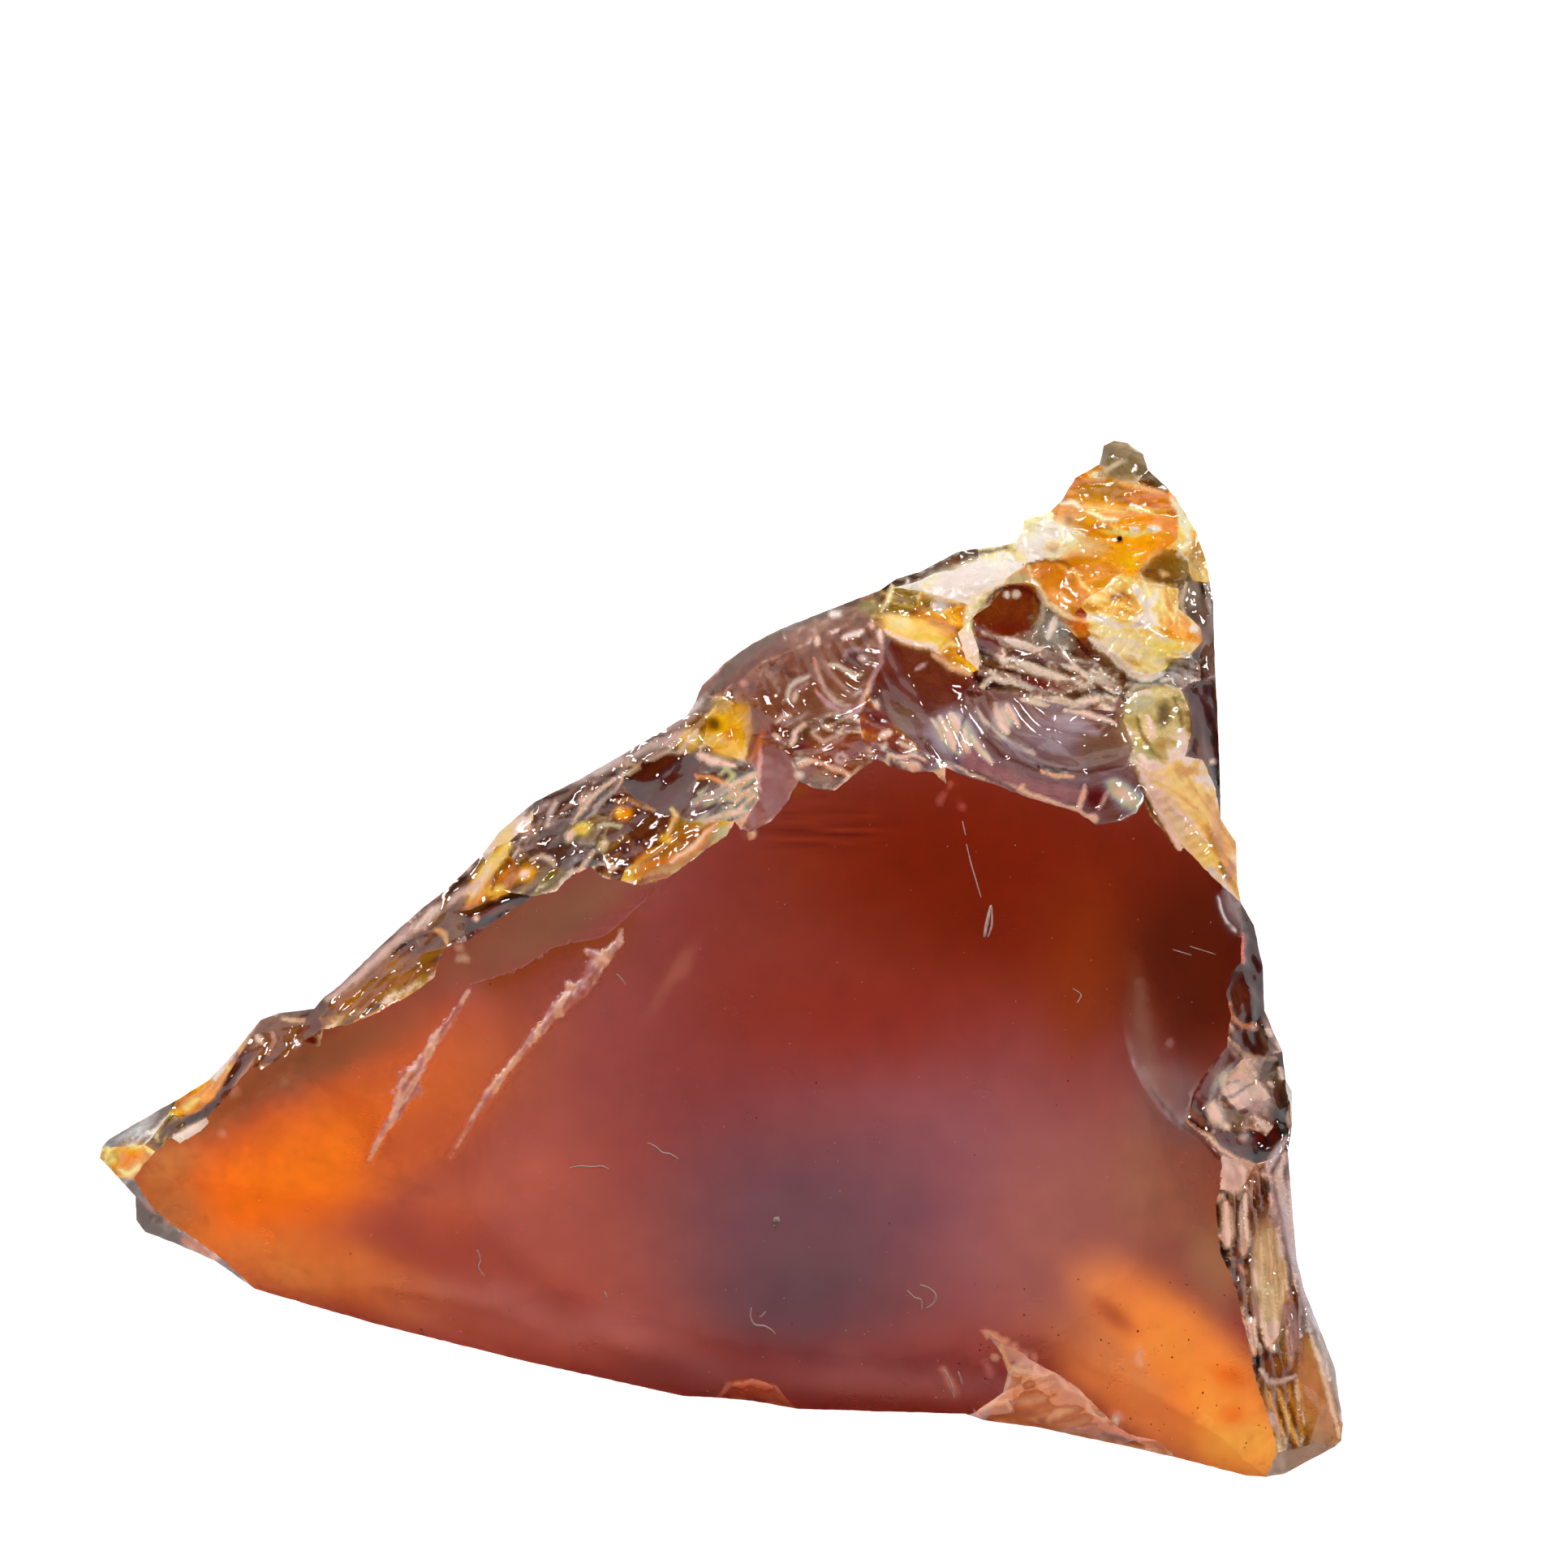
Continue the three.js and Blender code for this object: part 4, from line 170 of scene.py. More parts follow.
# the chips, flanks and crust: name, kind of surface, corners
CHIPS = [
    ("tip_grey", "glass", [57,102,56, 58,99,100, 58,100,57, 100,101,57, 102,57,101, 99,58,59]),
    ("tip_gold", "gold", [55,56,102, 102,54,55, 54,102,104, 104,105,54, 104,102,101, 101,103,104]),
    ("tip_side", "glass", [53,105,106, 105,53,54, 51,107,108, 53,106,107, 52,53,107, 107,51,52, 110,49,109, 50,109,49, 109,50,108, 51,108,50, 49,110,48]),
    ("tip_ledge", "brown", [100,103,101, 99,121,100, 121,122,100, 103,100,122, 115,119,116, 120,116,119, 119,115,118, 116,120,117, 99,117,120, 121,99,120]),
    ("tip_cream", "cream", [125,119,124, 119,125,120, 126,120,125, 118,123,119, 124,119,123, 120,126,121]),
    ("gold_strip", "gold", [116,59,115, 113,61,112, 61,113,60, 114,60,113, 115,59,60, 60,114,115, 117,99,59, 59,116,117, 111,62,63, 112,61,62, 62,111,112]),
    ("tip_strip", "brown", [113,131,114, 118,114,131, 114,118,115, 63,127,111, 127,128,111, 128,129,112, 129,130,112, 113,112,130, 131,113,130, 111,128,112]),
    ("ledge_a", "brown", [64,127,63, 65,132,133, 65,133,64, 133,134,64, 127,64,134]),
    ("ledge_b", "brown", [128,137,129, 133,135,134, 136,134,135, 134,136,127, 128,127,136, 137,128,136]),
    ("ledge_c", "brown", [132,138,133, 135,133,138, 138,139,135]),
    ("fl_silver", "glass", [67,142,66, 143,66,142, 142,67,141, 141,67,68, 68,140,141, 66,143,65, 132,65,143]),
    ("fl_olive2", "olive", [155,149,154, 149,155,150, 147,153,148, 154,149,148, 148,153,154, 151,152,147, 153,147,152, 150,155,138]),
    ("fl_olive", "olive", [143,142,149, 150,143,149, 146,147,140, 140,147,141, 147,148,141, 142,141,148, 143,150,132, 138,132,150, 149,142,148]),
    ("fl_silver2", "glass", [69,145,146, 140,68,69, 69,146,140, 70,144,69, 145,69,144]),
    ("fl_brown", "glass", [145,147,146, 151,156,157, 156,151,145, 147,145,151, 145,144,156]),
    ("u1", "glass", [160,161,70, 70,161,144, 159,71,158, 71,159,70, 160,70,159]),
    ("u2", "gold", [166,167,159, 159,167,160, 167,168,160, 161,160,168, 163,164,162, 162,164,158, 164,165,158, 159,158,165, 166,159,165]),
    ("u16", "darkglass", [167,239,168, 156,161,168, 168,239,156, 239,157,156, 238,169,237, 169,238,167, 239,167,238, 161,156,144]),
    ("u3", "cream", [72,163,162, 73,172,173, 73,173,72, 163,72,173, 72,162,71, 158,71,162]),
    ("u2b", "gold", [165,164,171, 165,171,170, 169,165,170, 165,169,166, 167,166,169]),
    ("u4", "glass", [172,178,173, 179,173,178, 173,179,163, 164,163,179, 171,164,179, 177,570,176, 570,74,175, 176,570,175, 175,185,176, 75,174,74, 74,570,73, 172,73,570, 570,177,172, 178,172,177, 175,74,174]),
    ("u14", "glass", [178,235,179, 234,177,206, 232,205,204, 234,206,205, 233,234,205, 205,232,233, 232,204,215, 177,234,178, 235,178,234]),
    ("u15", "olive", [235,237,170, 179,235,171, 235,170,171, 170,237,169, 236,234,233, 234,236,235, 237,235,236]),
    ("u8", "olive", [176,206,177, 205,185,204, 185,205,176, 206,176,205, 184,202,185, 202,203,185, 204,185,203]),
    ("u5", "glass", [75,183,174, 76,182,75, 183,75,182, 184,175,174, 77,180,76, 180,181,76, 182,76,181, 174,183,184, 185,175,184]),
    ("u10", "brown", [183,192,184, 202,207,211, 203,202,211, 210,208,209, 209,208,191, 191,208,192, 207,192,208, 211,207,208, 208,210,211, 210,213,214, 192,207,184, 207,202,184, 203,211,204, 211,210,204, 210,214,204, 214,215,204, 212,190,189, 209,191,190, 210,209,190, 213,210,190, 190,212,213]),
    ("u17", "brown", [214,224,215, 240,232,215, 215,224,240]),
    ("u6", "darkglass", [192,183,191, 190,568,189, 181,180,186, 186,187,181, 568,181,187, 187,188,568, 189,568,188, 181,568,182, 183,182,568, 191,183,568, 568,190,191]),
    ("u11", "gold", [213,223,214, 224,214,223, 212,189,216, 218,219,217, 220,217,219, 217,220,216, 212,216,220, 221,212,220, 212,221,213, 221,222,213, 223,213,222]),
    ("u7b", "olive", [77,193,180, 193,186,180, 194,201,195, 201,194,78, 77,78,194, 193,77,194]),
    ("u12", "silver_sheen", [188,216,189, 226,218,225, 217,225,218, 225,217,188, 216,188,217, 227,228,226, 228,229,226, 218,226,229, 230,218,229]),
    ("u7", "gold", [569,199,200, 194,195,196, 196,569,194, 194,569,193, 569,200,193, 569,196,197, 197,198,569, 199,569,198]),
    ("u13", "glass", [199,226,200, 200,226,225, 186,193,200, 187,186,200, 200,225,187, 188,187,225, 231,227,199, 226,199,227]),
    ("s3", "shoulder", [243,196,195, 198,197,249, 241,247,242, 562,242,247, 247,248,562, 197,562,248, 249,197,248, 242,562,243, 196,243,562, 562,197,196]),
    ("s1", "shoulder", [80,243,79, 243,195,79, 195,201,79, 78,79,201, 81,82,241, 242,81,241, 81,242,80, 243,80,242]),
    ("s5", "crumple", [249,267,198, 560,262,263, 256,561,248, 266,248,561, 265,266,561, 561,560,265, 264,265,560, 560,263,264, 248,266,249, 267,249,266, 254,257,255, 258,259,260, 561,256,255, 255,257,561, 257,258,561, 258,260,561, 260,261,561, 560,561,261, 262,560,261]),
    ("s6", "pink", [228,269,229, 270,229,269, 231,267,266, 266,265,231, 227,231,265, 265,264,227, 264,268,227, 228,227,268, 269,228,268, 198,267,199, 267,231,199, 229,270,230]),
    ("b3", "chipsmall", [549,550,43, 43,550,551, 551,42,43, 549,43,548, 44,548,43]),
    ("s4", "shoulder", [246,247,241, 247,256,248, 563,254,255, 244,250,245, 254,563,253, 245,250,251, 563,245,251, 251,252,563, 253,563,252, 245,563,246, 247,246,563, 563,255,247, 256,247,255]),
    ("s2", "shoulder", [83,246,82, 246,241,82, 84,244,83, 244,245,83, 246,83,245]),
    ("w1c", "olive", [84,250,244, 352,360,84, 250,84,360, 360,361,250, 358,359,352, 360,352,359]),
    ("c6", "bead", [425,259,258, 424,428,429, 259,425,424, 424,429,259, 411,426,427, 411,427,412, 428,424,412, 412,427,428]),
    ("c5", "orangedark", [253,415,254, 425,258,257, 254,415,414, 257,254,414, 425,257,414, 414,413,425, 413,424,425, 424,413,412]),
    ("w1d", "gold", [366,576,365, 360,576,361, 576,366,361, 359,358,574, 574,358,357, 357,363,574, 363,364,574, 359,574,364, 356,362,357, 363,357,362, 576,360,359, 365,576,359, 359,364,365]),
    ("c1", "shoulderbrown", [365,564,366, 251,361,366, 252,251,366, 366,564,252, 397,252,564, 564,396,397, 361,251,250, 252,397,253, 369,392,371, 393,371,392, 371,393,372, 394,372,393, 564,365,364, 364,372,564, 372,394,564, 394,395,564, 396,564,395]),
    ("w1a", "greyrim", [352,85,351, 85,352,84, 350,86,87, 88,348,87, 348,349,87, 350,87,349, 351,85,86, 86,350,351]),
    ("c3", "conch", [414,397,396, 396,413,414, 415,253,397, 397,414,415, 412,395,394, 394,411,412, 393,408,394, 413,396,395, 395,412,413, 394,408,407, 411,394,407, 410,411,407, 410,407,406, 406,409,410]),
    ("w1b", "cream", [350,358,351, 348,575,349, 357,350,349, 349,575,357, 575,356,357, 300,90,301, 90,300,89, 348,88,89, 89,300,348, 300,299,348, 575,348,299, 299,353,575, 353,354,575, 356,575,354, 355,356,354, 358,350,357, 352,351,358]),
    ("w1e", "cream", [362,356,355, 367,368,370, 368,369,370, 362,367,363, 367,370,363]),
    ("w1f", "gold", [371,370,369, 364,363,370, 372,364,370, 370,371,372]),
    ("c2", "conch", [392,391,393, 391,408,393, 390,554,407, 554,390,389, 388,553,389, 554,389,553, 406,554,553, 553,405,406, 404,387,386, 401,402,403, 401,400,441, 386,383,398, 399,386,398, 386,399,400, 404,386,400, 400,401,404, 401,403,404, 553,388,387, 387,404,553, 405,553,404, 408,391,390, 390,407,408, 407,554,406]),
    ("h0", "crustpale", [299,373,353, 297,313,298, 313,374,298, 298,374,299, 373,299,374, 374,313,312]),
    ("h1", "pit", [373,552,353, 353,552,354, 378,354,552, 552,373,374, 376,377,552, 378,552,377, 375,312,311, 312,375,374, 552,374,375, 376,552,375, 354,378,355, 362,355,378, 367,362,378]),
    ("b1", "chipgrey", [534,540,533, 540,534,535, 539,540,535, 535,538,539, 538,535,536, 536,537,538]),
    ("g2", "cream", [91,301,90, 300,301,297, 298,300,297, 300,298,299, 295,286,294, 286,295,287, 296,287,295, 307,296,295, 93,287,92, 91,92,287, 287,296,91, 301,91,296, 297,301,296]),
    ("h2", "crumple", [376,380,377, 381,378,377, 377,380,381, 375,311,310, 310,347,375, 347,379,375, 375,379,376, 380,376,379, 368,367,378, 378,381,368]),
    ("h4", "crumple", [389,578,380, 380,578,381, 390,381,578, 578,389,390, 385,577,388, 379,385,380, 385,388,380, 389,380,388, 383,386,384, 387,384,386, 577,385,384, 384,387,577, 388,577,387, 369,368,381, 381,390,369, 392,369,390, 391,392,390]),
    ("c4", "conch", [406,423,409, 423,406,405, 405,565,423, 565,422,423, 420,404,419, 403,402,416, 416,418,403, 418,416,417, 419,404,403, 403,418,419, 565,405,404, 422,565,404, 421,422,404, 404,420,421]),
    ("b2", "chip", [547,539,538, 538,587,547, 40,547,587, 586,537,541, 537,586,538, 587,538,586, 586,39,587, 40,587,39, 38,543,544, 544,545,38, 586,541,542, 39,586,542, 542,543,39, 543,38,39, 38,545,37, 547,40,546]),
    ("g4", "crusttan", [312,296,307, 582,306,305, 305,308,582, 306,582,307, 312,307,582, 311,312,582, 310,311,582, 582,308,310, 308,309,310, 313,297,296, 296,312,313, 308,305,304]),
    ("g1a", "crust", [94,95,278, 97,275,96, 275,97,272, 274,277,275, 96,275,95, 278,95,275, 275,277,278]),
    ("g1c", "crust", [287,93,94, 94,286,287, 285,556,277, 277,555,285, 555,284,285, 555,277,281, 281,280,555, 280,283,555, 284,555,283, 277,556,278, 94,278,556, 286,94,556, 556,285,286, 283,280,279, 279,282,283]),
    ("g3", "crust", [295,306,307, 302,292,291, 581,293,292, 292,302,581, 303,581,302, 293,581,294, 295,294,581, 306,295,581, 305,306,581, 581,303,305, 303,304,305]),
    ("g9", "orangedark", [347,310,309, 309,346,347, 341,344,342, 309,308,331, 331,343,309, 346,309,343, 345,346,343, 343,342,345, 342,344,345]),
    ("h3", "crumple", [379,347,346, 346,345,379, 345,385,379, 344,341,340, 384,344,340, 384,340,339, 339,382,384, 383,384,382, 385,345,344, 344,384,385]),
    ("g8a", "crustpale", [303,330,304, 331,304,330, 327,328,557, 329,557,328, 290,319,291, 302,291,319, 319,327,302, 303,302,327, 327,557,303, 330,303,557, 557,329,330, 304,331,308]),
    ("g8c", "crustpale", [343,331,330, 342,343,330, 330,341,342, 558,338,339, 558,329,328, 338,558,337, 341,330,329, 340,341,329, 329,558,340, 558,339,340, 559,335,336, 559,333,332, 335,559,332, 332,334,335, 334,332,323, 558,328,333, 333,559,558, 559,336,558, 337,558,336]),
    ("n1b", "nub", [274,272,271, 272,274,275, 1,2,271, 2,3,271, 3,273,271, 274,271,273]),
    ("n1", "nub", [0,271,98, 271,272,98, 97,98,272, 271,0,1]),
    ("g1d", "crust", [293,285,284, 284,292,293, 283,289,284, 289,290,284, 292,284,290, 291,292,290, 294,286,285, 285,293,294, 282,288,283, 289,283,288]),
    ("r0", "glass", [382,339,338, 338,433,382, 433,338,337, 382,433,383, 433,398,383, 334,430,335, 336,335,430, 430,431,336, 432,336,431, 430,334,322, 322,321,430, 336,432,337, 433,337,432]),
    ("r1", "olivepale", [441,440,401, 438,579,437, 579,432,431, 431,434,579, 434,435,579, 435,436,579, 437,579,436, 432,579,433, 398,433,579, 399,398,579, 400,399,579, 441,400,579, 579,438,441, 440,441,438, 439,440,438]),
    ("r3d", "brown", [402,401,440, 440,416,402, 455,417,416, 457,454,453, 452,456,453, 457,453,456, 416,440,455, 417,455,454, 458,417,454, 454,457,458]),
    ("g8b", "crustpale", [327,319,318, 326,325,333, 325,332,333, 332,325,324, 324,323,332, 317,326,318, 327,318,326, 328,327,326, 326,333,328]),
    ("n2", "brown", [3,276,273, 276,3,4]),
    ("g1b", "crust", [276,280,273, 281,273,280, 273,281,274, 277,274,281, 4,5,276, 280,276,5, 5,279,280]),
    ("g6", "crustpale", [282,314,288, 279,5,6, 282,279,6, 314,282,6, 315,314,6, 6,7,315, 316,315,7, 320,316,7, 7,8,320]),
    ("g5", "brownchip", [583,288,314, 583,314,315, 315,316,583, 316,317,583, 288,583,289, 290,289,583, 319,290,583, 318,319,583, 583,317,318]),
    ("r3a", "flake", [437,447,438, 443,444,436, 437,436,444, 447,437,444, 446,447,444, 444,445,446, 438,447,439]),
    ("g7", "glass", [316,320,317, 326,317,320, 320,325,326, 9,10,324, 10,323,324, 323,10,322, 322,10,11, 321,322,11, 8,9,320, 325,320,9, 9,324,325, 323,322,334]),
    ("r2", "darkglass", [430,434,431, 13,14,442, 11,12,321, 12,13,580, 443,580,13, 434,430,321, 321,12,434, 12,580,434, 435,434,580, 580,443,435, 436,435,443, 13,442,443]),
    ("r3c", "flake", [454,447,446, 453,454,446, 446,566,453, 566,452,453, 448,450,567, 449,567,451, 567,450,451, 566,446,445, 445,449,566, 452,566,449, 449,451,452, 567,449,448, 450,448,17, 447,454,455, 440,439,447, 447,455,440]),
    ("r3b", "flake", [444,443,442, 445,444,442, 442,14,445, 14,449,445, 449,14,15, 15,16,448, 16,17,448, 449,15,448]),
    ("r5f", "scoopedge", [468,470,487, 470,469,487, 486,487,469, 480,486,469, 486,480,485, 480,479,485, 479,484,485, 470,468,467]),
    ("r5e", "darkglass", [479,478,484, 478,483,484, 481,476,25, 476,481,477, 482,477,481, 475,24,476, 24,25,476, 477,482,478, 483,478,482]),
    ("r4", "darkglass", [464,573,463, 465,17,18, 18,19,465, 464,465,19, 573,464,19, 19,20,573, 20,459,573, 461,573,459, 460,461,459, 463,573,462, 573,461,462]),
    ("k2", "columns", [488,481,492, 496,497,495, 488,492,493, 489,488,493, 494,489,493, 500,490,489, 499,500,489, 489,494,499, 494,495,499, 495,497,499, 498,499,497]),
    ("k3", "olivecream", [507,508,571, 495,494,501, 501,502,495, 508,495,502, 571,508,502, 502,503,571, 507,571,503, 506,507,503, 503,504,506, 504,505,506]),
    ("k7b", "columns", [520,510,509, 509,519,520]),
    ("r5a", "crumple", [459,466,460, 467,460,466, 459,20,21, 466,459,21, 461,460,468, 460,467,468]),
    ("r5b", "glint", [466,471,467, 572,467,471, 471,473,572, 474,572,473, 473,471,472, 467,572,470, 469,470,572, 572,474,469]),
    ("r5d", "crumple", [477,474,473, 472,475,473, 477,473,475, 476,477,475, 480,469,474, 479,480,474, 478,479,474, 474,477,478]),
    ("k1", "creampatch", [481,488,482, 491,483,482, 482,488,491, 488,489,491, 490,491,489]),
    ("k4", "columns", [495,508,496, 497,496,508, 508,507,512, 511,512,507, 507,506,511, 506,510,511, 510,506,505, 509,510,505, 513,498,497, 497,508,513, 508,512,513]),
    ("k6", "brown", [515,503,502, 515,502,501, 503,515,514, 504,503,514, 516,517,504, 505,504,517, 518,505,517, 519,509,505, 505,518,519, 504,514,516]),
    ("k7", "flute", [518,584,527, 526,527,584, 584,524,526, 525,526,524, 517,521,518, 584,518,521, 521,522,584, 522,523,584, 524,584,523, 520,519,518, 518,527,520]),
    ("k10", "greybrown", [524,34,525, 532,525,34, 35,532,34, 32,33,531, 523,531,588, 531,33,588, 523,588,524, 34,524,588, 588,33,34]),
    ("k9", "silver_sheen", [530,30,31, 528,29,30, 529,528,30, 30,530,529, 514,28,29, 29,528,514, 514,528,516]),
    ("k8", "olivebrown", [31,32,531, 530,31,585, 31,531,585, 523,585,531, 528,529,516, 517,516,529, 521,517,529, 529,530,521, 530,585,521, 522,521,585, 585,523,522]),
    ("r5c", "darkglass", [472,22,23, 475,472,23, 23,24,475, 21,22,466, 471,466,22, 22,472,471]),
    ("k5", "silver_sheen", [26,27,501, 27,28,515, 25,26,492, 26,493,492, 493,26,494, 26,501,494, 492,481,25, 28,514,515, 501,27,515]),
]
# underside points (they follow the rim points), its sloping faces, and its flat face
BACK_POINTS = [
    846,948,131, 960,872,138, 1086,822,128, 1200,790,104, 1305,742,86, 1408,760,92, 1452,860,108, 1462,990,154,
    1488,1140,171, 1506,1290,158, 1498,1430,150, 1530,1580,172, 1560,1690,203, 1488,1752,232, 1370,1722,242, 1230,1712,214,
    1060,1704,190, 900,1690,184, 700,1640,196, 470,1576,236, 330,1524,246, 236,1452,239, 262,1392,219, 380,1312,216,
    500,1212,197, 610,1112,177, 718,1020,150, 905,1015,0, 1062,962,0, 1228,988,0, 1325,1080,0, 1385,1228,0,
    1402,1400,0, 1382,1532,0, 1288,1612,0, 1100,1642,0, 882,1617,0, 704,1562,0, 606,1470,0, 642,1332,0,
    764,1162,0, 520,1440,96, 480,1350,98, 620,1590,70, 780,1640,80, 1180,1680,110, 1420,1620,92, 1460,1500,60,
    1440,1290,66, 1420,1120,70, 1300,880,62, 1150,880,74, 960,940,62, 800,1070,58, 650,1200,70, 560,1300,72,
    1330,1660,110, 1000,1672,100,
]
BACK = [
    57,54,56, 55,56,54, 52,53,51, 60,121,59, 121,60,61, 122,141,140, 49,120,119, 119,48,49, 59,121,58, 54,57,120, 53,54,120, 51,53,120,
    50,51,120, 120,49,50, 122,64,65, 68,123,67, 65,66,122, 72,124,71, 70,71,124, 69,70,124, 138,137,140, 123,68,69, 69,124,123, 137,142,118,
    64,122,63, 62,63,122, 61,62,122, 121,61,122, 48,119,118, 118,47,48, 75,125,74, 74,125,73, 76,77,99, 76,99,75, 125,75,99, 139,125,152,
    135,143,136, 117,136,143, 46,117,45, 82,100,81, 80,81,100, 84,101,83, 101,84,85, 127,101,150, 83,101,82, 100,82,101, 101,127,100, 151,100,127,
    126,151,127, 134,115,156, 43,116,42, 80,100,79, 78,79,100, 77,78,100, 151,126,99, 152,99,126, 139,152,126, 134,156,135, 156,116,135, 45,117,116,
    44,45,116, 116,43,44, 73,125,72, 124,72,125, 125,139,124, 139,153,124, 123,124,153, 123,153,138, 153,139,138, 142,137,136, 136,117,142, 47,118,46,
    102,88,89, 114,41,115, 114,40,41, 91,92,93, 94,103,93, 91,93,103, 91,103,90, 89,90,103, 102,89,103, 103,149,128, 114,144,133, 40,114,39,
    97,98,0, 0,1,97, 97,1,2, 2,3,97, 96,97,3, 147,131,130, 38,113,37, 94,95,96, 96,3,94, 103,94,104, 149,103,104, 148,130,129,
    39,114,113, 113,38,39, 105,10,11, 11,12,105, 12,13,105, 106,105,13, 13,14,106, 16,17,107, 34,35,111, 32,33,31, 23,24,22, 29,30,111,
    30,31,111, 31,33,111, 34,111,33, 107,17,18, 18,19,107, 108,107,19, 19,20,108, 20,21,108, 21,22,108, 109,108,22, 22,24,109, 24,25,109,
    25,26,109, 109,26,110, 26,27,110, 27,28,110, 28,29,110, 29,111,110, 111,35,112, 35,36,112, 104,5,6, 6,7,104, 7,8,104, 8,9,104,
    104,9,105, 148,129,106, 14,15,106, 130,148,107, 147,130,108, 108,109,147, 131,147,109, 109,146,131, 132,131,146, 145,132,111, 111,112,145, 113,155,112,
    37,113,112, 112,36,37, 88,102,87, 86,87,102, 85,86,102, 101,85,102, 150,101,102, 127,150,128, 133,144,134, 115,134,144, 42,115,41, 100,151,99,
    99,77,100, 148,106,107, 16,107,106, 15,16,106, 146,109,110, 114,133,113, 144,114,115, 116,156,115, 115,42,116, 143,135,116, 117,143,116, 118,142,117,
    117,46,118, 123,154,122, 67,123,122, 66,67,122, 99,152,125, 4,5,104, 3,4,104, 104,94,3, 9,10,105, 57,58,121, 121,120,57, 150,102,128,
    102,103,128, 128,149,104, 104,105,128, 105,106,129, 129,128,105, 107,108,130, 146,110,132, 110,111,132, 132,145,133, 145,112,133, 155,133,112, 155,113,133,
    137,118,119, 119,120,137, 140,137,121, 121,122,140, 120,121,137, 138,140,141, 141,122,138, 154,138,122, 138,154,123,
]
REST = [
    135,139,134, 139,135,138, 135,136,138, 137,138,136, 131,132,133, 128,129,127, 129,130,127, 126,127,130, 139,126,130, 134,139,130, 130,131,134, 131,133,134,
]
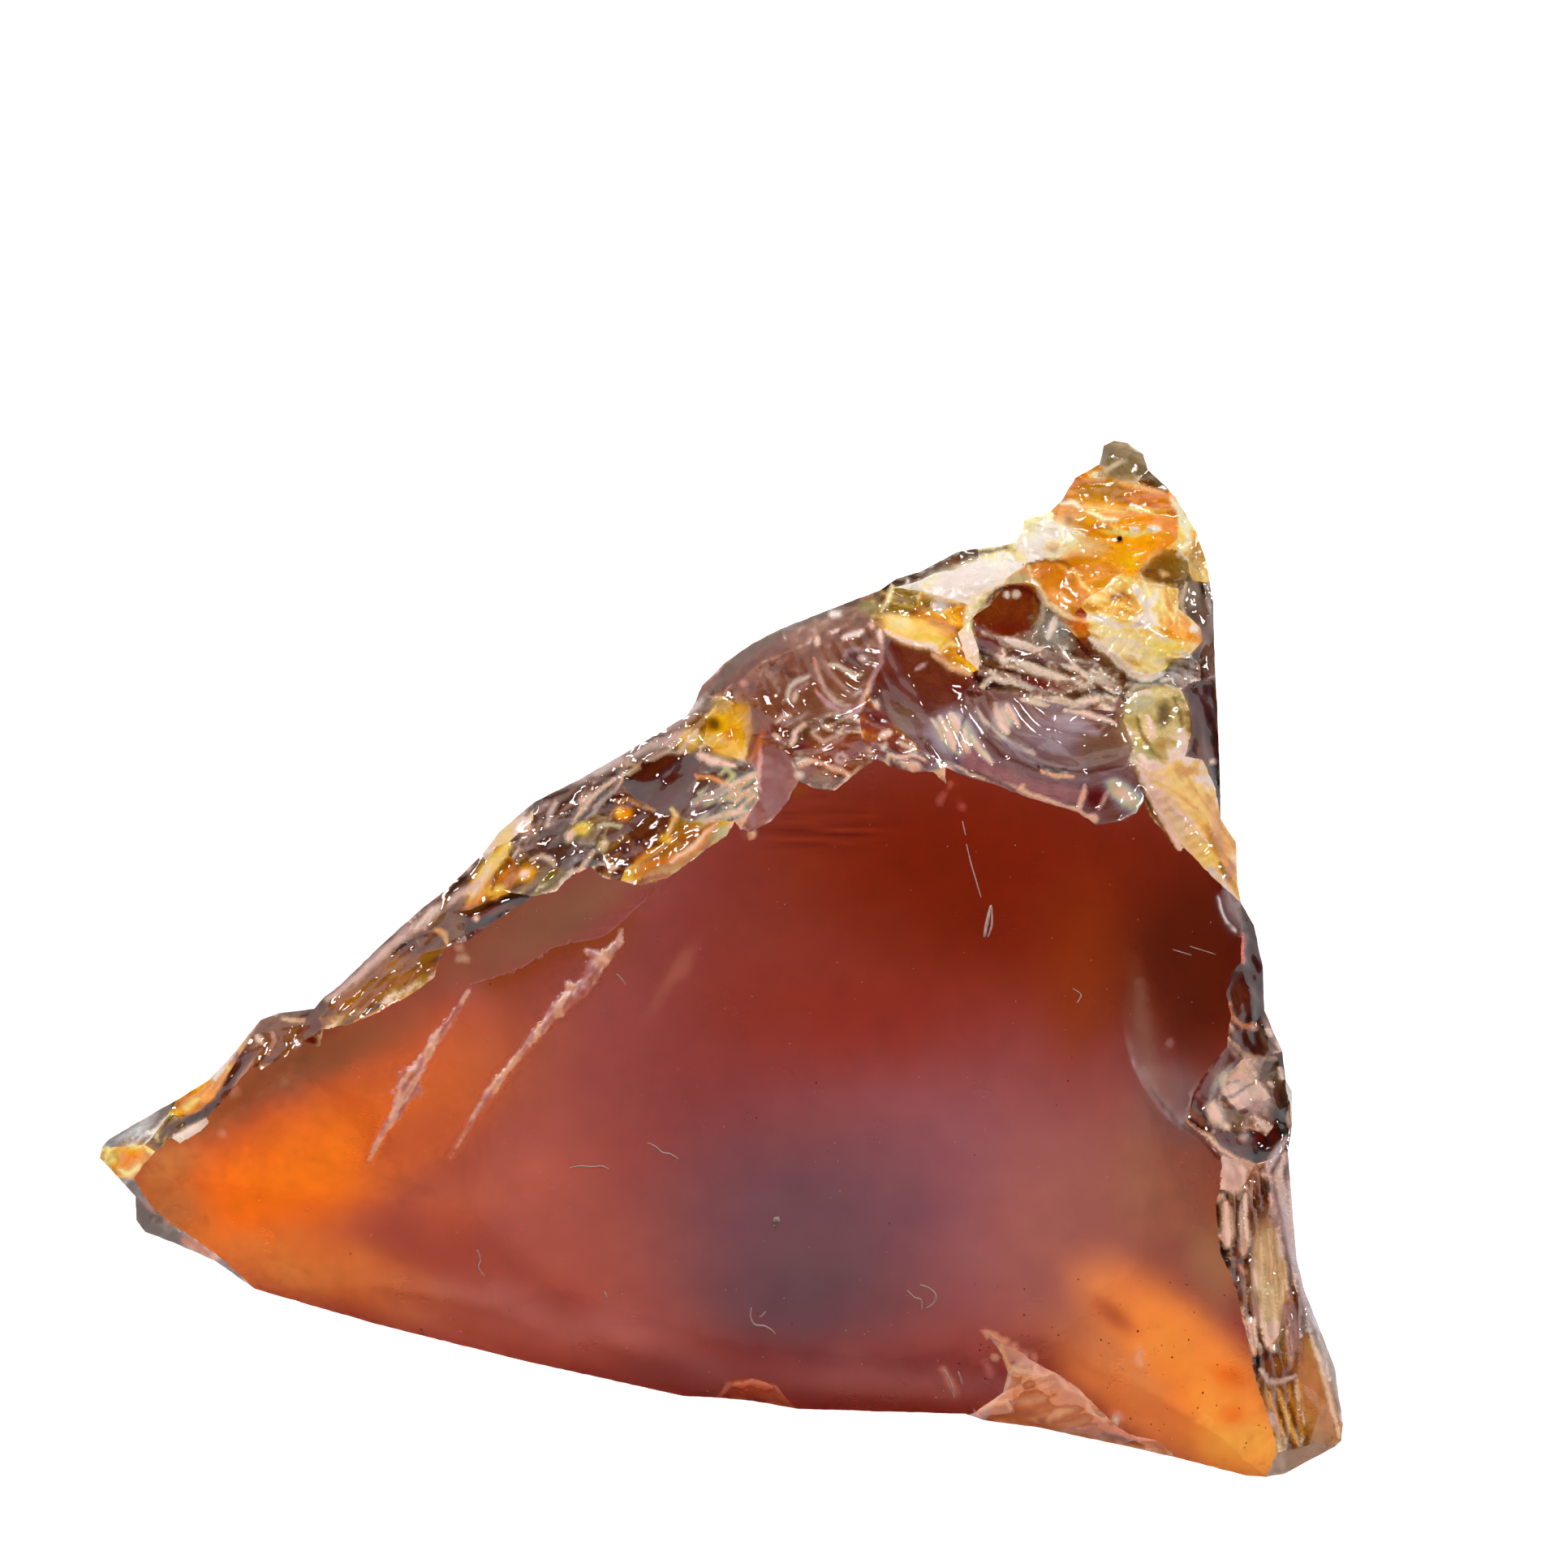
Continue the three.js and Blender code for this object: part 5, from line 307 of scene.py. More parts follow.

# ---------------------------------------------------------------- marks
# What breakage and wear left in single places, and where highlights, reflections
# and shade are painted: a name, the line it follows (or its middle), its half width
# (or its two reaches and its turn), colour as seen, strength and clearness. Later
# marks lie over earlier ones.
MARKS = [
    # upper left flank: brown glass and gold chips; the silvery edge and the white feathers are painted reflections
    ("flank glass", (835, 985), (110, 62, -35), (104, 68, 46), 0.55, 0.9),
    ("flank glass low", (690, 1045), (80, 34, -32), (96, 72, 62), 0.75, 0.9),
    ("edge silver", [(640, 1003), (690, 972), (745, 938), (800, 903), (850, 878), (866, 866)], 11, (206, 207, 205), 0.9, 0.8),
    ("edge silver wide", [(735, 952), (790, 922), (846, 902)], 9, (216, 217, 214), 0.85, 0.8),
    ("edge grey", [(652, 996), (690, 976), (722, 966)], 8, (122, 114, 108), 0.8, 0.85),
    ("edge dark thread", [(648, 1004), (672, 984), (700, 974)], 2.8, (62, 54, 48), 0.8, 0.9),
    ("edge dark thread", [(770, 932), (800, 912), (826, 902)], 2.6, (84, 84, 82), 0.7, 0.9),
    ("glass hatch", [(706, 1014), (722, 990), (738, 974), (756, 960)], 3.0, (226, 226, 222), 0.85, 0.8),
    ("glass hatch dark", [(714, 1014), (734, 988), (752, 968)], 2.6, (52, 44, 38), 0.85, 0.95),
    ("glass hatch", [(722, 1010), (744, 986), (764, 966)], 2.6, (190, 190, 184), 0.8, 0.8),
    ("glass hatch", [(762, 944), (776, 940), (786, 946), (776, 954), (764, 954)], 2.8, (206, 196, 156), 0.8, 0.7),
    ("brown window", (820, 962), (36, 34, 0), (92, 58, 30), 0.97, 0.97),
    ("brown window foot", (818, 1000), (40, 26, -20), (104, 66, 46), 0.85, 0.95),
    ("brown window edge", [(795, 938), (826, 926), (850, 926)], 2.8, (196, 190, 176), 0.75, 0.8),
    ("white thread", [(672, 1018), (680, 1000), (684, 986)], 2.8, (222, 220, 220), 0.8, 0.8),
    ("white thread", [(648, 1040), (662, 1020), (668, 1008)], 2.6, (176, 168, 160), 0.7, 0.8),
    ("gold wedge", [(576, 1108), (592, 1082), (608, 1062), (624, 1042)], 10, (248, 226, 120), 0.95, 0.6),
    ("gold wedge core", [(582, 1104), (594, 1084), (604, 1066)], 4, (255, 244, 184), 0.8, 0.5),
    ("gold wedge low", (612, 1097), (15, 9, -20), (238, 196, 96), 0.9, 0.6),
    ("gold wedge thread", [(606, 1096), (612, 1076), (622, 1060)], 2.8, (128, 108, 26), 0.85, 0.85),
    ("gold wedge foot", [(572, 1122), (592, 1116), (606, 1106)], 4, (110, 86, 30), 0.8, 0.85),
    ("pale stone", (646, 1018), (10, 10, 0), (238, 226, 186), 0.85, 0.6),
    ("amber stone", (650, 1076), (17, 11, -10), (226, 168, 44), 0.95, 0.7),
    ("amber stone light", (646, 1078), (6, 5, 0), (255, 240, 186), 0.95, 0.5),
    ("olive stone", (676, 1080), (14, 12, -20), (124, 104, 26), 0.9, 0.85),
    ("grit line", [(654, 1060), (668, 1055), (681, 1060), (686, 1070)], 3.0, (226, 222, 224), 0.85, 0.7),
    ("grit line", [(700, 1076), (716, 1072), (724, 1060), (732, 1048)], 2.8, (222, 208, 204), 0.85, 0.7),
    ("grit line", [(690, 1086), (704, 1080), (720, 1072)], 2.8, (226, 192, 180), 0.8, 0.7),
    ("grit line", [(634, 1054), (640, 1044)], 2.6, (220, 220, 196), 0.8, 0.7),
    ("lime stone", (716, 1022), (12, 8, -20), (234, 220, 96), 0.95, 0.6),
    ("lime stone light", (703, 1030), (5, 8, 20), (252, 248, 198), 0.95, 0.5),
    ("lime stone small", (744, 1042), (6, 8, 30), (230, 224, 150), 0.9, 0.6),
    ("lime thread", [(738, 1018), (752, 1016), (766, 1020)], 3.0, (206, 202, 152), 0.8, 0.7),
    ("gem", (768, 1003), (10, 10, 0), (246, 156, 16), 1.0, 0.8),
    ("gem light", (764, 1000), (4, 5, 0), (255, 214, 92), 0.9, 0.6),
    ("gem rim", [(757, 988), (774, 984), (790, 992), (806, 1000)], 2.8, (196, 152, 104), 0.75, 0.7),
    ("amber glow", (832, 1054), (66, 30, -32), (156, 82, 24), 0.85, 0.92),
    ("amber glow dark", (800, 1048), (30, 12, -35), (112, 62, 26), 0.7, 0.94),
    ("gold vein", [(782, 1078), (808, 1062), (838, 1056), (858, 1042), (880, 1018)], 5.5, (206, 116, 26), 0.9, 0.9),
    ("gold vein low", [(778, 1070), (798, 1052), (816, 1044)], 4.5, (212, 138, 34), 0.85, 0.85),
    ("gold vein crest", [(826, 1062), (850, 1046), (864, 1032), (880, 1018)], 2.8, (246, 188, 132), 0.9, 0.6),
    ("gold curl", [(820, 1034), (828, 1018), (834, 1006), (828, 996)], 3.6, (236, 192, 112), 0.9, 0.6),
    ("gold drop", (821, 1034), (8, 6, 20), (250, 188, 64), 0.9, 0.6),
    ("gold tile", (898, 900), (27, 34, 10), (250, 200, 46), 0.97, 0.8),
    ("gold tile light", (912, 880), (11, 13, 20), (255, 216, 96), 0.9, 0.6),
    ("gold tile shade", (880, 892), (9, 9, 45), (98, 72, 16), 0.9, 0.9),
    ("gold tile foot", [(868, 912), (884, 910), (896, 916)], 6, (255, 226, 128), 0.9, 0.6),
    ("gold tile foot", [(912, 934), (918, 922)], 6, (255, 212, 110), 0.9, 0.6),
    ("gold tile middle", (900, 905), (8, 12, 30), (224, 146, 12), 0.6, 0.85),
    ("olive cap", (888, 868), (15, 10, -20), (178, 164, 112), 0.85, 0.7),
    ("straw chip", (850, 912), (16, 13, -30), (232, 206, 108), 0.9, 0.65),
    ("straw chip light", [(838, 924), (850, 912), (860, 898)], 3, (255, 246, 210), 0.85, 0.5),
    ("feather", [(860, 930), (880, 938), (904, 944)], 4.5, (238, 236, 238), 0.95, 0.6),
    ("feather under", [(862, 940), (882, 950), (898, 950)], 3.2, (92, 70, 64), 0.8, 0.9),
    ("feather", [(900, 968), (916, 962), (930, 954)], 4.5, (226, 222, 228), 0.9, 0.7),
    ("feather", [(904, 978), (926, 978)], 4.0, (206, 192, 204), 0.85, 0.75),
    ("feather curl", [(886, 954), (896, 948), (904, 956), (896, 964)], 3.0, (186, 176, 122), 0.85, 0.7),
    ("feather warm", [(858, 956), (880, 960), (902, 968)], 3.2, (226, 152, 96), 0.9, 0.7),
    ("feather mauve", [(856, 992), (880, 978), (906, 972)], 3.4, (190, 148, 146), 0.8, 0.8),
    ("feather", [(868, 1012), (892, 1004), (920, 1000)], 3.8, (216, 204, 214), 0.9, 0.7),
    ("feather shade", [(860, 1002), (884, 992), (906, 988)], 3.2, (86, 40, 34), 0.85, 0.95),
    ("feather", [(906, 1014), (913, 1030)], 5.0, (232, 228, 234), 0.9, 0.6),
    ("feather dot", (926, 1028), (5, 5, 0), (236, 230, 232), 0.9, 0.6),
    ("tan facet", (890, 1026), (18, 10, -25), (166, 138, 108), 0.75, 0.8),
    ("rose ridge", [(930, 986), (926, 1000), (930, 1016)], 5, (150, 96, 92), 0.7, 0.85),
    # lower left flank; its silver edge is a painted reflection
    ("low ground", (480, 1195), (104, 26, -36), (140, 100, 54), 0.7, 0.9),
    ("low ground dark", (540, 1160), (46, 18, -36), (104, 74, 52), 0.6, 0.92),
    ("low edge silver", [(588, 1088), (540, 1118), (500, 1150), (466, 1180), (430, 1212), (404, 1232)], 6.5, (214, 212, 206), 0.9, 0.75),
    ("low cream wedge", [(540, 1118), (524, 1136), (512, 1146)], 5, (250, 248, 222), 0.95, 0.5),
    ("low grey", [(540, 1140), (560, 1122), (576, 1106)], 6.5, (116, 102, 96), 0.85, 0.9),
    ("low olive line", [(536, 1142), (545, 1122), (552, 1104)], 3, (128, 112, 44), 0.85, 0.85),
    ("low dark line", [(488, 1172), (504, 1160), (524, 1152)], 3, (66, 52, 40), 0.85, 0.9),
    ("low olive", [(548, 1168), (510, 1186), (474, 1196), (440, 1222), (410, 1238)], 8, (150, 112, 44), 0.85, 0.88),
    ("low olive glow", (428, 1234), (18, 9, -20), (170, 124, 28), 0.85, 0.85),
    ("low olive glow", (486, 1188), (16, 7, -30), (172, 138, 50), 0.75, 0.85),
    ("low brown", [(560, 1180), (520, 1198), (480, 1214), (446, 1240)], 7, (158, 106, 58), 0.8, 0.88),
    ("low chip", [(538, 1146), (550, 1152), (552, 1162)], 4, (226, 192, 130), 0.85, 0.65),
    ("low chip grey", (562, 1140), (10, 22, 0), (132, 108, 94), 0.8, 0.85),
    ("low ring", [(558, 1172), (566, 1166), (574, 1174), (572, 1182), (562, 1182)], 2.6, (196, 150, 122), 0.8, 0.75),
    ("low mauve", [(585, 1130), (608, 1122), (632, 1118)], 5, (124, 80, 62), 0.75, 0.9),
    ("low red", [(582, 1150), (600, 1142)], 3.4, (112, 42, 22), 0.8, 0.95),
    ("low dot", (586, 1130), (4, 4, 0), (244, 214, 188), 0.9, 0.6),
    ("bright thread", [(436, 1262), (462, 1249), (484, 1236), (508, 1224)], 2.8, (226, 166, 110), 0.9, 0.75),
    # shoulder
    ("shoulder rim", [(868, 868), (886, 838), (920, 806), (962, 778), (1010, 756), (1060, 742)], 7, (104, 92, 80), 0.75, 0.85),
    ("shoulder warm", (990, 850), (90, 50, -25), (124, 80, 60), 0.75, 0.9),
    ("shoulder arc", [(944, 822), (952, 838), (960, 852)], 2.8, (176, 150, 126), 0.7, 0.8),
    ("shoulder arc", [(1003, 812), (1010, 834), (1018, 852), (1034, 868), (1048, 870)], 3, (198, 160, 140), 0.85, 0.75),
    ("shoulder arc", [(1014, 812), (1024, 828), (1038, 846), (1050, 856)], 2.8, (172, 132, 112), 0.8, 0.8),
    ("shoulder arc", [(1022, 820), (1036, 822), (1048, 830), (1062, 832)], 3.2, (214, 202, 186), 0.9, 0.7),
    ("shoulder arc", [(1004, 850), (1018, 866), (1036, 876), (1048, 874)], 2.8, (198, 146, 142), 0.8, 0.75),
    ("shoulder knot", [(970, 862), (974, 846), (984, 838), (998, 834)], 3.2, (206, 194, 190), 0.85, 0.7),
    ("shoulder knot shade", (962, 826), (20, 7, 20), (100, 58, 34), 0.8, 0.92),
    ("shoulder dot", (980, 858), (3.4, 7, 20), (222, 206, 190), 0.85, 0.7),
    ("shoulder dot", (916, 842), (5, 4, 0), (218, 170, 172), 0.8, 0.8),
    ("shoulder dot", (1006, 790), (3.4, 7, 0), (240, 214, 196), 0.9, 0.6),
    ("shoulder dot", (1029, 756), (8, 5, 0), (236, 228, 220), 0.95, 0.55),
    ("shoulder dash", [(1040, 787), (1052, 781), (1062, 778)], 3.4, (246, 248, 250), 1.0, 0.5),
    ("shoulder eye", (1053, 810), (16, 13, 0), (96, 70, 70), 0.85, 0.92),
    ("shoulder eye ring", [(1040, 812), (1044, 802), (1054, 799), (1068, 802)], 2.6, (170, 146, 150), 0.8, 0.8),
    ("shoulder eye light", (1062, 812), (6, 4, 20), (240, 214, 220), 0.9, 0.6),
    ("shoulder seam", [(1084, 774), (1088, 795), (1085, 815), (1076, 836), (1066, 858), (1058, 876)], 3.0, (224, 178, 174), 0.95, 0.65),
    ("shoulder seam light", [(1084, 776), (1087, 792)], 3.4, (246, 220, 214), 0.9, 0.6),
    ("shoulder nick", (1074, 770), (4, 4, 0), (230, 196, 180), 0.8, 0.6),
    ("shoulder nick", (1080, 869), (3.6, 5, 0), (244, 224, 214), 0.9, 0.6),
    ("shoulder foot", [(1046, 884), (1060, 870), (1064, 858)], 4, (206, 150, 140), 0.75, 0.75),
    # pink column and the crumpled place beside it
    ("column", (955, 962), (22, 48, 8), (126, 54, 26), 0.95, 0.88),
    ("column top", (950, 906), (26, 24, 0), (126, 66, 42), 0.85, 0.92),
    ("column edge", [(938, 918), (934, 946), (936, 974)], 2.8, (216, 146, 124), 0.85, 0.75),
    ("column chip", [(926, 936), (936, 918), (940, 902)], 4.5, (188, 104, 52), 0.85, 0.85),
    ("crumple dots", [(958, 890), (966, 882), (976, 880)], 3.2, (216, 176, 176), 0.85, 0.7),
    ("crumple dots", [(975, 918), (981, 902), (992, 892)], 3.4, (236, 224, 230), 0.9, 0.6),
    ("crumple dots", [(954, 906), (960, 912)], 3.2, (230, 198, 196), 0.85, 0.7),
    ("crumple ground", (1030, 930), (52, 34, -15), (146, 72, 44), 0.75, 0.92),
    ("crumple arc", [(1000, 902), (1014, 914), (1030, 908), (1040, 896)], 3, (204, 160, 138), 0.85, 0.7),
    ("crumple arc", [(1004, 926), (1024, 918), (1042, 906)], 2.8, (186, 132, 112), 0.8, 0.75),
    ("crumple ring", [(1030, 934), (1037, 928), (1044, 934), (1038, 940), (1030, 934)], 2.6, (206, 150, 128), 0.8, 0.75),
    ("oval rim", [(984, 940), (1000, 936), (1018, 942), (1038, 950), (1048, 958), (1040, 968), (1022, 978), (1004, 976), (996, 968)], 2.8, (238, 196, 164), 0.95, 0.6),
    ("oval inside", (1018, 958), (16, 9, 20), (158, 112, 84), 0.7, 0.88),
    ("oval light", [(984, 940), (998, 937)], 4.5, (238, 232, 230), 0.95, 0.55),
    ("oval light", (984, 954), (6, 5, 0), (232, 206, 196), 0.8, 0.65),
    ("oval tail", [(1048, 956), (1062, 944)], 2.6, (206, 146, 112), 0.8, 0.7),
    ("oval cup", (985, 975), (10, 8, 0), (132, 58, 16), 0.85, 0.95),
    # smooth brown facet, shell-shaped band; the band flashes, the end light and the dot on the dark tile are painted
    # highlights
    ("brown facet", (1130, 838), (64, 48, 35), (112, 66, 54), 0.85, 0.95),
    ("brown facet foot", (1112, 885), (22, 18, 40), (124, 94, 76), 0.85, 0.9),
    ("brown facet dash", [(1130, 824), (1141, 818)], 2.8, (196, 160, 150), 0.8, 0.75),
    ("rust corner", (1082, 886), (20, 11, 10), (108, 36, 8), 0.95, 0.97),
    ("band ground", (1290, 925), (110, 56, 20), (130, 104, 102), 0.75, 0.85),
    ("band lilac", (1300, 902), (42, 26, 10), (148, 130, 132), 0.75, 0.8),
    ("band brown", (1358, 918), (34, 28, 0), (118, 88, 70), 0.85, 0.9),
    ("band low", [(1180, 925), (1220, 950), (1270, 972), (1330, 982)], 14, (150, 98, 94), 0.85, 0.88),
    ("band arc shade", [(1192, 876), (1204, 902), (1232, 928), (1276, 948), (1330, 953), (1388, 944)], 3.4, (98, 62, 54), 0.9, 0.95),
    ("band arc", [(1204, 872), (1218, 896), (1246, 916), (1276, 928)], 2.8, (206, 190, 190), 0.85, 0.7),
    ("band arc shade", [(1208, 890), (1232, 910), (1262, 924)], 2.6, (120, 90, 88), 0.7, 0.9),
    ("band flash", (1178, 902), (26, 24, 35), (196, 186, 192), 0.85, 0.7),
    ("band flash", [(1158, 884), (1168, 902), (1180, 928)], 4.2, (244, 240, 246), 0.95, 0.5),
    ("band flash", [(1172, 880), (1184, 900), (1194, 926)], 5.0, (255, 252, 255), 1.0, 0.45),
    ("band flash", [(1148, 886), (1156, 898), (1162, 912)], 3.0, (214, 200, 208), 0.8, 0.65),
    ("band flash", [(1198, 906), (1208, 924), (1222, 938)], 4.0, (220, 212, 218), 0.85, 0.6),
    ("band flash thread", [(1190, 882), (1184, 906), (1178, 930), (1180, 944)], 2.6, (96, 74, 82), 0.85, 0.9),
    ("band flash two", (1238, 884), (13, 18, 20), (206, 198, 202), 0.85, 0.65),
    ("band flash two", [(1228, 868), (1232, 886), (1242, 902)], 4.4, (255, 254, 255), 1.0, 0.45),
    ("band flash two", [(1242, 868), (1248, 884), (1256, 896)], 3.2, (236, 230, 234), 0.9, 0.55),
    ("band pale", [(1300, 885), (1330, 892), (1352, 902)], 8, (172, 156, 158), 0.7, 0.8),
    ("band edge", [(1176, 944), (1208, 958), (1250, 971), (1292, 986), (1332, 1000), (1350, 1008)], 2.8, (210, 166, 148), 0.95, 0.7),
    ("band edge shade", [(1196, 950), (1224, 962), (1258, 976)], 2.6, (96, 56, 48), 0.85, 0.92),
    ("band thread", [(1284, 949), (1302, 956), (1322, 958)], 2.6, (236, 230, 228), 0.9, 0.6),
    ("band thread shade", [(1280, 943), (1302, 949), (1318, 951)], 2.6, (44, 30, 30), 0.9, 0.95),
    ("band tick", [(1254, 975), (1262, 967)], 2.6, (222, 184, 162), 0.85, 0.7),
    ("dark tile", (1350, 982), (17, 14, 20), (94, 38, 38), 0.95, 0.97),
    ("dark tile edge", [(1329, 998), (1338, 968)], 2.8, (228, 196, 198), 0.9, 0.65),
    ("dark tile edge", [(1354, 996), (1366, 976)], 2.6, (200, 146, 130), 0.85, 0.75),
    ("dark tile glint", (1346, 1007), (6, 5, 0), (240, 234, 236), 0.95, 0.55),
    ("end light", (1386, 980), (22, 11, 38), (214, 217, 222), 0.92, 0.6),
    ("end light", (1374, 968), (10, 7, 20), (196, 190, 190), 0.7, 0.7),
    ("end brown", (1378, 1010), (24, 14, 20), (112, 70, 54), 0.85, 0.92),
    ("bead ground", (1110, 922), (34, 16, 25), (120, 62, 62), 0.8, 0.92),
    ("bead", [(1084, 906), (1098, 903)], 3.6, (240, 236, 240), 0.97, 0.5),
    ("bead", [(1088, 924), (1092, 914)], 3.0, (214, 196, 204), 0.85, 0.65),
    ("bead", [(1098, 930), (1112, 934), (1126, 930), (1140, 936)], 3.0, (232, 212, 224), 0.9, 0.6),
    ("bead", [(1108, 914), (1118, 920), (1128, 924)], 3.0, (220, 200, 210), 0.85, 0.65),
    ("bead knob", (1126, 944), (9, 6, 10), (226, 184, 180), 0.95, 0.6),
    ("bead knob", (1164, 950), (8, 9, 30), (230, 210, 196), 0.95, 0.6),
    ("bead shade", (1101, 924), (6, 4, 0), (84, 34, 44), 0.85, 0.95),
    ("bead shade", (1148, 944), (7, 8, 0), (120, 92, 86), 0.8, 0.9),
    ("tear thread", [(1174, 960), (1164, 974), (1158, 988)], 2.6, (170, 76, 54), 0.75, 0.9),
    ("tear thread", [(1172, 962), (1180, 980), (1186, 994)], 2.6, (168, 70, 48), 0.7, 0.9),
    # crumpled ground between the band and the crust
    ("crumple teal", (1296, 778), (28, 22, 30), (132, 126, 114), 0.85, 0.88),
    ("crumple brown", (1346, 802), (24, 16, 40), (98, 62, 46), 0.88, 0.95),
    ("crumple white", [(1292, 786), (1297, 774), (1300, 762)], 4.2, (236, 244, 244), 0.95, 0.5),
    ("crumple streak", [(1212, 778), (1236, 786), (1258, 795), (1282, 799)], 4.6, (248, 230, 218), 0.95, 0.5),
    ("crumple streak", [(1258, 818), (1282, 828), (1312, 836)], 5.4, (250, 238, 202), 0.97, 0.5),
    ("crumple red", (1286, 843), (30, 10, 6), (112, 48, 24), 0.92, 0.96),
    ("crumple red", (1222, 792), (16, 9, 20), (112, 58, 52), 0.85, 0.95),
    ("crumple wine", [(1240, 808), (1280, 812), (1316, 818)], 4.2, (110, 76, 72), 0.8, 0.92),
    ("crumple streak", [(1260, 862), (1290, 868)], 4.0, (230, 224, 222), 0.92, 0.55),
    ("crumple streak", [(1302, 862), (1322, 868), (1352, 860)], 4.0, (240, 240, 236), 0.92, 0.5),
    ("crumple streak", [(1312, 876), (1342, 880), (1374, 890)], 3.2, (234, 224, 222), 0.85, 0.6),
    ("crumple streak", [(1330, 826), (1352, 838), (1380, 848)], 3.0, (200, 182, 168), 0.8, 0.7),
    ("crumple streak", [(1208, 846), (1224, 834), (1250, 842)], 3.8, (226, 210, 202), 0.85, 0.6),
    ("crumple dark", (1205, 836), (6, 6, 0), (44, 16, 12), 0.9, 0.97),
    ("crumple dark", [(1325, 856), (1350, 850), (1388, 858)], 3.4, (70, 50, 44), 0.8, 0.95),
    ("crumple dark", [(1344, 790), (1368, 812), (1396, 832)], 4.0, (96, 58, 40), 0.88, 0.95),
    ("crumple brown low", (1216, 868), (16, 10, 0), (122, 88, 82), 0.7, 0.9),
    # crust
    ("nub", (1382, 575), (26, 20, 0), (134, 116, 84), 0.8, 0.8),
    ("nub thread", [(1360, 584), (1370, 574), (1384, 568)], 2.8, (214, 188, 156), 0.85, 0.65),
    ("nub shade", [(1356, 572), (1362, 560), (1374, 550)], 4, (104, 94, 78), 0.75, 0.85),
    ("nub foot", [(1404, 580), (1424, 590), (1438, 604)], 5.5, (116, 102, 78), 0.9, 0.85),
    ("crust olive", (1356, 607), (38, 18, -8), (174, 124, 26), 0.9, 0.75),
    ("crust tan", [(1372, 592), (1400, 598), (1434, 608)], 4.0, (222, 174, 118), 0.85, 0.7),
    ("crust cream", (1353, 586), (10, 4.5, 0), (250, 230, 178), 0.9, 0.55),
    ("crust amber", (1410, 664), (44, 30, -10), (246, 156, 22), 0.9, 0.78),
    ("crust amber", (1394, 696), (16, 16, 0), (250, 174, 36), 0.85, 0.75),
    ("crust gold", (1352, 632), (46, 16, 8), (222, 156, 56), 0.75, 0.72),
    ("crust vein", [(1338, 630), (1358, 638), (1376, 642)], 3.0, (252, 226, 172), 0.92, 0.55),
    ("crust vein", [(1352, 646), (1376, 654), (1400, 658), (1428, 652)], 2.8, (250, 206, 122), 0.85, 0.6),
    ("crust vein", [(1322, 622), (1352, 626), (1388, 632)], 2.8, (240, 196, 120), 0.75, 0.65),
    ("crust vein", [(1398, 624), (1420, 630), (1444, 628)], 2.8, (232, 178, 96), 0.7, 0.65),
    ("crust vein", [(1396, 678), (1418, 670), (1440, 666)], 2.8, (232, 138, 14), 0.7, 0.8),
    ("crust dot", (1398, 652), (5, 3.4, 0), (255, 250, 222), 0.95, 0.5),
    ("crust dot", (1422, 650), (7, 3.6, 0), (255, 250, 226), 0.95, 0.5),
    ("crust brown", [(1348, 646), (1362, 649), (1370, 652)], 3.0, (156, 88, 14), 0.85, 0.85),
    ("crust pit", (1380, 665), (4.5, 4.5, 0), (86, 34, 8), 1.0, 0.9),
    ("crust left", (1314, 634), (20, 14, 0), (214, 158, 96), 0.85, 0.7),
    ("crust left light", [(1308, 620), (1322, 618), (1330, 626)], 3.2, (250, 230, 194), 0.85, 0.55),
    ("crust left shade", (1318, 640), (5, 5, 0), (150, 100, 56), 0.8, 0.8),
    ("crust right edge", [(1444, 616), (1460, 640), (1464, 668), (1452, 682)], 4.0, (250, 226, 186), 0.9, 0.55),
    ("crust right tan", (1474, 690), (11, 24, 0), (170, 138, 96), 0.8, 0.78),
    ("cream ground", (1290, 664), (40, 24, 0), (250, 234, 192), 0.92, 0.55),
    ("cream tail", (1262, 648), (14, 12, 0), (250, 214, 158), 0.85, 0.6),
    ("cream vein", [(1286, 652), (1310, 650), (1336, 660)], 3.0, (255, 240, 186), 0.8, 0.5),
    ("cream shade", [(1292, 668), (1316, 674), (1344, 672)], 3.4, (222, 178, 122), 0.75, 0.7),
    ("tan mottle", (1340, 674), (26, 11, 8), (236, 196, 136), 0.8, 0.65),
    ("tan crumb", (1296, 676), (10, 6, 0), (170, 128, 96), 0.75, 0.75),
    ("crust seam", [(1260, 696), (1288, 690), (1312, 692), (1328, 708), (1342, 726)], 3.0, (112, 66, 26), 0.92, 0.85),
    ("tan facet two", (1304, 714), (32, 20, 15), (196, 118, 28), 0.92, 0.75),
    ("tan facet light", (1304, 736), (16, 10, 30), (226, 158, 92), 0.75, 0.7),
    ("amber fold", (1352, 706), (24, 26, -20), (216, 148, 50), 0.8, 0.75),
    ("fold thread", [(1322, 700), (1334, 720), (1346, 732)], 2.8, (240, 194, 120), 0.8, 0.65),
    ("fold edge", [(1276, 716), (1292, 744), (1312, 758), (1342, 766)], 3.2, (236, 200, 152), 0.88, 0.6),
    ("brown chip", (1432, 698), (30, 17, -28), (128, 92, 44), 0.95, 0.88),
    ("brown chip crumb", (1434, 706), (7, 4, 20), (226, 186, 140), 0.85, 0.65),
    ("brown chip edge", [(1404, 712), (1430, 722), (1450, 722)], 3.0, (196, 156, 96), 0.8, 0.7),
    ("lobe gold", (1384, 742), (24, 18, 0), (200, 134, 48), 0.85, 0.75),
    ("lobe curl", [(1362, 750), (1378, 744), (1394, 752)], 3.0, (250, 196, 104), 0.85, 0.6),
    ("lobe curl shade", [(1368, 736), (1384, 732), (1396, 740)], 3.0, (146, 92, 26), 0.85, 0.85),
    ("lobe cream", [(1398, 722), (1408, 738), (1414, 748)], 4.5, (254, 244, 206), 0.92, 0.5),
    ("lobe cream", (1412, 764), (13, 10, 0), (255, 252, 228), 0.95, 0.5),
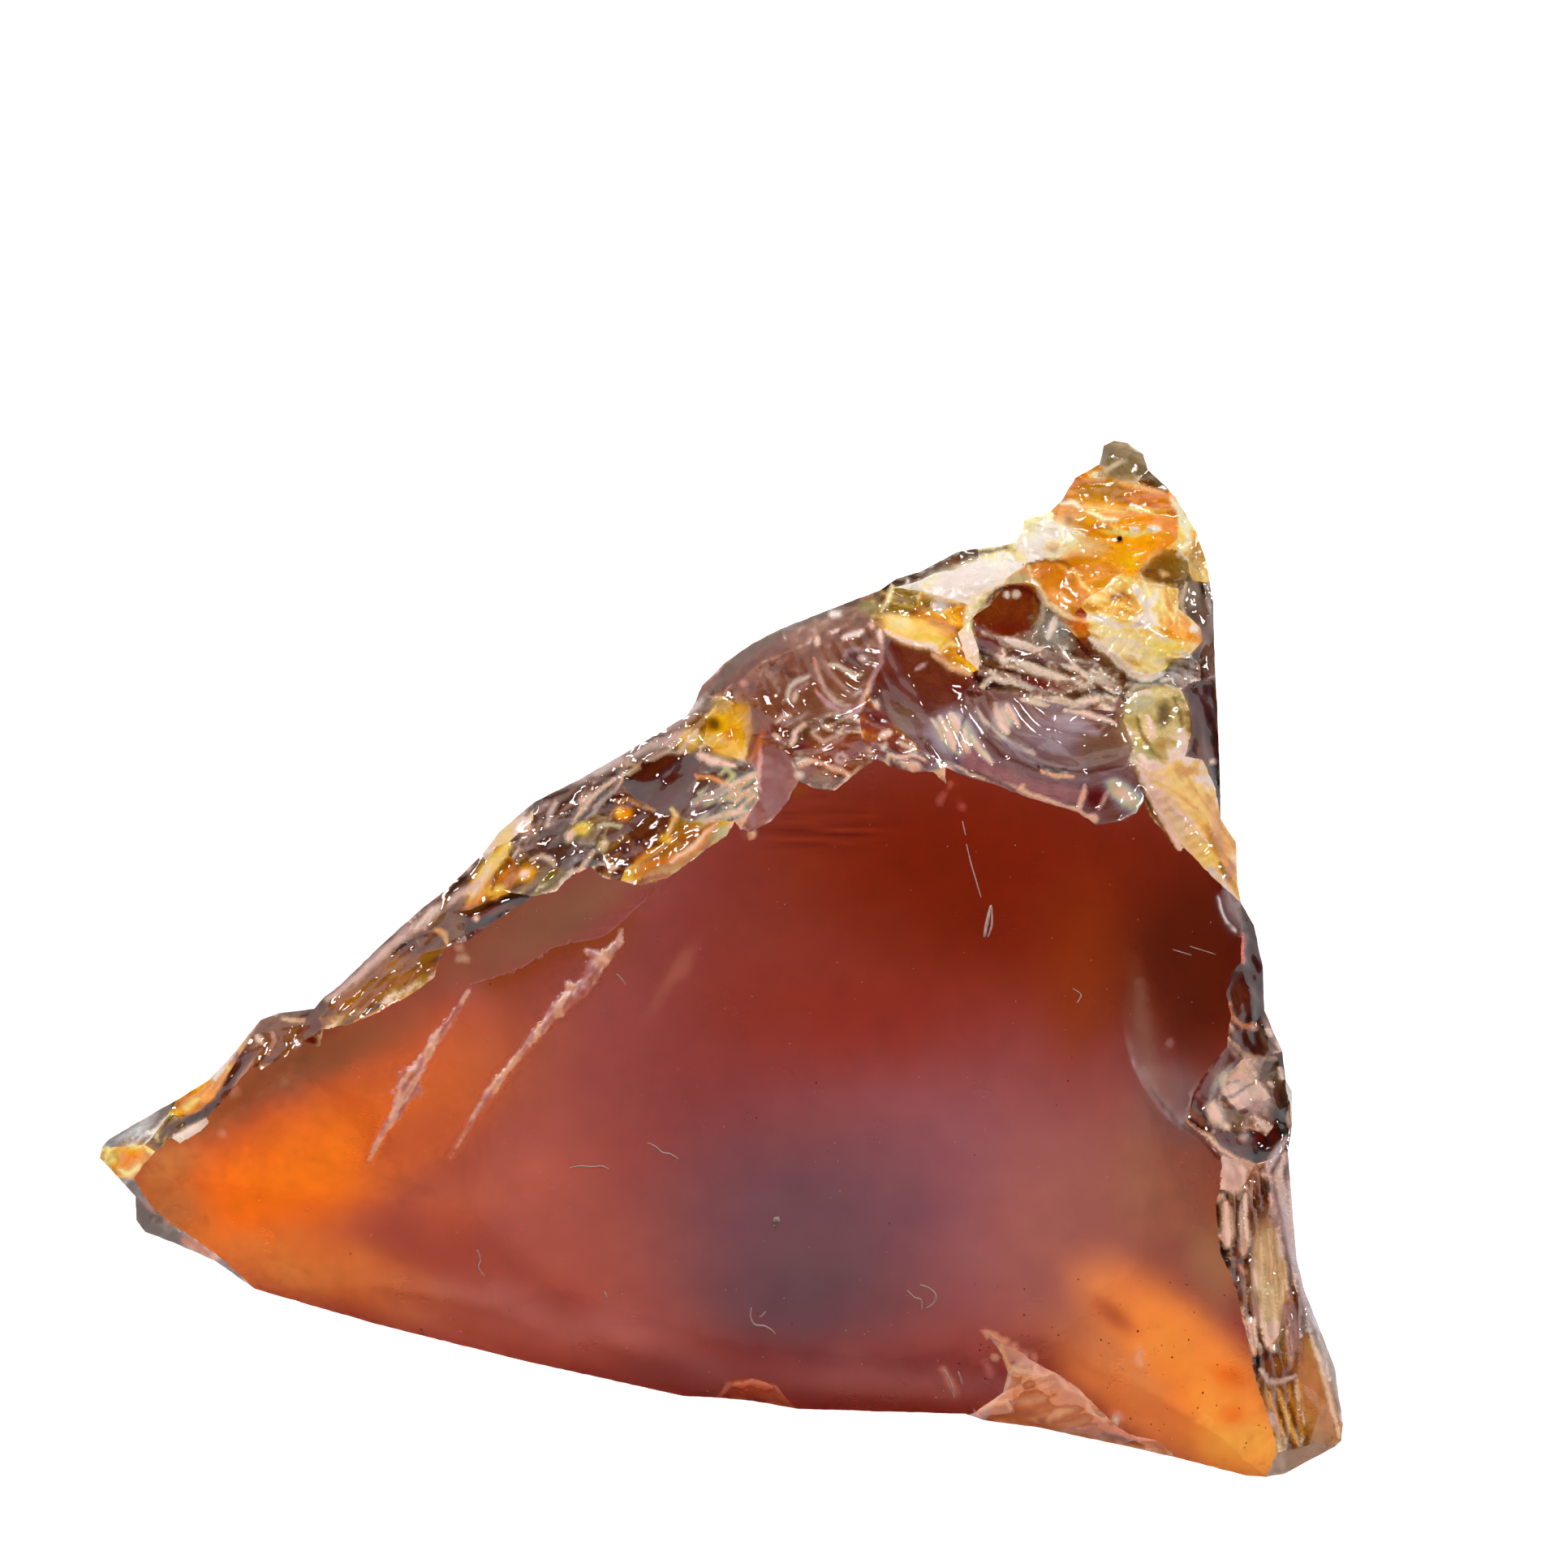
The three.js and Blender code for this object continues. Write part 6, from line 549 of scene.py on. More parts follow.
    ("lobe pale", (1386, 794), (34, 20, 20), (246, 214, 154), 0.85, 0.6),
    ("lobe cream edge", [(1344, 786), (1366, 804), (1390, 824), (1404, 834)], 4.2, (252, 238, 214), 0.95, 0.5),
    ("lobe tip", (1460, 784), (20, 13, 15), (248, 156, 38), 0.95, 0.72),
    ("lobe tip light", (1472, 775), (6, 5, 0), (255, 246, 232), 0.9, 0.5),
    ("lobe gold low", (1438, 800), (22, 13, 0), (244, 186, 90), 0.85, 0.65),
    ("lobe olive", (1442, 816), (9, 6, 0), (110, 92, 32), 0.88, 0.85),
    ("lobe foot", [(1396, 830), (1414, 837), (1432, 832)], 4.0, (250, 246, 240), 0.95, 0.5),
    ("lobe red", (1332, 770), (11, 10, 30), (200, 106, 26), 0.9, 0.8),
    ("strip grey", [(1470, 726), (1484, 760), (1492, 800), (1496, 832)], 10, (116, 96, 84), 0.9, 0.85),
    ("strip pane", (1466, 734), (9, 20, 0), (146, 132, 116), 0.85, 0.8),
    ("strip pane edge", [(1456, 756), (1456, 736), (1462, 718)], 2.8, (216, 190, 150), 0.85, 0.65),
    # cream triangle and the gold under it
    ("triangle cream", (1196, 714), (54, 24, -16), (253, 242, 208), 0.96, 0.55),
    ("triangle back", [(1150, 700), (1180, 686), (1212, 681), (1242, 674)], 3.6, (104, 84, 70), 0.9, 0.85),
    ("triangle brown", (1176, 692), (14, 5, -15), (116, 76, 50), 0.88, 0.88),
    ("triangle foot", [(1195, 745), (1192, 775), (1200, 806), (1206, 818)], 5, (248, 226, 172), 0.9, 0.55),
    ("gold field", (1130, 778), (48, 17, 14), (238, 186, 96), 0.92, 0.62),
    ("gold field light", (1106, 766), (16, 10, 20), (255, 226, 156), 0.8, 0.55),
    ("gold field vein", [(1086, 752), (1094, 738), (1100, 722)], 3.2, (250, 226, 176), 0.85, 0.55),
    ("gold field edge", [(1090, 776), (1116, 790), (1146, 796), (1160, 806)], 3.2, (250, 226, 190), 0.88, 0.55),
    ("olive patch", (1142, 744), (12, 10, 0), (126, 102, 46), 0.9, 0.85),
    ("olive patch", (1072, 748), (16, 9, -10), (146, 138, 92), 0.85, 0.8),
    ("crystal", (1158, 746), (10, 8, 0), (196, 190, 180), 0.9, 0.65),
    ("crystal light", (1152, 746), (4, 4, 0), (250, 250, 246), 0.95, 0.5),
    ("tan foot", [(1150, 806), (1172, 822), (1196, 828)], 4.5, (222, 172, 126), 0.9, 0.65),
    ("tan loop", [(1160, 800), (1172, 792), (1186, 800)], 3.0, (244, 206, 130), 0.8, 0.6),
    # the pit; the grey ring line round it and the two pit lights are painted highlights
    ("pit", (1239, 754), (40, 30, -18), (124, 76, 36), 1.0, 0.97),
    ("pit floor", (1244, 776), (26, 10, -5), (122, 62, 46), 0.85, 0.95),
    ("pit brim", [(1216, 742), (1228, 728), (1248, 722), (1268, 728), (1278, 742)], 3.6, (90, 34, 16), 0.9, 0.95),
    ("pit light", (1240, 733), (4, 3.6, 0), (246, 236, 220), 0.95, 0.5),
    ("pit light", (1253, 733), (4, 3.6, 0), (238, 226, 210), 0.95, 0.5),
    ("pit ring", [(1280, 728), (1288, 744), (1284, 764), (1274, 782)], 3.4, (160, 142, 118), 0.88, 0.8),
    ("pit ring", [(1272, 738), (1277, 750), (1270, 764)], 2.8, (120, 92, 50), 0.8, 0.88),
    ("pit cap", (1256, 712), (18, 6, 0), (184, 170, 128), 0.88, 0.7),
    # right top: pale green chip, dark facet, long yellow flake
    ("green chip", (1424, 890), (42, 48, 10), (188, 168, 112), 0.65, 0.75),
    ("green chip grey", (1406, 866), (18, 11, -15), (176, 168, 138), 0.85, 0.7),
    ("green chip dark", (1434, 880), (9, 18, 10), (108, 92, 70), 0.9, 0.85),
    ("green chip gold", (1432, 918), (9, 13, 20), (176, 136, 46), 0.88, 0.8),
    ("green chip cream", [(1456, 900), (1458, 918), (1452, 932)], 5, (252, 250, 230), 0.95, 0.5),
    ("green chip cream", [(1404, 932), (1416, 942), (1430, 944)], 5, (254, 248, 224), 0.92, 0.5),
    ("green chip amber", (1412, 906), (12, 12, 0), (244, 212, 124), 0.85, 0.6),
    ("green chip nook", [(1400, 884), (1408, 906), (1420, 928)], 3.2, (112, 92, 54), 0.8, 0.9),
    ("green chip nook", [(1446, 858), (1454, 880), (1456, 896)], 3.6, (120, 104, 70), 0.8, 0.88),
    ("green chip white", [(1412, 882), (1420, 896), (1418, 914)], 3.0, (244, 240, 214), 0.85, 0.55),
    ("green chip rim", [(1386, 858), (1400, 846), (1424, 842)], 3.0, (196, 186, 156), 0.8, 0.7),
    ("dark window", (1480, 880), (13, 44, 4), (90, 50, 42), 0.97, 0.96),
    ("dark window foot", (1484, 926), (12, 14, 0), (118, 90, 80), 0.8, 0.9),
    ("window dot", (1494, 938), (4, 4, 0), (236, 234, 240), 0.9, 0.55),
    ("seam white", [(1404, 842), (1424, 836), (1444, 838)], 3.4, (226, 228, 232), 0.92, 0.6),
    ("seam dark", [(1400, 842), (1420, 842), (1440, 832)], 2.6, (52, 46, 46), 0.8, 0.95),
    ("flake body", (1460, 1000), (30, 70, -32), (240, 204, 128), 0.75, 0.6),
    ("flake brown", (1464, 950), (22, 8, 5), (196, 150, 84), 0.85, 0.7),
    ("flake left", [(1404, 944), (1418, 978), (1436, 1012), (1458, 1050), (1476, 1080)], 4.6, (254, 238, 200), 0.92, 0.5),
    ("flake shade", [(1400, 952), (1412, 986), (1432, 1020), (1452, 1052)], 3.2, (106, 66, 42), 0.85, 0.92),
    ("flake vein", [(1420, 962), (1448, 976), (1480, 1000)], 3.2, (212, 160, 74), 0.75, 0.7),
    ("flake vein", [(1440, 990), (1466, 1010), (1488, 1040)], 3.2, (255, 236, 170), 0.8, 0.55),
    ("flake olive", (1498, 1036), (9, 24, -25), (170, 140, 62), 0.8, 0.78),
    ("flake olive foot", [(1504, 1064), (1516, 1088)], 6, (140, 118, 66), 0.85, 0.82),
    # dark lobe, scoop and painted glint; the small scoop dots are painted highlights too
    ("lobe dark", (1538, 1190), (24, 78, 4), (82, 50, 44), 0.97, 0.95),
    ("lobe dark pane", (1528, 1232), (15, 26, 8), (106, 70, 56), 0.8, 0.92),
    ("lobe rim", [(1548, 1120), (1556, 1160), (1559, 1200), (1557, 1240)], 3.6, (112, 92, 90), 0.8, 0.88),
    ("lobe vein", [(1531, 1152), (1531, 1186)], 2.8, (214, 138, 124), 0.92, 0.7),
    ("lobe curve", [(1514, 1236), (1520, 1254), (1532, 1264), (1546, 1262)], 2.8, (212, 164, 118), 0.88, 0.7),
    ("lobe dot", (1545, 1267), (5, 4, 0), (236, 230, 226), 0.9, 0.55),
    ("lobe ground", (1544, 1284), (28, 15, 20), (76, 48, 28), 0.92, 0.95),
    ("hatch", (1568, 1276), (12, 22, -25), (146, 134, 120), 0.75, 0.8),
    ("hatch dark", [(1556, 1262), (1562, 1280), (1572, 1292)], 2.8, (56, 44, 34), 0.85, 0.95),
    ("hatch white", [(1562, 1268), (1566, 1274)], 3.4, (238, 234, 230), 0.9, 0.5),
    ("hatch white", [(1574, 1282), (1578, 1292)], 3.6, (244, 242, 236), 0.9, 0.5),
    ("glass curve", [(1515, 1284), (1534, 1300), (1552, 1304), (1572, 1304)], 2.8, (194, 176, 156), 0.88, 0.7),
    ("glass grey", (1564, 1326), (28, 20, 20), (108, 96, 78), 0.85, 0.88),
    ("glass dots", [(1544, 1320), (1548, 1324)], 3.2, (240, 238, 230), 0.88, 0.5),
    ("glass dots", [(1562, 1332), (1568, 1338)], 3.2, (226, 214, 196), 0.85, 0.55),
    ("glass dots", [(1578, 1316), (1580, 1328)], 3.4, (240, 230, 214), 0.85, 0.55),
    ("scoop ground", (1476, 1316), (44, 56, -30), (108, 48, 36), 0.8, 0.95),
    ("scoop mauve", (1500, 1310), (22, 18, 0), (116, 78, 72), 0.75, 0.9),
    ("scoop hatch", [(1492, 1352), (1504, 1328), (1518, 1312)], 4, (146, 140, 136), 0.75, 0.8),
    ("scoop hatch dark", [(1498, 1354), (1510, 1332), (1522, 1318)], 2.8, (64, 50, 48), 0.8, 0.95),
    ("glint", (1532, 1342), (29, 17, 28), (252, 254, 255), 1.0, 0.4),
    ("glint hatch", [(1506, 1356), (1526, 1346), (1544, 1334)], 2.6, (96, 92, 92), 0.8, 0.8),
    ("glint hatch", [(1512, 1336), (1528, 1330)], 2.6, (110, 106, 106), 0.75, 0.8),
    ("glint shade", (1549, 1362), (18, 12, 20), (170, 146, 136), 0.88, 0.75),
    ("glint two", (1497, 1372), (9, 14, -28), (240, 238, 232), 0.95, 0.5),
    ("bowl olive", (1524, 1382), (20, 11, 10), (140, 118, 88), 0.85, 0.82),
    ("bowl light", (1510, 1388), (6, 3.6, 20), (230, 220, 206), 0.9, 0.55),
    ("bowl light", (1531, 1402), (6, 6, 0), (222, 214, 200), 0.88, 0.6),
    ("bowl red", [(1500, 1398), (1520, 1412), (1544, 1412), (1556, 1396)], 9, (98, 42, 22), 0.92, 0.96),
    ("bowl dark", (1578, 1374), (9, 16, 0), (60, 34, 22), 0.9, 0.97),
    ("bowl rim right", [(1590, 1360), (1588, 1378), (1592, 1392)], 3, (200, 186, 168), 0.75, 0.7),
    ("scoop lip inner", [(1414, 1300), (1430, 1330), (1452, 1356), (1484, 1386)], 6, (146, 100, 82), 0.7, 0.88),
    ("scoop lip", [(1422, 1332), (1438, 1356), (1456, 1376), (1470, 1392), (1490, 1400), (1502, 1416), (1524, 1428), (1546, 1436), (1552, 1450)], 2.8, (220, 184, 150), 0.95, 0.65),
    ("scoop lip shade", [(1418, 1340), (1434, 1364), (1452, 1384), (1484, 1406), (1498, 1424), (1520, 1436)], 3.0, (96, 46, 26), 0.8, 0.95),
    ("scoop highlight dot", (1440, 1288), (3.0, 2.4, -30), (248, 186, 176), 0.55, 0.75),
    ("scoop highlight dot", (1441, 1234), (2.4, 2.4, 0), (210, 130, 110), 0.5, 0.8),
    ("scoop highlight dot", (1458, 1240), (2.4, 2.4, 0), (190, 110, 90), 0.4, 0.8),
    ("scoop highlight dot", (1475, 1335), (2.4, 2.4, 0), (210, 130, 118), 0.5, 0.8),
    ("scoop band", [(1404, 1210), (1408, 1260), (1418, 1310), (1438, 1348)], 9, (132, 74, 52), 0.55, 0.9),
    # right flank; its silver streaks are painted reflections
    ("flank block", (1518, 1449), (18, 14, 8), (248, 234, 216), 0.97, 0.5),
    ("flank block side", (1547, 1456), (11, 13, 0), (148, 108, 80), 0.88, 0.85),
    ("flank brown", (1540, 1495), (34, 26, 30), (98, 60, 42), 0.88, 0.93),
    ("flank column", [(1511, 1484), (1513, 1510), (1511, 1534)], 7, (244, 228, 200), 0.96, 0.5),
    ("flank column shade", [(1524, 1476), (1525, 1510), (1524, 1548)], 3.8, (84, 46, 28), 0.9, 0.95),
    ("flank column", [(1536, 1474), (1533, 1500), (1531, 1546)], 5.5, (228, 216, 202), 0.95, 0.55),
    ("flank nub", (1502, 1475), (4.5, 6, 0), (240, 220, 196), 0.9, 0.55),
    ("flank dark", [(1546, 1478), (1550, 1500), (1544, 1530), (1542, 1570), (1552, 1630)], 4.2, (74, 44, 28), 0.9, 0.95),
    ("flank long", (1563, 1578), (19, 76, -5), (202, 182, 140), 0.97, 0.58),
    ("flank long pale", (1562, 1536), (12, 26, 0), (206, 190, 146), 0.7, 0.65),
    ("flank long foot", (1566, 1640), (8, 11, 0), (254, 246, 230), 0.95, 0.5),
    ("flank long thread", [(1568, 1520), (1574, 1560), (1578, 1600)], 2.8, (176, 154, 112), 0.7, 0.7),
    ("flank shade right", [(1572, 1466), (1580, 1500), (1587, 1545), (1592, 1590)], 4.4, (78, 66, 52), 0.92, 0.92),
    ("flank lights", [(1578, 1532), (1580, 1548)], 3.6, (226, 222, 214), 0.9, 0.6),
    ("silver right", [(1576, 1452), (1580, 1480), (1588, 1516), (1598, 1556), (1612, 1606), (1626, 1640)], 7, (206, 206, 212), 0.92, 0.7),
    ("silver right hatch", [(1562, 1450), (1572, 1424), (1586, 1402)], 6, (204, 204, 210), 0.85, 0.7),
    ("silver hatch dark", [(1568, 1446), (1580, 1420)], 2.8, (70, 62, 60), 0.85, 0.92),
    ("mauve plate", [(1586, 1610), (1596, 1640), (1592, 1668)], 9, (166, 140, 138), 0.85, 0.85),
    ("left rag", [(1522, 1540), (1530, 1572), (1534, 1608)], 7, (112, 70, 48), 0.85, 0.93),
    ("left rag light", [(1526, 1560), (1534, 1568)], 3.2, (196, 150, 130), 0.8, 0.7),
    ("left rag light", [(1534, 1596), (1538, 1604)], 3.2, (150, 112, 70), 0.75, 0.8),
    ("left rose", [(1544, 1606), (1550, 1628)], 4.6, (156, 112, 100), 0.85, 0.88),
    ("left pale", [(1539, 1626), (1545, 1646), (1546, 1668)], 5.5, (232, 214, 194), 0.93, 0.55),
    ("left pale shade", [(1548, 1636), (1556, 1656)], 3, (92, 50, 30), 0.88, 0.95),
    ("mid light", [(1562, 1656), (1572, 1662)], 4, (244, 234, 222), 0.92, 0.55),
    ("mid brown", (1574, 1684), (20, 12, 0), (136, 88, 50), 0.88, 0.9),
    ("mid teeth", [(1552, 1688), (1564, 1704), (1580, 1702), (1596, 1696)], 3.2, (222, 200, 196), 0.85, 0.65),
    ("mid wine", [(1596, 1666), (1600, 1684)], 4.4, (80, 50, 36), 0.88, 0.95),
    ("flute gold", (1578, 1740), (26, 44, -20), (150, 98, 44), 0.8, 0.88),
    ("flute line", [(1562, 1716), (1572, 1744), (1582, 1770)], 3, (214, 158, 92), 0.85, 0.75),
    ("flute line", [(1574, 1712), (1586, 1742), (1598, 1776)], 3, (218, 164, 96), 0.85, 0.75),
    ("flute line", [(1588, 1712), (1598, 1742), (1606, 1768)], 3, (186, 122, 54), 0.8, 0.8),
    ("flute shade", [(1568, 1712), (1580, 1746), (1590, 1780)], 2.8, (98, 58, 22), 0.85, 0.93),
    ("flute shade", [(1582, 1712), (1592, 1742), (1602, 1778)], 2.8, (92, 54, 20), 0.85, 0.93),
    ("flute pearl", (1566, 1750), (6, 10, 0), (196, 172, 156), 0.88, 0.7),
    ("plate brown", (1624, 1722), (22, 62, -16), (180, 122, 74), 0.94, 0.9),
    ("plate edge", [(1616, 1650), (1630, 1690), (1646, 1748), (1652, 1770)], 3.0, (222, 192, 160), 0.9, 0.65),
    ("plate rim", [(1630, 1650), (1644, 1690), (1654, 1740)], 5, (176, 160, 148), 0.85, 0.78),
    ("bottom plate", (1612, 1792), (36, 13, -24), (150, 114, 88), 0.9, 0.9),
    # left tip and ledge
    ("tip pane", (166, 1386), (38, 13, -32), (194, 195, 192), 0.96, 0.75),
    ("tip pane back", [(126, 1414), (146, 1396), (176, 1376)], 4.4, (116, 116, 110), 0.85, 0.85),
    ("tip grey wedge", [(186, 1392), (200, 1374), (214, 1362)], 5, (120, 110, 104), 0.85, 0.85),
    ("tip wedge", (158, 1428), (30, 16, -22), (244, 172, 66), 0.97, 0.7),
    ("tip wedge core", (158, 1428), (13, 9, -10), (232, 132, 22), 0.8, 0.8),
    ("tip wedge pale", (138, 1426), (10, 9, 0), (226, 206, 128), 0.85, 0.65),
    ("tip wedge light", [(146, 1442), (160, 1446), (172, 1436)], 4.2, (255, 220, 150), 0.85, 0.6),
    ("tip dark", [(196, 1402), (208, 1390), (222, 1382)], 5, (92, 60, 40), 0.88, 0.93),
    ("strip gold", [(222, 1370), (244, 1356), (264, 1342), (276, 1320)], 8.5, (240, 172, 66), 0.96, 0.7),
    ("strip gold light", [(228, 1364), (246, 1352)], 4, (255, 212, 130), 0.8, 0.55),
    ("strip white", [(264, 1330), (280, 1304), (298, 1280), (316, 1262)], 4.6, (250, 242, 228), 0.95, 0.5),
    ("strip shade", [(266, 1352), (284, 1326), (300, 1302), (312, 1286)], 4.2, (104, 64, 36), 0.9, 0.94),
    ("cream blob", [(216, 1403), (236, 1394), (254, 1382)], 5.6, (254, 238, 216), 0.98, 0.5),
    ("ledge", (346, 1276), (50, 26, -10), (142, 100, 68), 0.85, 0.88),
    ("ledge light", [(318, 1276), (322, 1286)], 3.6, (232, 212, 190), 0.88, 0.6),
    ("ledge light", [(334, 1272), (338, 1284), (330, 1300)], 3.0, (196, 158, 140), 0.8, 0.7),
    ("ledge thread", [(286, 1342), (298, 1326), (314, 1308)], 2.8, (196, 146, 120), 0.85, 0.75),
    ("ledge top", [(326, 1256), (352, 1250), (392, 1247)], 3.6, (118, 98, 82), 0.85, 0.85),
    ("ledge top light", [(348, 1254), (356, 1257), (374, 1258)], 3.0, (226, 200, 168), 0.85, 0.6),
    ("ledge red", (386, 1284), (11, 7, 10), (100, 40, 10), 0.95, 0.97),
    ("ledge shade", (386, 1264), (9, 12, 0), (112, 72, 42), 0.85, 0.92),
    ("bump light", (350, 1332), (4, 6, 0), (176, 116, 80), 0.6, 0.85),
    ("bump shade", [(346, 1310), (362, 1304), (380, 1308)], 3.4, (124, 76, 46), 0.6, 0.92),
    ("bump light", (290, 1344), (4.5, 4.5, 0), (240, 180, 150), 0.85, 0.65),
    ("bump light", (274, 1399), (4, 2.8, 0), (226, 146, 110), 0.7, 0.75),
    ("tip side dark", [(160, 1462), (172, 1484), (174, 1508), (196, 1522), (226, 1534)], 10, (98, 82, 78), 0.9, 0.86),
    ("tip side rose", [(228, 1528), (248, 1540), (266, 1552)], 6.5, (206, 132, 100), 0.85, 0.75),
    ("tip side dot", (265, 1546), (6, 6, 0), (240, 196, 184), 0.9, 0.6),
    ("tip side dot", (206, 1505), (4, 4, 0), (214, 150, 130), 0.75, 0.7),
    ("tip side thread", [(172, 1476), (184, 1486), (192, 1494)], 3.0, (176, 136, 120), 0.7, 0.75),
    # chips at the foot
    ("foot chip ground", (1300, 1728), (84, 28, 20), (212, 168, 134), 0.85, 0.85),
    ("foot chip grey", (1256, 1668), (30, 16, 30), (190, 146, 142), 0.88, 0.8),
    ("foot chip rose", (1292, 1688), (26, 9, 25), (206, 152, 132), 0.85, 0.75),
    ("foot chip edge", [(1208, 1636), (1226, 1648), (1250, 1660), (1278, 1676)], 2.8, (220, 150, 136), 0.85, 0.7),
    ("foot chip edge", [(1234, 1658), (1240, 1678), (1244, 1696), (1238, 1714), (1214, 1730), (1196, 1738)], 3.4, (214, 190, 180), 0.93, 0.6),
    ("foot chip edge", [(1240, 1678), (1252, 1688), (1266, 1690)], 3.2, (214, 192, 196), 0.85, 0.65),
    ("foot chip loop", [(1276, 1678), (1276, 1688), (1284, 1696), (1298, 1690)], 3.0, (242, 206, 192), 0.9, 0.6),
    ("foot chip brim", [(1298, 1684), (1314, 1708), (1330, 1714), (1344, 1722), (1362, 1730)], 3.6, (244, 206, 184), 0.95, 0.6),
    ("foot chip brim", [(1340, 1722), (1344, 1736), (1362, 1748), (1376, 1740)], 3.4, (238, 206, 186), 0.92, 0.6),
    ("foot chip end", (1382, 1758), (14, 11, 35), (206, 160, 138), 0.9, 0.75),
    ("foot chip dot", (1376, 1747), (5, 5, 0), (246, 230, 226), 0.92, 0.55),
    ("foot chip wedge", (1420, 1776), (22, 8, 18), (226, 172, 134), 0.92, 0.7),
    ("foot chip dark", [(1360, 1766), (1380, 1772), (1410, 1782)], 3.6, (124, 72, 48), 0.85, 0.9),
    ("foot chip left", (1226, 1736), (24, 9, 10), (176, 140, 100), 0.85, 0.8),
    ("foot chip left light", [(1206, 1738), (1224, 1728), (1240, 1726), (1248, 1738)], 3.2, (230, 204, 172), 0.88, 0.6),
    ("foot streak", [(1300, 1736), (1316, 1742), (1326, 1750)], 3.4, (214, 160, 112), 0.75, 0.75),
    ("foot streak", [(1270, 1748), (1280, 1752)], 4, (206, 170, 128), 0.75, 0.75),
    ("small chip", (930, 1714), (44, 11, 8), (158, 98, 84), 0.7, 0.8),
    ("small chip edge", [(884, 1722), (900, 1706), (926, 1700), (952, 1708), (980, 1730)], 2.8, (204, 158, 146), 0.8, 0.7),
    ("scar", [(1162, 1686), (1172, 1702), (1178, 1720)], 3.2, (206, 150, 142), 0.85, 0.7),
    ("scar", [(1186, 1694), (1194, 1710)], 2.8, (176, 106, 106), 0.7, 0.8),
    ("scar", [(1214, 1682), (1222, 1692), (1228, 1698)], 2.8, (190, 120, 120), 0.75, 0.8),
    ("scar", (1225, 1674), (3, 3, 0), (236, 200, 190), 0.85, 0.6),
    ("scar", [(1401, 1662), (1408, 1680)], 2.6, (255, 214, 168), 0.85, 0.65),
]
# each mark keeps to the large face or to the chips, whichever holds most of it
def mark_weight(shape, size, x, y):
    """How strongly a mark is present at each place, from 0 to 1."""
    if isinstance(shape, list):
        r, t, _ = along(shape, x, y)
        half = size * (0.45 + 0.55 * np.sqrt(np.clip(np.sin(np.pi * np.clip(t, 0.02, 0.98)), 0, 1)))
        return np.exp(-(r / half) ** 3)
    c, s = math.cos(math.radians(size[2])), math.sin(math.radians(size[2]))
    dx, dy = x - shape[0], y - shape[1]
    a, b = (dx * c + dy * s) / size[0], (-dx * s + dy * c) / size[1]
    return np.exp(-((a * a + b * b) ** (1.6 if size[0] + size[1] < 60 else 2.2)))


def reach(shape, size):
    """Box round a mark."""
    if isinstance(shape, list):
        q = np.array(shape, float)
        return q.min(0) - 2 * size, q.max(0) + 2 * size
    m = 1.7 * max(size[0], size[1])
    return np.array(shape, float) - m, np.array(shape, float) + m


def marked(x, y, each):
    """Runs `each` for every mark, on the places near it."""
    wx = x + 2.2 * layered(x / 13, y / 13, 301, 2)
    wy = y + 2.2 * layered(x / 13, y / 13, 307, 2)
    for name, shape, size, rgb, strength, cl in MARKS:
        lo, hi = reach(shape, size)
        near = np.nonzero((wx > lo[0]) & (wx < hi[0]) & (wy > lo[1]) & (wy < hi[1]))[0]
        if len(near):
            each(near, mark_weight(shape, size, wx[near], wy[near]) * strength, rgb, cl, shape)



# ---------------------------------------------------------------- small helpers
def ease(a, b, x):
    t = np.clip((np.asarray(x, float) - a) / (b - a), 0.0, 1.0)
    return t * t * (3 - 2 * t)


def hashed(ix, iy, seed):
    """A repeatable number from 0 to 1 for each whole-number place."""
    a = (ix.astype(np.int64) * 374761393 + iy.astype(np.int64) * 668265263 + seed * 2147483647) & 0xFFFFFFFF
    a = ((a ^ (a >> 13)) * 1274126177) & 0xFFFFFFFF
    a = (a ^ (a >> 16)) & 0xFFFFFFFF
    a = ((a ^ (a >> 15)) * 2246822519) & 0xFFFFFFFF
    a = a ^ (a >> 13)
    return (a & 0xFFFFFF) / float(0xFFFFFF)


def smooth_noise(x, y, seed):
    """Value noise from -1 to 1 on a unit lattice."""
    ix, iy = np.floor(x), np.floor(y)
    fx, fy = x - ix, y - iy
    fx = fx * fx * fx * (fx * (fx * 6 - 15) + 10)
    fy = fy * fy * fy * (fy * (fy * 6 - 15) + 10)
    ix, iy = ix.astype(np.int64), iy.astype(np.int64)
    a, b = hashed(ix, iy, seed), hashed(ix + 1, iy, seed)
    c, d = hashed(ix, iy + 1, seed), hashed(ix + 1, iy + 1, seed)
    return 2 * ((a * (1 - fx) + b * fx) * (1 - fy) + (c * (1 - fx) + d * fx) * fy) - 1


def layered(x, y, seed, octaves=4, fall=0.5):
    total, weight, amp = 0.0, 0.0, 1.0
    for k in range(octaves):
        total = total + amp * smooth_noise(x * 2 ** k + 17.3 * k, y * 2 ** k - 9.1 * k, seed + k)
        weight += amp
        amp *= fall
    return total / weight


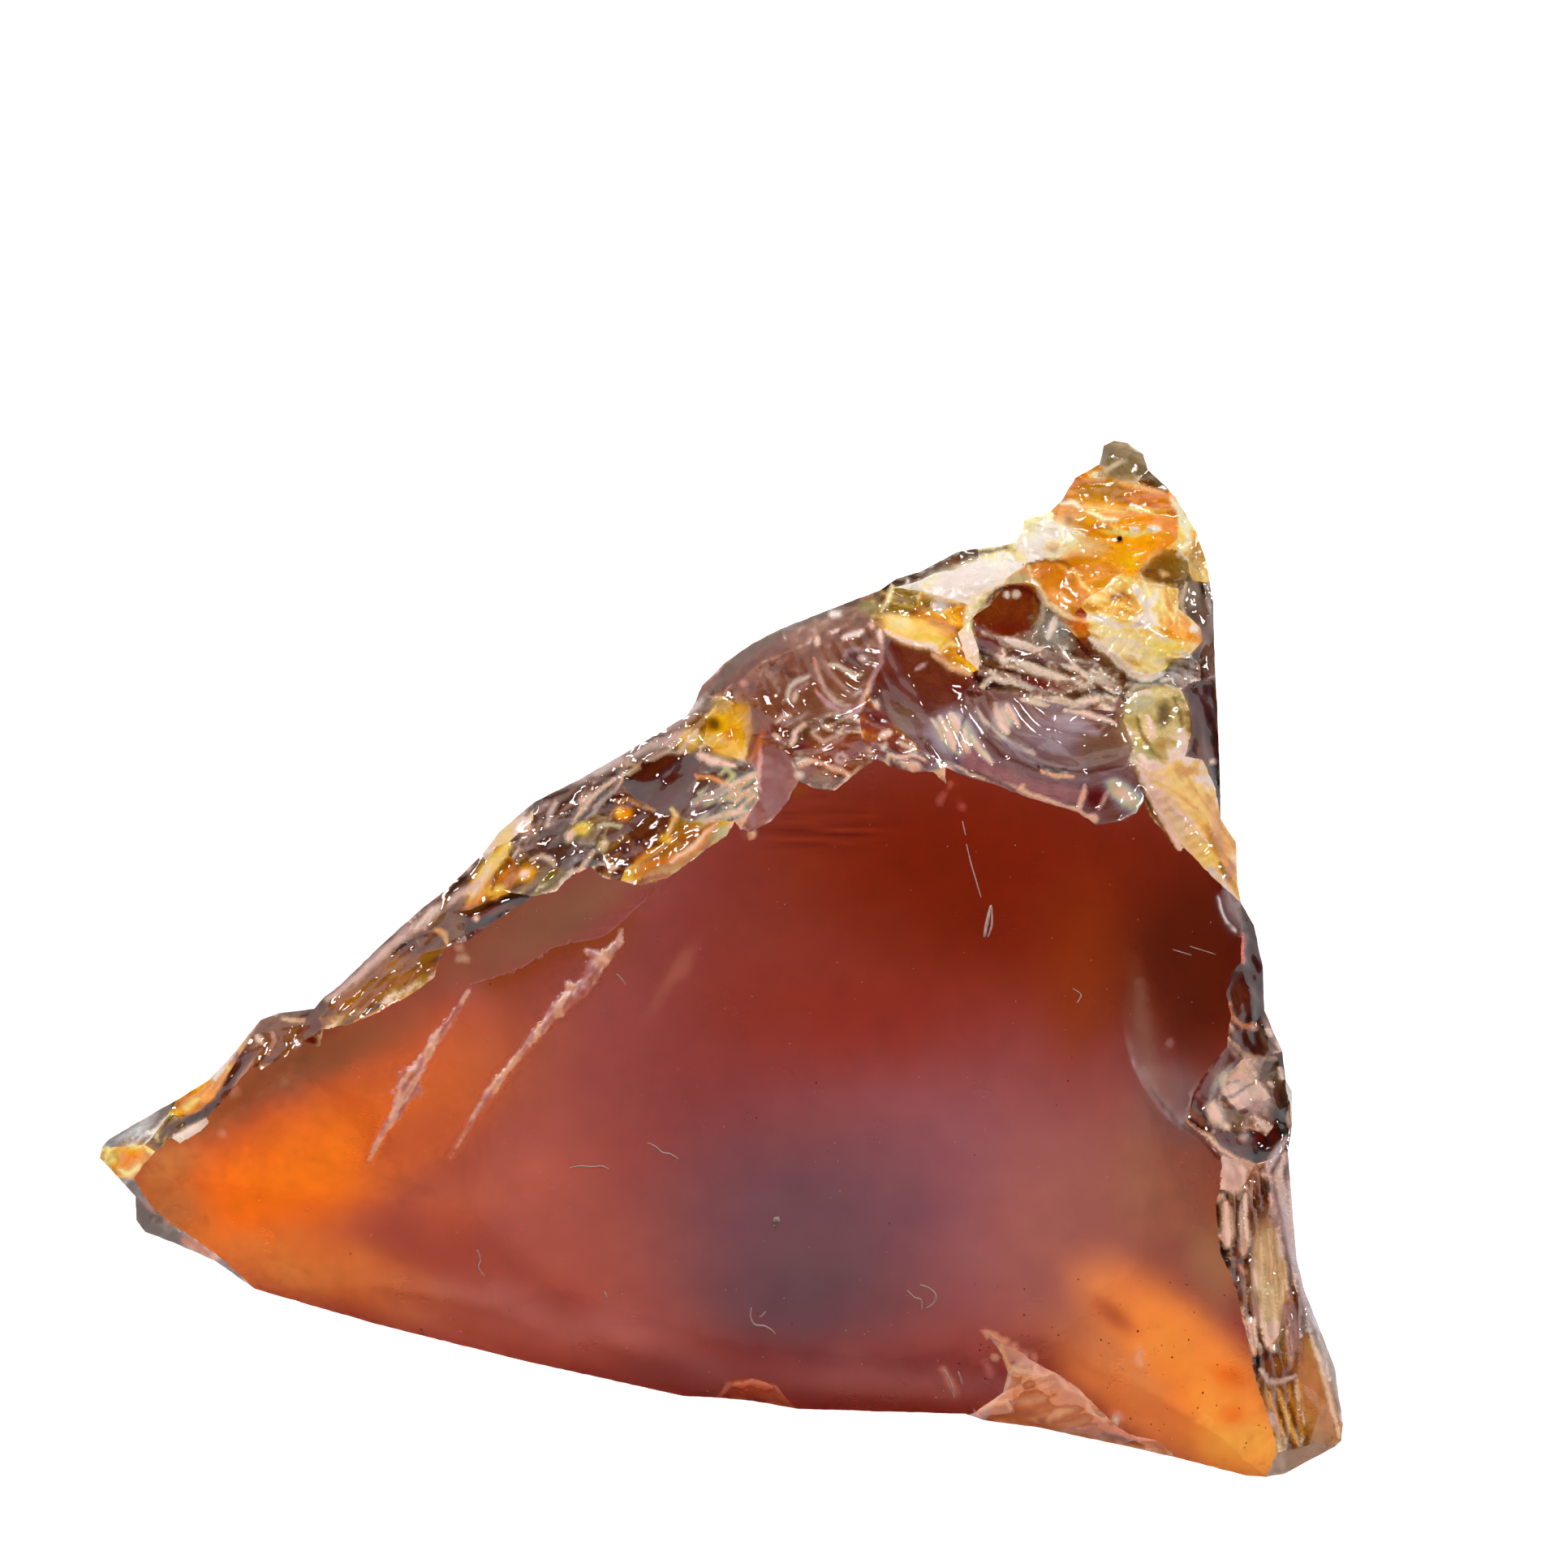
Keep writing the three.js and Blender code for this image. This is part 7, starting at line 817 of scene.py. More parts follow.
def scallops(x, y, seed, tilt=0.5, stagger=0.35):
    """Small shell-shaped flake scars: bowls that meet in crisp ridges.
    Gives the relief, a number for each scar, and how near its ridge is."""
    ix, iy = np.floor(x).astype(np.int64), np.floor(y).astype(np.int64)
    best = np.full(x.shape, 1e9)
    second = np.full(x.shape, 1e9)
    who = np.zeros(x.shape)
    for dx in (-1, 0, 1):
        for dy in (-1, 0, 1):
            cx, cy = ix + dx, iy + dy
            ddx = x - cx - hashed(cx, cy, seed)
            ddy = y - cy - hashed(cx, cy, seed + 7)
            tx = hashed(cx, cy, seed + 13) * 2 - 1
            ty = hashed(cx, cy, seed + 19) * 2 - 1
            bowl = ddx * ddx + ddy * ddy + tilt * (tx * ddx + ty * ddy) + stagger * hashed(cx, cy, seed + 29)
            nearer = bowl < best
            second = np.where(nearer, best, np.minimum(second, bowl))
            who = np.where(nearer, hashed(cx, cy, seed + 37), who)
            best = np.where(nearer, bowl, best)
    return best, who, second - best


def along(points, u, v):
    """Distance to a polyline, how far along it (0 to 1), and which side (+ is to its right, looking along it, in the survey's own axes)."""
    P = np.array([p[:2] for p in points], float)
    seg = np.hypot(*(P[1:] - P[:-1]).T)
    run = np.concatenate([[0], np.cumsum(seg)])
    best = np.full(u.shape, 1e9)
    where = np.zeros(u.shape)
    side = np.zeros(u.shape)
    for i in range(len(P) - 1):
        a, d = P[i], P[i + 1] - P[i]
        L2 = float(d @ d)
        t = np.clip(((u - a[0]) * d[0] + (v - a[1]) * d[1]) / L2, 0, 1)
        du, dv = u - a[0] - t * d[0], v - a[1] - t * d[1]
        r = np.hypot(du, dv)
        m = r < best
        best[m] = r[m]
        where[m] = ((run[i] + t * seg[i]) / run[-1])[m]
        side[m] = np.sign(d[0] * (v - a[1]) - d[1] * (u - a[0]))[m]
    return best, where, side


def inside(poly, u, v):
    """Which points lie inside a closed outline."""
    P = np.array(poly, float)
    Q = np.roll(P, -1, axis=0)
    c = np.zeros(u.shape, bool)
    for (x1, y1), (x2, y2) in zip(P, Q):
        if y1 == y2:
            continue
        hit = (y1 > v) != (y2 > v)
        c ^= hit & (u < (x2 - x1) * (v - y1) / (y2 - y1) + x1)
    return c


def triples(flat):
    return np.array(flat).reshape(-1, 3)


# ---------------------------------------------------------------- the large face
def dome(u, v):
    """Height of the large face."""
    h = 438 - 0.00015 * (u - 1020) ** 2 - 0.00020 * (v - 1280) ** 2
    s = (u - 1150) * 0.305 - (v - 1250) * 0.952
    h = h - 0.13 * 0.5 * (s + np.sqrt(s * s + 196)) * ease(900, 1150, u)
    r2 = ((u - 1560) ** 2 + (v - 1250) ** 2) / 178.0 ** 2
    return h - np.where(r2 < 1, 42 * (1 - r2), 0) * ease(1110, 1390, v)


# a thin shell of resin ends in this low step, with a hollow below it
STEP = [(572, 1216), (590, 1210), (612, 1203), (640, 1193), (660, 1181), (680, 1168), (705, 1161), (730, 1158), (748, 1150), (762, 1138), (785, 1118), (806, 1098)]
# healed cracks that stand up as pale flakes: across, down, half width
CRACK_A = [(577, 1222, 3), (562, 1246, 5), (542, 1274, 7), (526, 1298, 9), (510, 1322, 17), (500, 1344, 18), (490, 1362, 12), (478, 1384, 6), (466, 1406, 3), (454, 1432, 1)]
CRACK_B = [(741, 1184, 12), (724, 1204, 14), (706, 1222, 13), (690, 1240, 10), (674, 1258, 8), (655, 1281, 6), (640, 1299, 6), (620, 1325, 6), (602, 1349, 6), (590, 1366, 4), (578, 1386, 3), (567, 1406, 2), (552, 1430, 1)]
CRACK_C = [(766, 1146, 3), (763, 1160, 6), (752, 1174, 8), (741, 1184, 11)]
CRACK_D = [(722, 1170, 4), (731, 1176, 8), (741, 1184, 11)]


def flake(points, u, v, seed):
    """How far a point is inside a pale flake, 1 on its spine, 0 outside."""
    r, t, side = along(points, u, v)
    P = np.array(points, float)
    seg = np.hypot(*(P[1:, :2] - P[:-1, :2]).T)
    run = np.concatenate([[0], np.cumsum(seg)]) / seg.sum()
    w = np.interp(t, run, P[:, 2])
    w = w * (0.86 + 0.42 * smooth_noise(u / 17.0, v / 17.0, seed) + 0.20 * smooth_noise(u / 7.0, v / 7.0, seed + 3))
    return np.clip(1 - r / np.maximum(w, 0.5), 0, 1), side


# ---------------------------------------------------------------- kinds of surface
# What each kind of broken surface is like. tones: its colour from its dark to
# its bright places, as seen, the near-white top of the glass, silver and glint kinds
# being painted reflection; clear: how much goes through; rough: its skin;
# sink: how far it is hollowed; scar, size, long: height, width and length of its flake scars;
# grain: fine relief; cell, cloud, ridge: how strongly its tone changes from scar
# to scar, in streaks, and along the ridges, where it is a painted highlight;
# run: length and width of its streaks.
def kind(tones, clear, rough, sink, scar, size, grain=0.5, cell=0.5, cloud=0.6, ridge=0.25, run=(26, 10), level=0.42, long=1.6):
    return dict(tones=tones, clear=clear, rough=rough, sink=sink, scar=scar, size=size, grain=grain, cell=cell, cloud=cloud, ridge=ridge, run=run, level=level, long=long)


KINDS = {
    "main": kind([(150, 70, 60)] * 4, 0.80, 0.24, 0, 0, 12),
    "glass": kind([(44, 34, 28), (104, 84, 72), (162, 150, 142), (244, 244, 246)], 0.90, 0.05, -4, 10, 24, 0.4, 0.3, 0.9, 0.30, (44, 6), 0.42, 2.2),
    "darkglass": kind([(26, 14, 8), (70, 40, 22), (108, 72, 52), (196, 180, 170)], 0.96, 0.04, -8, 8, 30, 0.3, 0.2, 0.6, 0.20, (36, 8), 0.38, 1.8),
    "shoulder": kind([(96, 62, 44), (138, 98, 76), (166, 128, 108), (220, 202, 194)], 0.90, 0.10, 3, 3.0, 40, 0.5, 0.15, 0.8, 0.30, (22, 8), 0.42, 1.6),
    "shoulderbrown": kind([(76, 30, 16), (104, 50, 30), (134, 80, 60), (190, 165, 156)], 0.95, 0.07, -4, 0.8, 30, 0.3, 0.1, 0.5, 0.1, (30, 12), 0.42),
    "brown": kind([(48, 26, 8), (106, 62, 24), (152, 106, 56), (220, 196, 156)], 0.86, 0.09, -2, 8, 20, 0.6, 0.5, 0.8, 0.35, (24, 7), 0.42, 1.8),
    "gold": kind([(96, 50, 2), (206, 132, 10), (244, 188, 52), (255, 238, 160)], 0.70, 0.10, -4, 6, 22, 0.6, 0.7, 0.6, 0.25, (24, 8), 0.50, 1.8),
    "gem": kind([(214, 104, 4), (244, 150, 20), (255, 184, 50), (255, 232, 150)], 0.6, 0.08, 2, 1.0, 10, 0.2, 0.3, 0.3, 0.1, (10, 8), 0.55),
    "olive": kind([(44, 32, 12), (116, 90, 38), (176, 148, 80), (236, 222, 178)], 0.78, 0.10, -3, 8, 20, 0.6, 0.6, 0.8, 0.30, (34, 6), 0.44, 2.4),
    "olivepale": kind([(74, 58, 26), (168, 146, 84), (220, 202, 144), (250, 244, 216)], 0.66, 0.10, 3, 6, 22, 0.6, 0.5, 0.8, 0.35, (26, 7), 0.46, 1.6),
    "cream": kind([(150, 118, 50), (234, 220, 150), (252, 250, 200), (255, 255, 232)], 0.62, 0.26, 2, 2.4, 14, 0.9, 0.4, 0.8, 0.2, (20, 7), 0.54, 1.8),
    # painted reflection: the silver kind is dark glass with near-white reflections painted into its tones
    "silver_sheen": kind([(58, 44, 34), (150, 138, 130), (214, 209, 208), (255, 255, 255)], 0.82, 0.06, 0, 9, 20, 0.4, 0.5, 1.1, 0.40, (44, 5), 0.50, 3.0),
    "greyrim": kind([(48, 36, 28), (92, 74, 62), (142, 126, 114), (220, 214, 206)], 0.85, 0.10, 0, 7, 20, 0.5, 0.4, 0.7, 0.3, (26, 7), 0.42, 2.0),
    "pink": kind([(104, 44, 24), (138, 70, 48), (165, 102, 84), (206, 168, 156)], 0.80, 0.46, -2, 0.8, 26, 0.4, 0.1, 0.7, 0.1, (34, 8), 0.42),
    "nub": kind([(72, 56, 38), (132, 104, 70), (176, 152, 116), (222, 210, 190)], 0.70, 0.14, 4, 2.0, 20, 0.6, 0.3, 0.6, 0.2, (26, 8), 0.44, 1.6),
    "crust": kind([(108, 50, 2), (192, 114, 8), (228, 156, 36), (250, 222, 150)], 0.62, 0.16, 3, 4, 26, 0.8, 0.12, 0.5, 0.14, (44, 6), 0.46, 2.6),
    "crusttan": kind([(112, 58, 20), (188, 116, 50), (228, 164, 96), (250, 232, 196)], 0.64, 0.14, -3, 4, 24, 0.7, 0.2, 0.55, 0.18, (34, 6), 0.42, 2.4),
    "crustpale": kind([(132, 74, 18), (214, 154, 62), (244, 216, 142), (255, 249, 228)], 0.62, 0.18, 2, 6, 22, 0.8, 0.3, 0.6, 0.22, (32, 7), 0.50, 2.0),
    "brownchip": kind([(54, 34, 14), (108, 80, 42), (156, 124, 82), (208, 186, 154)], 0.80, 0.08, -5, 1.6, 24, 0.4, 0.2, 0.6, 0.2, (28, 9), 0.42),
    "orangedark": kind([(76, 30, 4), (150, 76, 14), (194, 120, 40), (240, 196, 126)], 0.80, 0.14, 0, 2.2, 13, 0.5, 0.4, 0.6, 0.2),
    "pit": kind([(60, 22, 2), (108, 54, 12), (134, 78, 30), (180, 138, 96)], 0.94, 0.05, -2, 0.6, 30, 0.3, 0.1, 0.5, 0.1, (20, 10), 0.42),
    "crumple": kind([(50, 30, 20), (112, 82, 62), (166, 140, 120), (248, 242, 232)], 0.82, 0.07, 0, 10, 20, 0.6, 0.5, 0.9, 0.45, (28, 6), 0.40, 2.2),
    "conch": kind([(84, 49, 42), (116, 79, 71), (140, 111, 108), (204, 199, 205)], 0.90, 0.06, -3, 0.0, 40, 0.2, 0.05, 0.7, 0.0, (60, 9), 0.44),
    "bead": kind([(88, 46, 34), (132, 92, 80), (184, 158, 150), (248, 238, 236)], 0.85, 0.06, 2, 8, 18, 0.4, 0.4, 0.6, 0.55, (18, 8), 0.38, 1.3),
    "flake": kind([(112, 78, 24), (208, 172, 88), (242, 214, 144), (255, 246, 210)], 0.60, 0.14, 0, 4, 34, 0.6, 0.3, 1.0, 0.22, (50, 8), 0.50, 2.4),
    "glint": kind([(62, 48, 42), (150, 144, 142), (212, 212, 212), (252, 252, 255)], 0.85, 0.05, 0, 3, 26, 0.4, 0.4, 0.8, 0.2, (24, 5), 0.60, 2.0),
    "scoopedge": kind([(44, 22, 14), (92, 54, 38), (140, 104, 92), (224, 208, 202)], 0.92, 0.06, 0, 7, 26, 0.4, 0.3, 0.6, 0.30, (22, 7), 0.38, 1.8),
    "creampatch": kind([(96, 68, 44), (186, 158, 128), (226, 208, 184), (252, 246, 234)], 0.60, 0.12, -2, 6, 20, 0.5, 0.5, 0.8, 0.3, (26, 7), 0.52, 1.8),
    "columns": kind([(30, 14, 6), (86, 56, 32), (154, 124, 94), (236, 222, 200)], 0.85, 0.07, 0, 9, 20, 0.5, 0.5, 1.2, 0.40, (48, 6), 0.38, 3.0),
    "olivecream": kind([(98, 74, 36), (184, 166, 110), (218, 206, 160), (250, 244, 226)], 0.66, 0.10, -3, 2.0, 22, 0.5, 0.3, 0.8, 0.2, (56, 7), 0.50, 2.6),
    "flute": kind([(46, 26, 8), (122, 84, 40), (172, 134, 84), (236, 216, 184)], 0.80, 0.09, 0, 7, 18, 0.6, 0.4, 1.1, 0.35, (54, 5), 0.40, 3.2),
    "olivebrown": kind([(80, 48, 18), (150, 102, 52), (184, 142, 90), (226, 202, 168)], 0.88, 0.07, -2, 1.0, 36, 0.3, 0.15, 0.5, 0.1, (70, 14), 0.44, 2.2),
    "greybrown": kind([(74, 50, 34), (134, 104, 82), (168, 142, 120), (208, 192, 180)], 0.88, 0.08, -2, 1.0, 30, 0.3, 0.15, 0.5, 0.1, (34, 12), 0.44, 1.6),
    "chip": kind([(108, 66, 34), (174, 122, 84), (200, 154, 116), (238, 214, 188)], 0.78, 0.10, -5, 1.6, 34, 0.5, 0.2, 0.6, 0.15, (40, 10), 0.42, 1.8),
    "chipgrey": kind([(106, 68, 62), (148, 102, 94), (180, 142, 134), (226, 206, 200)], 0.78, 0.10, -3, 1.4, 26, 0.4, 0.3, 0.7, 0.2, (28, 7), 0.48, 1.8),
    "chipsmall": kind([(106, 56, 50), (148, 90, 80), (182, 130, 114), (222, 192, 176)], 0.82, 0.10, -2, 2.0, 20, 0.4, 0.3, 0.6, 0.3, (26, 8), 0.44, 1.8),
    "tipside": kind([(58, 44, 36), (112, 92, 82), (150, 132, 122), (206, 196, 190)], 0.80, 0.12, 0, 5, 26, 0.5, 0.3, 0.7, 0.2, (30, 8), 0.42, 2.2),
    "back": kind([(150, 96, 60)] * 4, 1.0, 0.92, -6, 0, 40, 0.5, 0.5, 0.6, 0.25, (26, 10), 0.42, 1.6),
    "rest": kind([(150, 96, 60)] * 4, 1.0, 0.8, 0, 0, 40, 0.5, 0.5, 0.6, 0.25, (26, 10), 0.42, 1.6),
}
RENAMED = {"tip_side": "tipside", "tip_ledge": "olive", "h0": "crusttan"}
KIND_NAMES = list(KINDS)

# ---------------------------------------------------------------- the net of facets
pts = triples(FRONT_POINTS).astype(float)
tris = [tuple(t) for t in triples(DOME)]
tri_facet = [0] * len(tris)
facet_kind = ["main"]
for name, of_kind, corners in CHIPS:
    facet_kind.append(RENAMED.get(name, of_kind))
    for t in triples(corners):
        tris.append(tuple(t))
        tri_facet.append(len(facet_kind) - 1)
tris = np.array(tris)
tri_facet = np.array(tri_facet)
rim = pts[:RIM]

# edges between two different facets are creases
owners = {}
for t, f in zip(tris, tri_facet):
    for i in range(3):
        a, b = int(t[i]), int(t[(i + 1) % 3])
        owners.setdefault((min(a, b), max(a, b)), []).append(int(f))
creases = [e for e, fs in owners.items() if len(fs) == 1 or fs[0] != fs[1]]
rim_edges = {(min(i, (i + 1) % RIM), max(i, (i + 1) % RIM)) for i in range(RIM)}


def split_edge(p, q, step, jitter, seed):
    """Points along a crease, a little irregular, as a broken edge is."""
    L = math.hypot(q[0] - p[0], q[1] - p[1])
    n = max(1, int(round(L / step)))
    t = np.arange(n + 1) / n
    x, y = p[0] + (q[0] - p[0]) * t, p[1] + (q[1] - p[1]) * t
    nx, ny = -(q[1] - p[1]) / max(L, 1e-6), (q[0] - p[0]) / max(L, 1e-6)
    w = jitter * np.sin(np.pi * t) ** 0.5 * layered(x / 11.0 + seed, y / 11.0, 5, 3, 0.6)
    w[0] = w[-1] = 0
    return np.stack([x + nx * w, y + ny * w], 1)


class Net:
    """Collects points and constrained edges for one triangulation."""

    def __init__(self):
        self.p, self.e, self.seen = [], [], {}

    def point(self, x, y):
        k = (round(x, 2), round(y, 2))
        if k not in self.seen:
            self.seen[k] = len(self.p)
            self.p.append((float(x), float(y)))
        return self.seen[k]

    def chain(self, xy):
        ids = [self.point(x, y) for x, y in xy]
        self.e += [(a, b) for a, b in zip(ids, ids[1:]) if a != b]
        return ids


def lattice(spacing, lo, hi, seed):
    ys = np.arange(lo[1], hi[1], spacing * 0.866)
    xs = np.arange(lo[0], hi[0], spacing)
    gx, gy = np.meshgrid(xs, ys)
    gx = gx + (np.arange(len(ys)) % 2)[:, None] * spacing * 0.5
    n = gx.size
    i = np.arange(n)
    gx = gx.ravel() + (hashed(i, i * 0, seed) - 0.5) * spacing * 0.36
    gy = gy.ravel() + (hashed(i, i * 0 + 1, seed) - 0.5) * spacing * 0.36
    return gx, gy


RIM_LINES = {}
for i in range(RIM):
    a, b = rim[i], rim[(i + 1) % RIM]
    RIM_LINES[i] = split_edge(a, b, 4.0, 0.8, i)
rim_poly = np.concatenate([RIM_LINES[i][:-1] for i in range(RIM)])
main_facet_tris = tris[tri_facet == 0]


def triangulate(net, spacing_zones, keep_off):
    """Fills the outline with points of the asked spacing, clear of the creases."""
    taken = np.zeros((2000, 1800), bool)
    P = np.array(net.p)
    r = int(math.ceil(keep_off))
    for dx in range(-r, r + 1):
        for dy in range(-r, r + 1):
            if dx * dx + dy * dy <= keep_off * keep_off:
                taken[np.clip(P[:, 1] + dy, 0, 1999).astype(int), np.clip(P[:, 0] + dx, 0, 1799).astype(int)] = True
    for spacing, test, seed in spacing_zones:
        gx, gy = lattice(spacing, (110, 530), (1670, 1830), seed)
        ok = ~taken[np.clip(gy, 0, 1999).astype(int), np.clip(gx, 0, 1799).astype(int)]
        gx, gy = gx[ok], gy[ok]
        ok = test(gx, gy)
        gx, gy = gx[ok], gy[ok]
        ok = inside(rim_poly, gx, gy)
        for x, y in zip(gx[ok], gy[ok]):
            net.point(x, y)
    res = delaunay_2d_cdt([Vector(p) for p in net.p], net.e, [], 1, 1e-4)
    xy = np.array([(c.x, c.y) for c in res[0]])
    faces = [f for f in res[2] if len(f) == 3]
    return xy, np.array(faces)


def locate(xy, net_pts, net_tris):
    """For every point, the net triangle that holds it and its weights there."""
    order = np.argsort(xy[:, 0])
    xs = xy[order, 0]
    tri_of = np.full(len(xy), -1)
    wts = np.zeros((len(xy), 3))
    miss = np.full(len(xy), -1e9)
    for k, t in enumerate(net_tris):
        a, b, c = net_pts[t[0], :2], net_pts[t[1], :2], net_pts[t[2], :2]
        lo, hi = min(a[0], b[0], c[0]) - 3, max(a[0], b[0], c[0]) + 3
        i0, i1 = np.searchsorted(xs, lo), np.searchsorted(xs, hi)
        idx = order[i0:i1]
        if not len(idx):
            continue
        y = xy[idx, 1]
        idx = idx[(y > min(a[1], b[1], c[1]) - 3) & (y < max(a[1], b[1], c[1]) + 3)]
        if not len(idx):
            continue
        p = xy[idx]
        det = (b[0] - a[0]) * (c[1] - a[1]) - (c[0] - a[0]) * (b[1] - a[1])
        if abs(det) < 1e-6:
            continue
        w1 = ((p[:, 0] - a[0]) * (c[1] - a[1]) - (c[0] - a[0]) * (p[:, 1] - a[1])) / det
        w2 = ((b[0] - a[0]) * (p[:, 1] - a[1]) - (p[:, 0] - a[0]) * (b[1] - a[1])) / det
        w0 = 1 - w1 - w2
        size = math.sqrt(abs(det))
        worst = np.minimum(np.minimum(w0, w1), w2) * size
        better = worst > np.maximum(miss[idx], -4.0)
        hit = idx[better]
        miss[hit] = worst[better]
        tri_of[hit] = k
        wts[hit] = np.stack([w0, w1, w2], 1)[better]
    wts = np.clip(wts, 0, None)
    wts /= np.maximum(wts.sum(1), 1e-9)[:, None]
    return tri_of, wts


def facet_edge_distance(xy, facet_of, tri_sets, edge_list):
    """Distance of each point to the crease round its own facet."""
    out = np.full(len(xy), 60.0)
    for f in np.unique(facet_of):
        sel = np.where(facet_of == f)[0]
        for (a, b), fs in edge_list.items():
            if f in fs and (len(fs) == 1 or fs[0] != fs[1]):
                pa, pb = tri_sets[a, :2], tri_sets[b, :2]
                d = pb - pa
                L2 = float(d @ d)
                q = xy[sel] - pa
                t = np.clip((q @ d) / L2, 0, 1)
                r = np.hypot(q[:, 0] - t * d[0], q[:, 1] - t * d[1])
                out[sel] = np.minimum(out[sel], r)
    return out


# ---------------------------------------------------------------- upper surface
net = Net()
for i in range(RIM):
    net.chain(RIM_LINES[i])
for k, (a, b) in enumerate(creases):
    if (a, b) in rim_edges:
        continue
    on_main = 0 in owners[(a, b)]
    net.chain(split_edge(pts[a], pts[b], 4.0, 2.2 if on_main else 1.6, k))
# the step is two lines close together, so that it stays crisp
S = np.array(STEP, float)
d = np.gradient(S, axis=0)
nrm = np.stack([-d[:, 1], d[:, 0]], 1) / np.hypot(d[:, 0], d[:, 1])[:, None]
fine = np.linspace(0, len(S) - 1, 70)
line = np.stack([np.interp(fine, np.arange(len(S)), S[:, 0]), np.interp(fine, np.arange(len(S)), S[:, 1])], 1)
wob = 2.0 * layered(line[:, 0] / 14.0, line[:, 1] / 14.0, 31, 3, 0.6)
nn = np.stack([np.interp(fine, np.arange(len(S)), nrm[:, 0]), np.interp(fine, np.arange(len(S)), nrm[:, 1])], 1)
line = line + nn * wob[:, None]
STEP_LINE = line
net.chain(line + nn * 0.9)
net.chain(line - nn * 0.9)

def fine_zone(x, y):
    chips = ~inside(MAIN_POLY, x, y)
    near = np.zeros(x.shape, bool)
    r, _, _ = along(STEP, x, y)
    near |= r < 26
    for c in (CRACK_A, CRACK_B, CRACK_C, CRACK_D):
        r, _, _ = along(c, x, y)
        near |= r < 30
    near |= (np.abs(np.hypot(x - 1560, y - 1250) - 178) < 16)
    near |= ((x - 1015) / 90) ** 2 + ((y - 1020) / 42) ** 2 < 1
    return chips | near


# outline of the large face, chained from its crease edges
step_of = {}
for t in main_facet_tris:
    for i in range(3):
        a, b = int(t[i]), int(t[(i + 1) % 3])
        fs = owners[(min(a, b), max(a, b))]
        if len(fs) == 1 or fs[0] != fs[1]:
            step_of[a] = b
start = max(step_of)
ring, cur = [start], step_of[start]
while cur != start:
    ring.append(cur)
    cur = step_of[cur]
MAIN_POLY = pts[ring][:, :2]

xy, faces = triangulate(net, [
    (2.9, lambda x, y: fine_zone(x, y), 3),
    (8.0, lambda x, y: ~fine_zone(x, y), 4),
], 2.1)
tri_of, wts = locate(xy, pts, tris)
assert (tri_of >= 0).all(), int((tri_of < 0).sum())
facet_of = tri_facet[tri_of]
kind_of = np.array([KIND_NAMES.index(facet_kind[f]) for f in facet_of])
u, v = xy[:, 0], xy[:, 1]
corner_h = pts[tris[tri_of], 2]
h = (wts * corner_h).sum(1)
is_main = facet_of == 0
corner_dome = dome(pts[:, 0], pts[:, 1])[tris[tri_of]]
lift = (wts * (corner_h - corner_dome)).sum(1)
h = np.where(is_main, dome(u, v) + lift, h)
edge_r = facet_edge_distance(xy, facet_of, pts, owners)


def prop(name, of):
    table = np.array([KINDS[k][name] for k in KIND_NAMES], float)
    return table[of]


# which way each chip's flake scars and streaks run, by where it lies
facet_mid = np.array([np.mean([pts[i, :2] for t in tris[tri_facet == f] for i in t], axis=0) for f in range(len(facet_kind))])


def facet_angle(x, y):
    if x > 1480 and y > 1410:
        return 86.0
    if x > 1480 and y > 1110:
        return 60.0
    if x > 1390 and y > 930:
        return 57.0
    if x > 1440 and y < 930:
        return 78.0
    if y > 1630:
        return 36.0
    if x < 380:
        return -42.0
    if x < 930:
        return -38.0
    if x < 1080 and y > 880:
        return -10.0
    if x < 1080:
        return -33.0
    return 16.0


turn_of = np.radians([facet_angle(*p) for p in facet_mid])


def run_of(x, y, f):
    """A place measured along and across its chip's own direction."""
    c, s = np.cos(turn_of[f]), np.sin(turn_of[f])
    return c * x + s * y, -s * x + c * y


# relief of the chips
sink, scar, size, grain, long = (prop(n, kind_of) for n in ("sink", "scar", "size", "grain", "long"))
off_edge = 1 - np.exp(-(edge_r / 4.5) ** 2)


def scars(x, y, f, size, long):
    """Two generations of flake scars, larger and smaller, a little warped."""
    lane, across = run_of(x, y, f)
    wx, wy = 7 * layered(x / 42, y / 42, 71, 2), 7 * layered(x / 42, y / 42, 77, 2)
    big = scallops((lane + wx) / (size * long), (across + wy) / size, 11)
    small = scallops((lane - wy) / (size * 0.5 * long), (across + wx) / (size * 0.45), 43)
    return big, small


big, small = scars(u, v, facet_of, size, long)
h = h + sink * (1 - np.exp(-edge_r / 14.0))
h = h + off_edge * scar * (big[0] - 0.30) + off_edge * 0.30 * scar * (small[0] - 0.3)
h = h + off_edge * grain * layered(u / 7.0, v / 7.0, 23, 2)


def name_mask(*names):
    ids = [i + 1 for i, c in enumerate(CHIPS) if c[0] in names]
    return np.isin(facet_of, ids)


# shell-shaped ripples round where the blow fell
def ripples(mask, centre, wave, height, power=1.0, phase=0.0):
    r = np.hypot(u - centre[0], v - centre[1]) + 3.5 * layered(u / 30, v / 30, 47, 2)
    s = 0.5 + 0.5 * np.cos(2 * np.pi * r / wave + phase)
    return np.where(mask, off_edge * height * (s ** power - 0.5), 0)


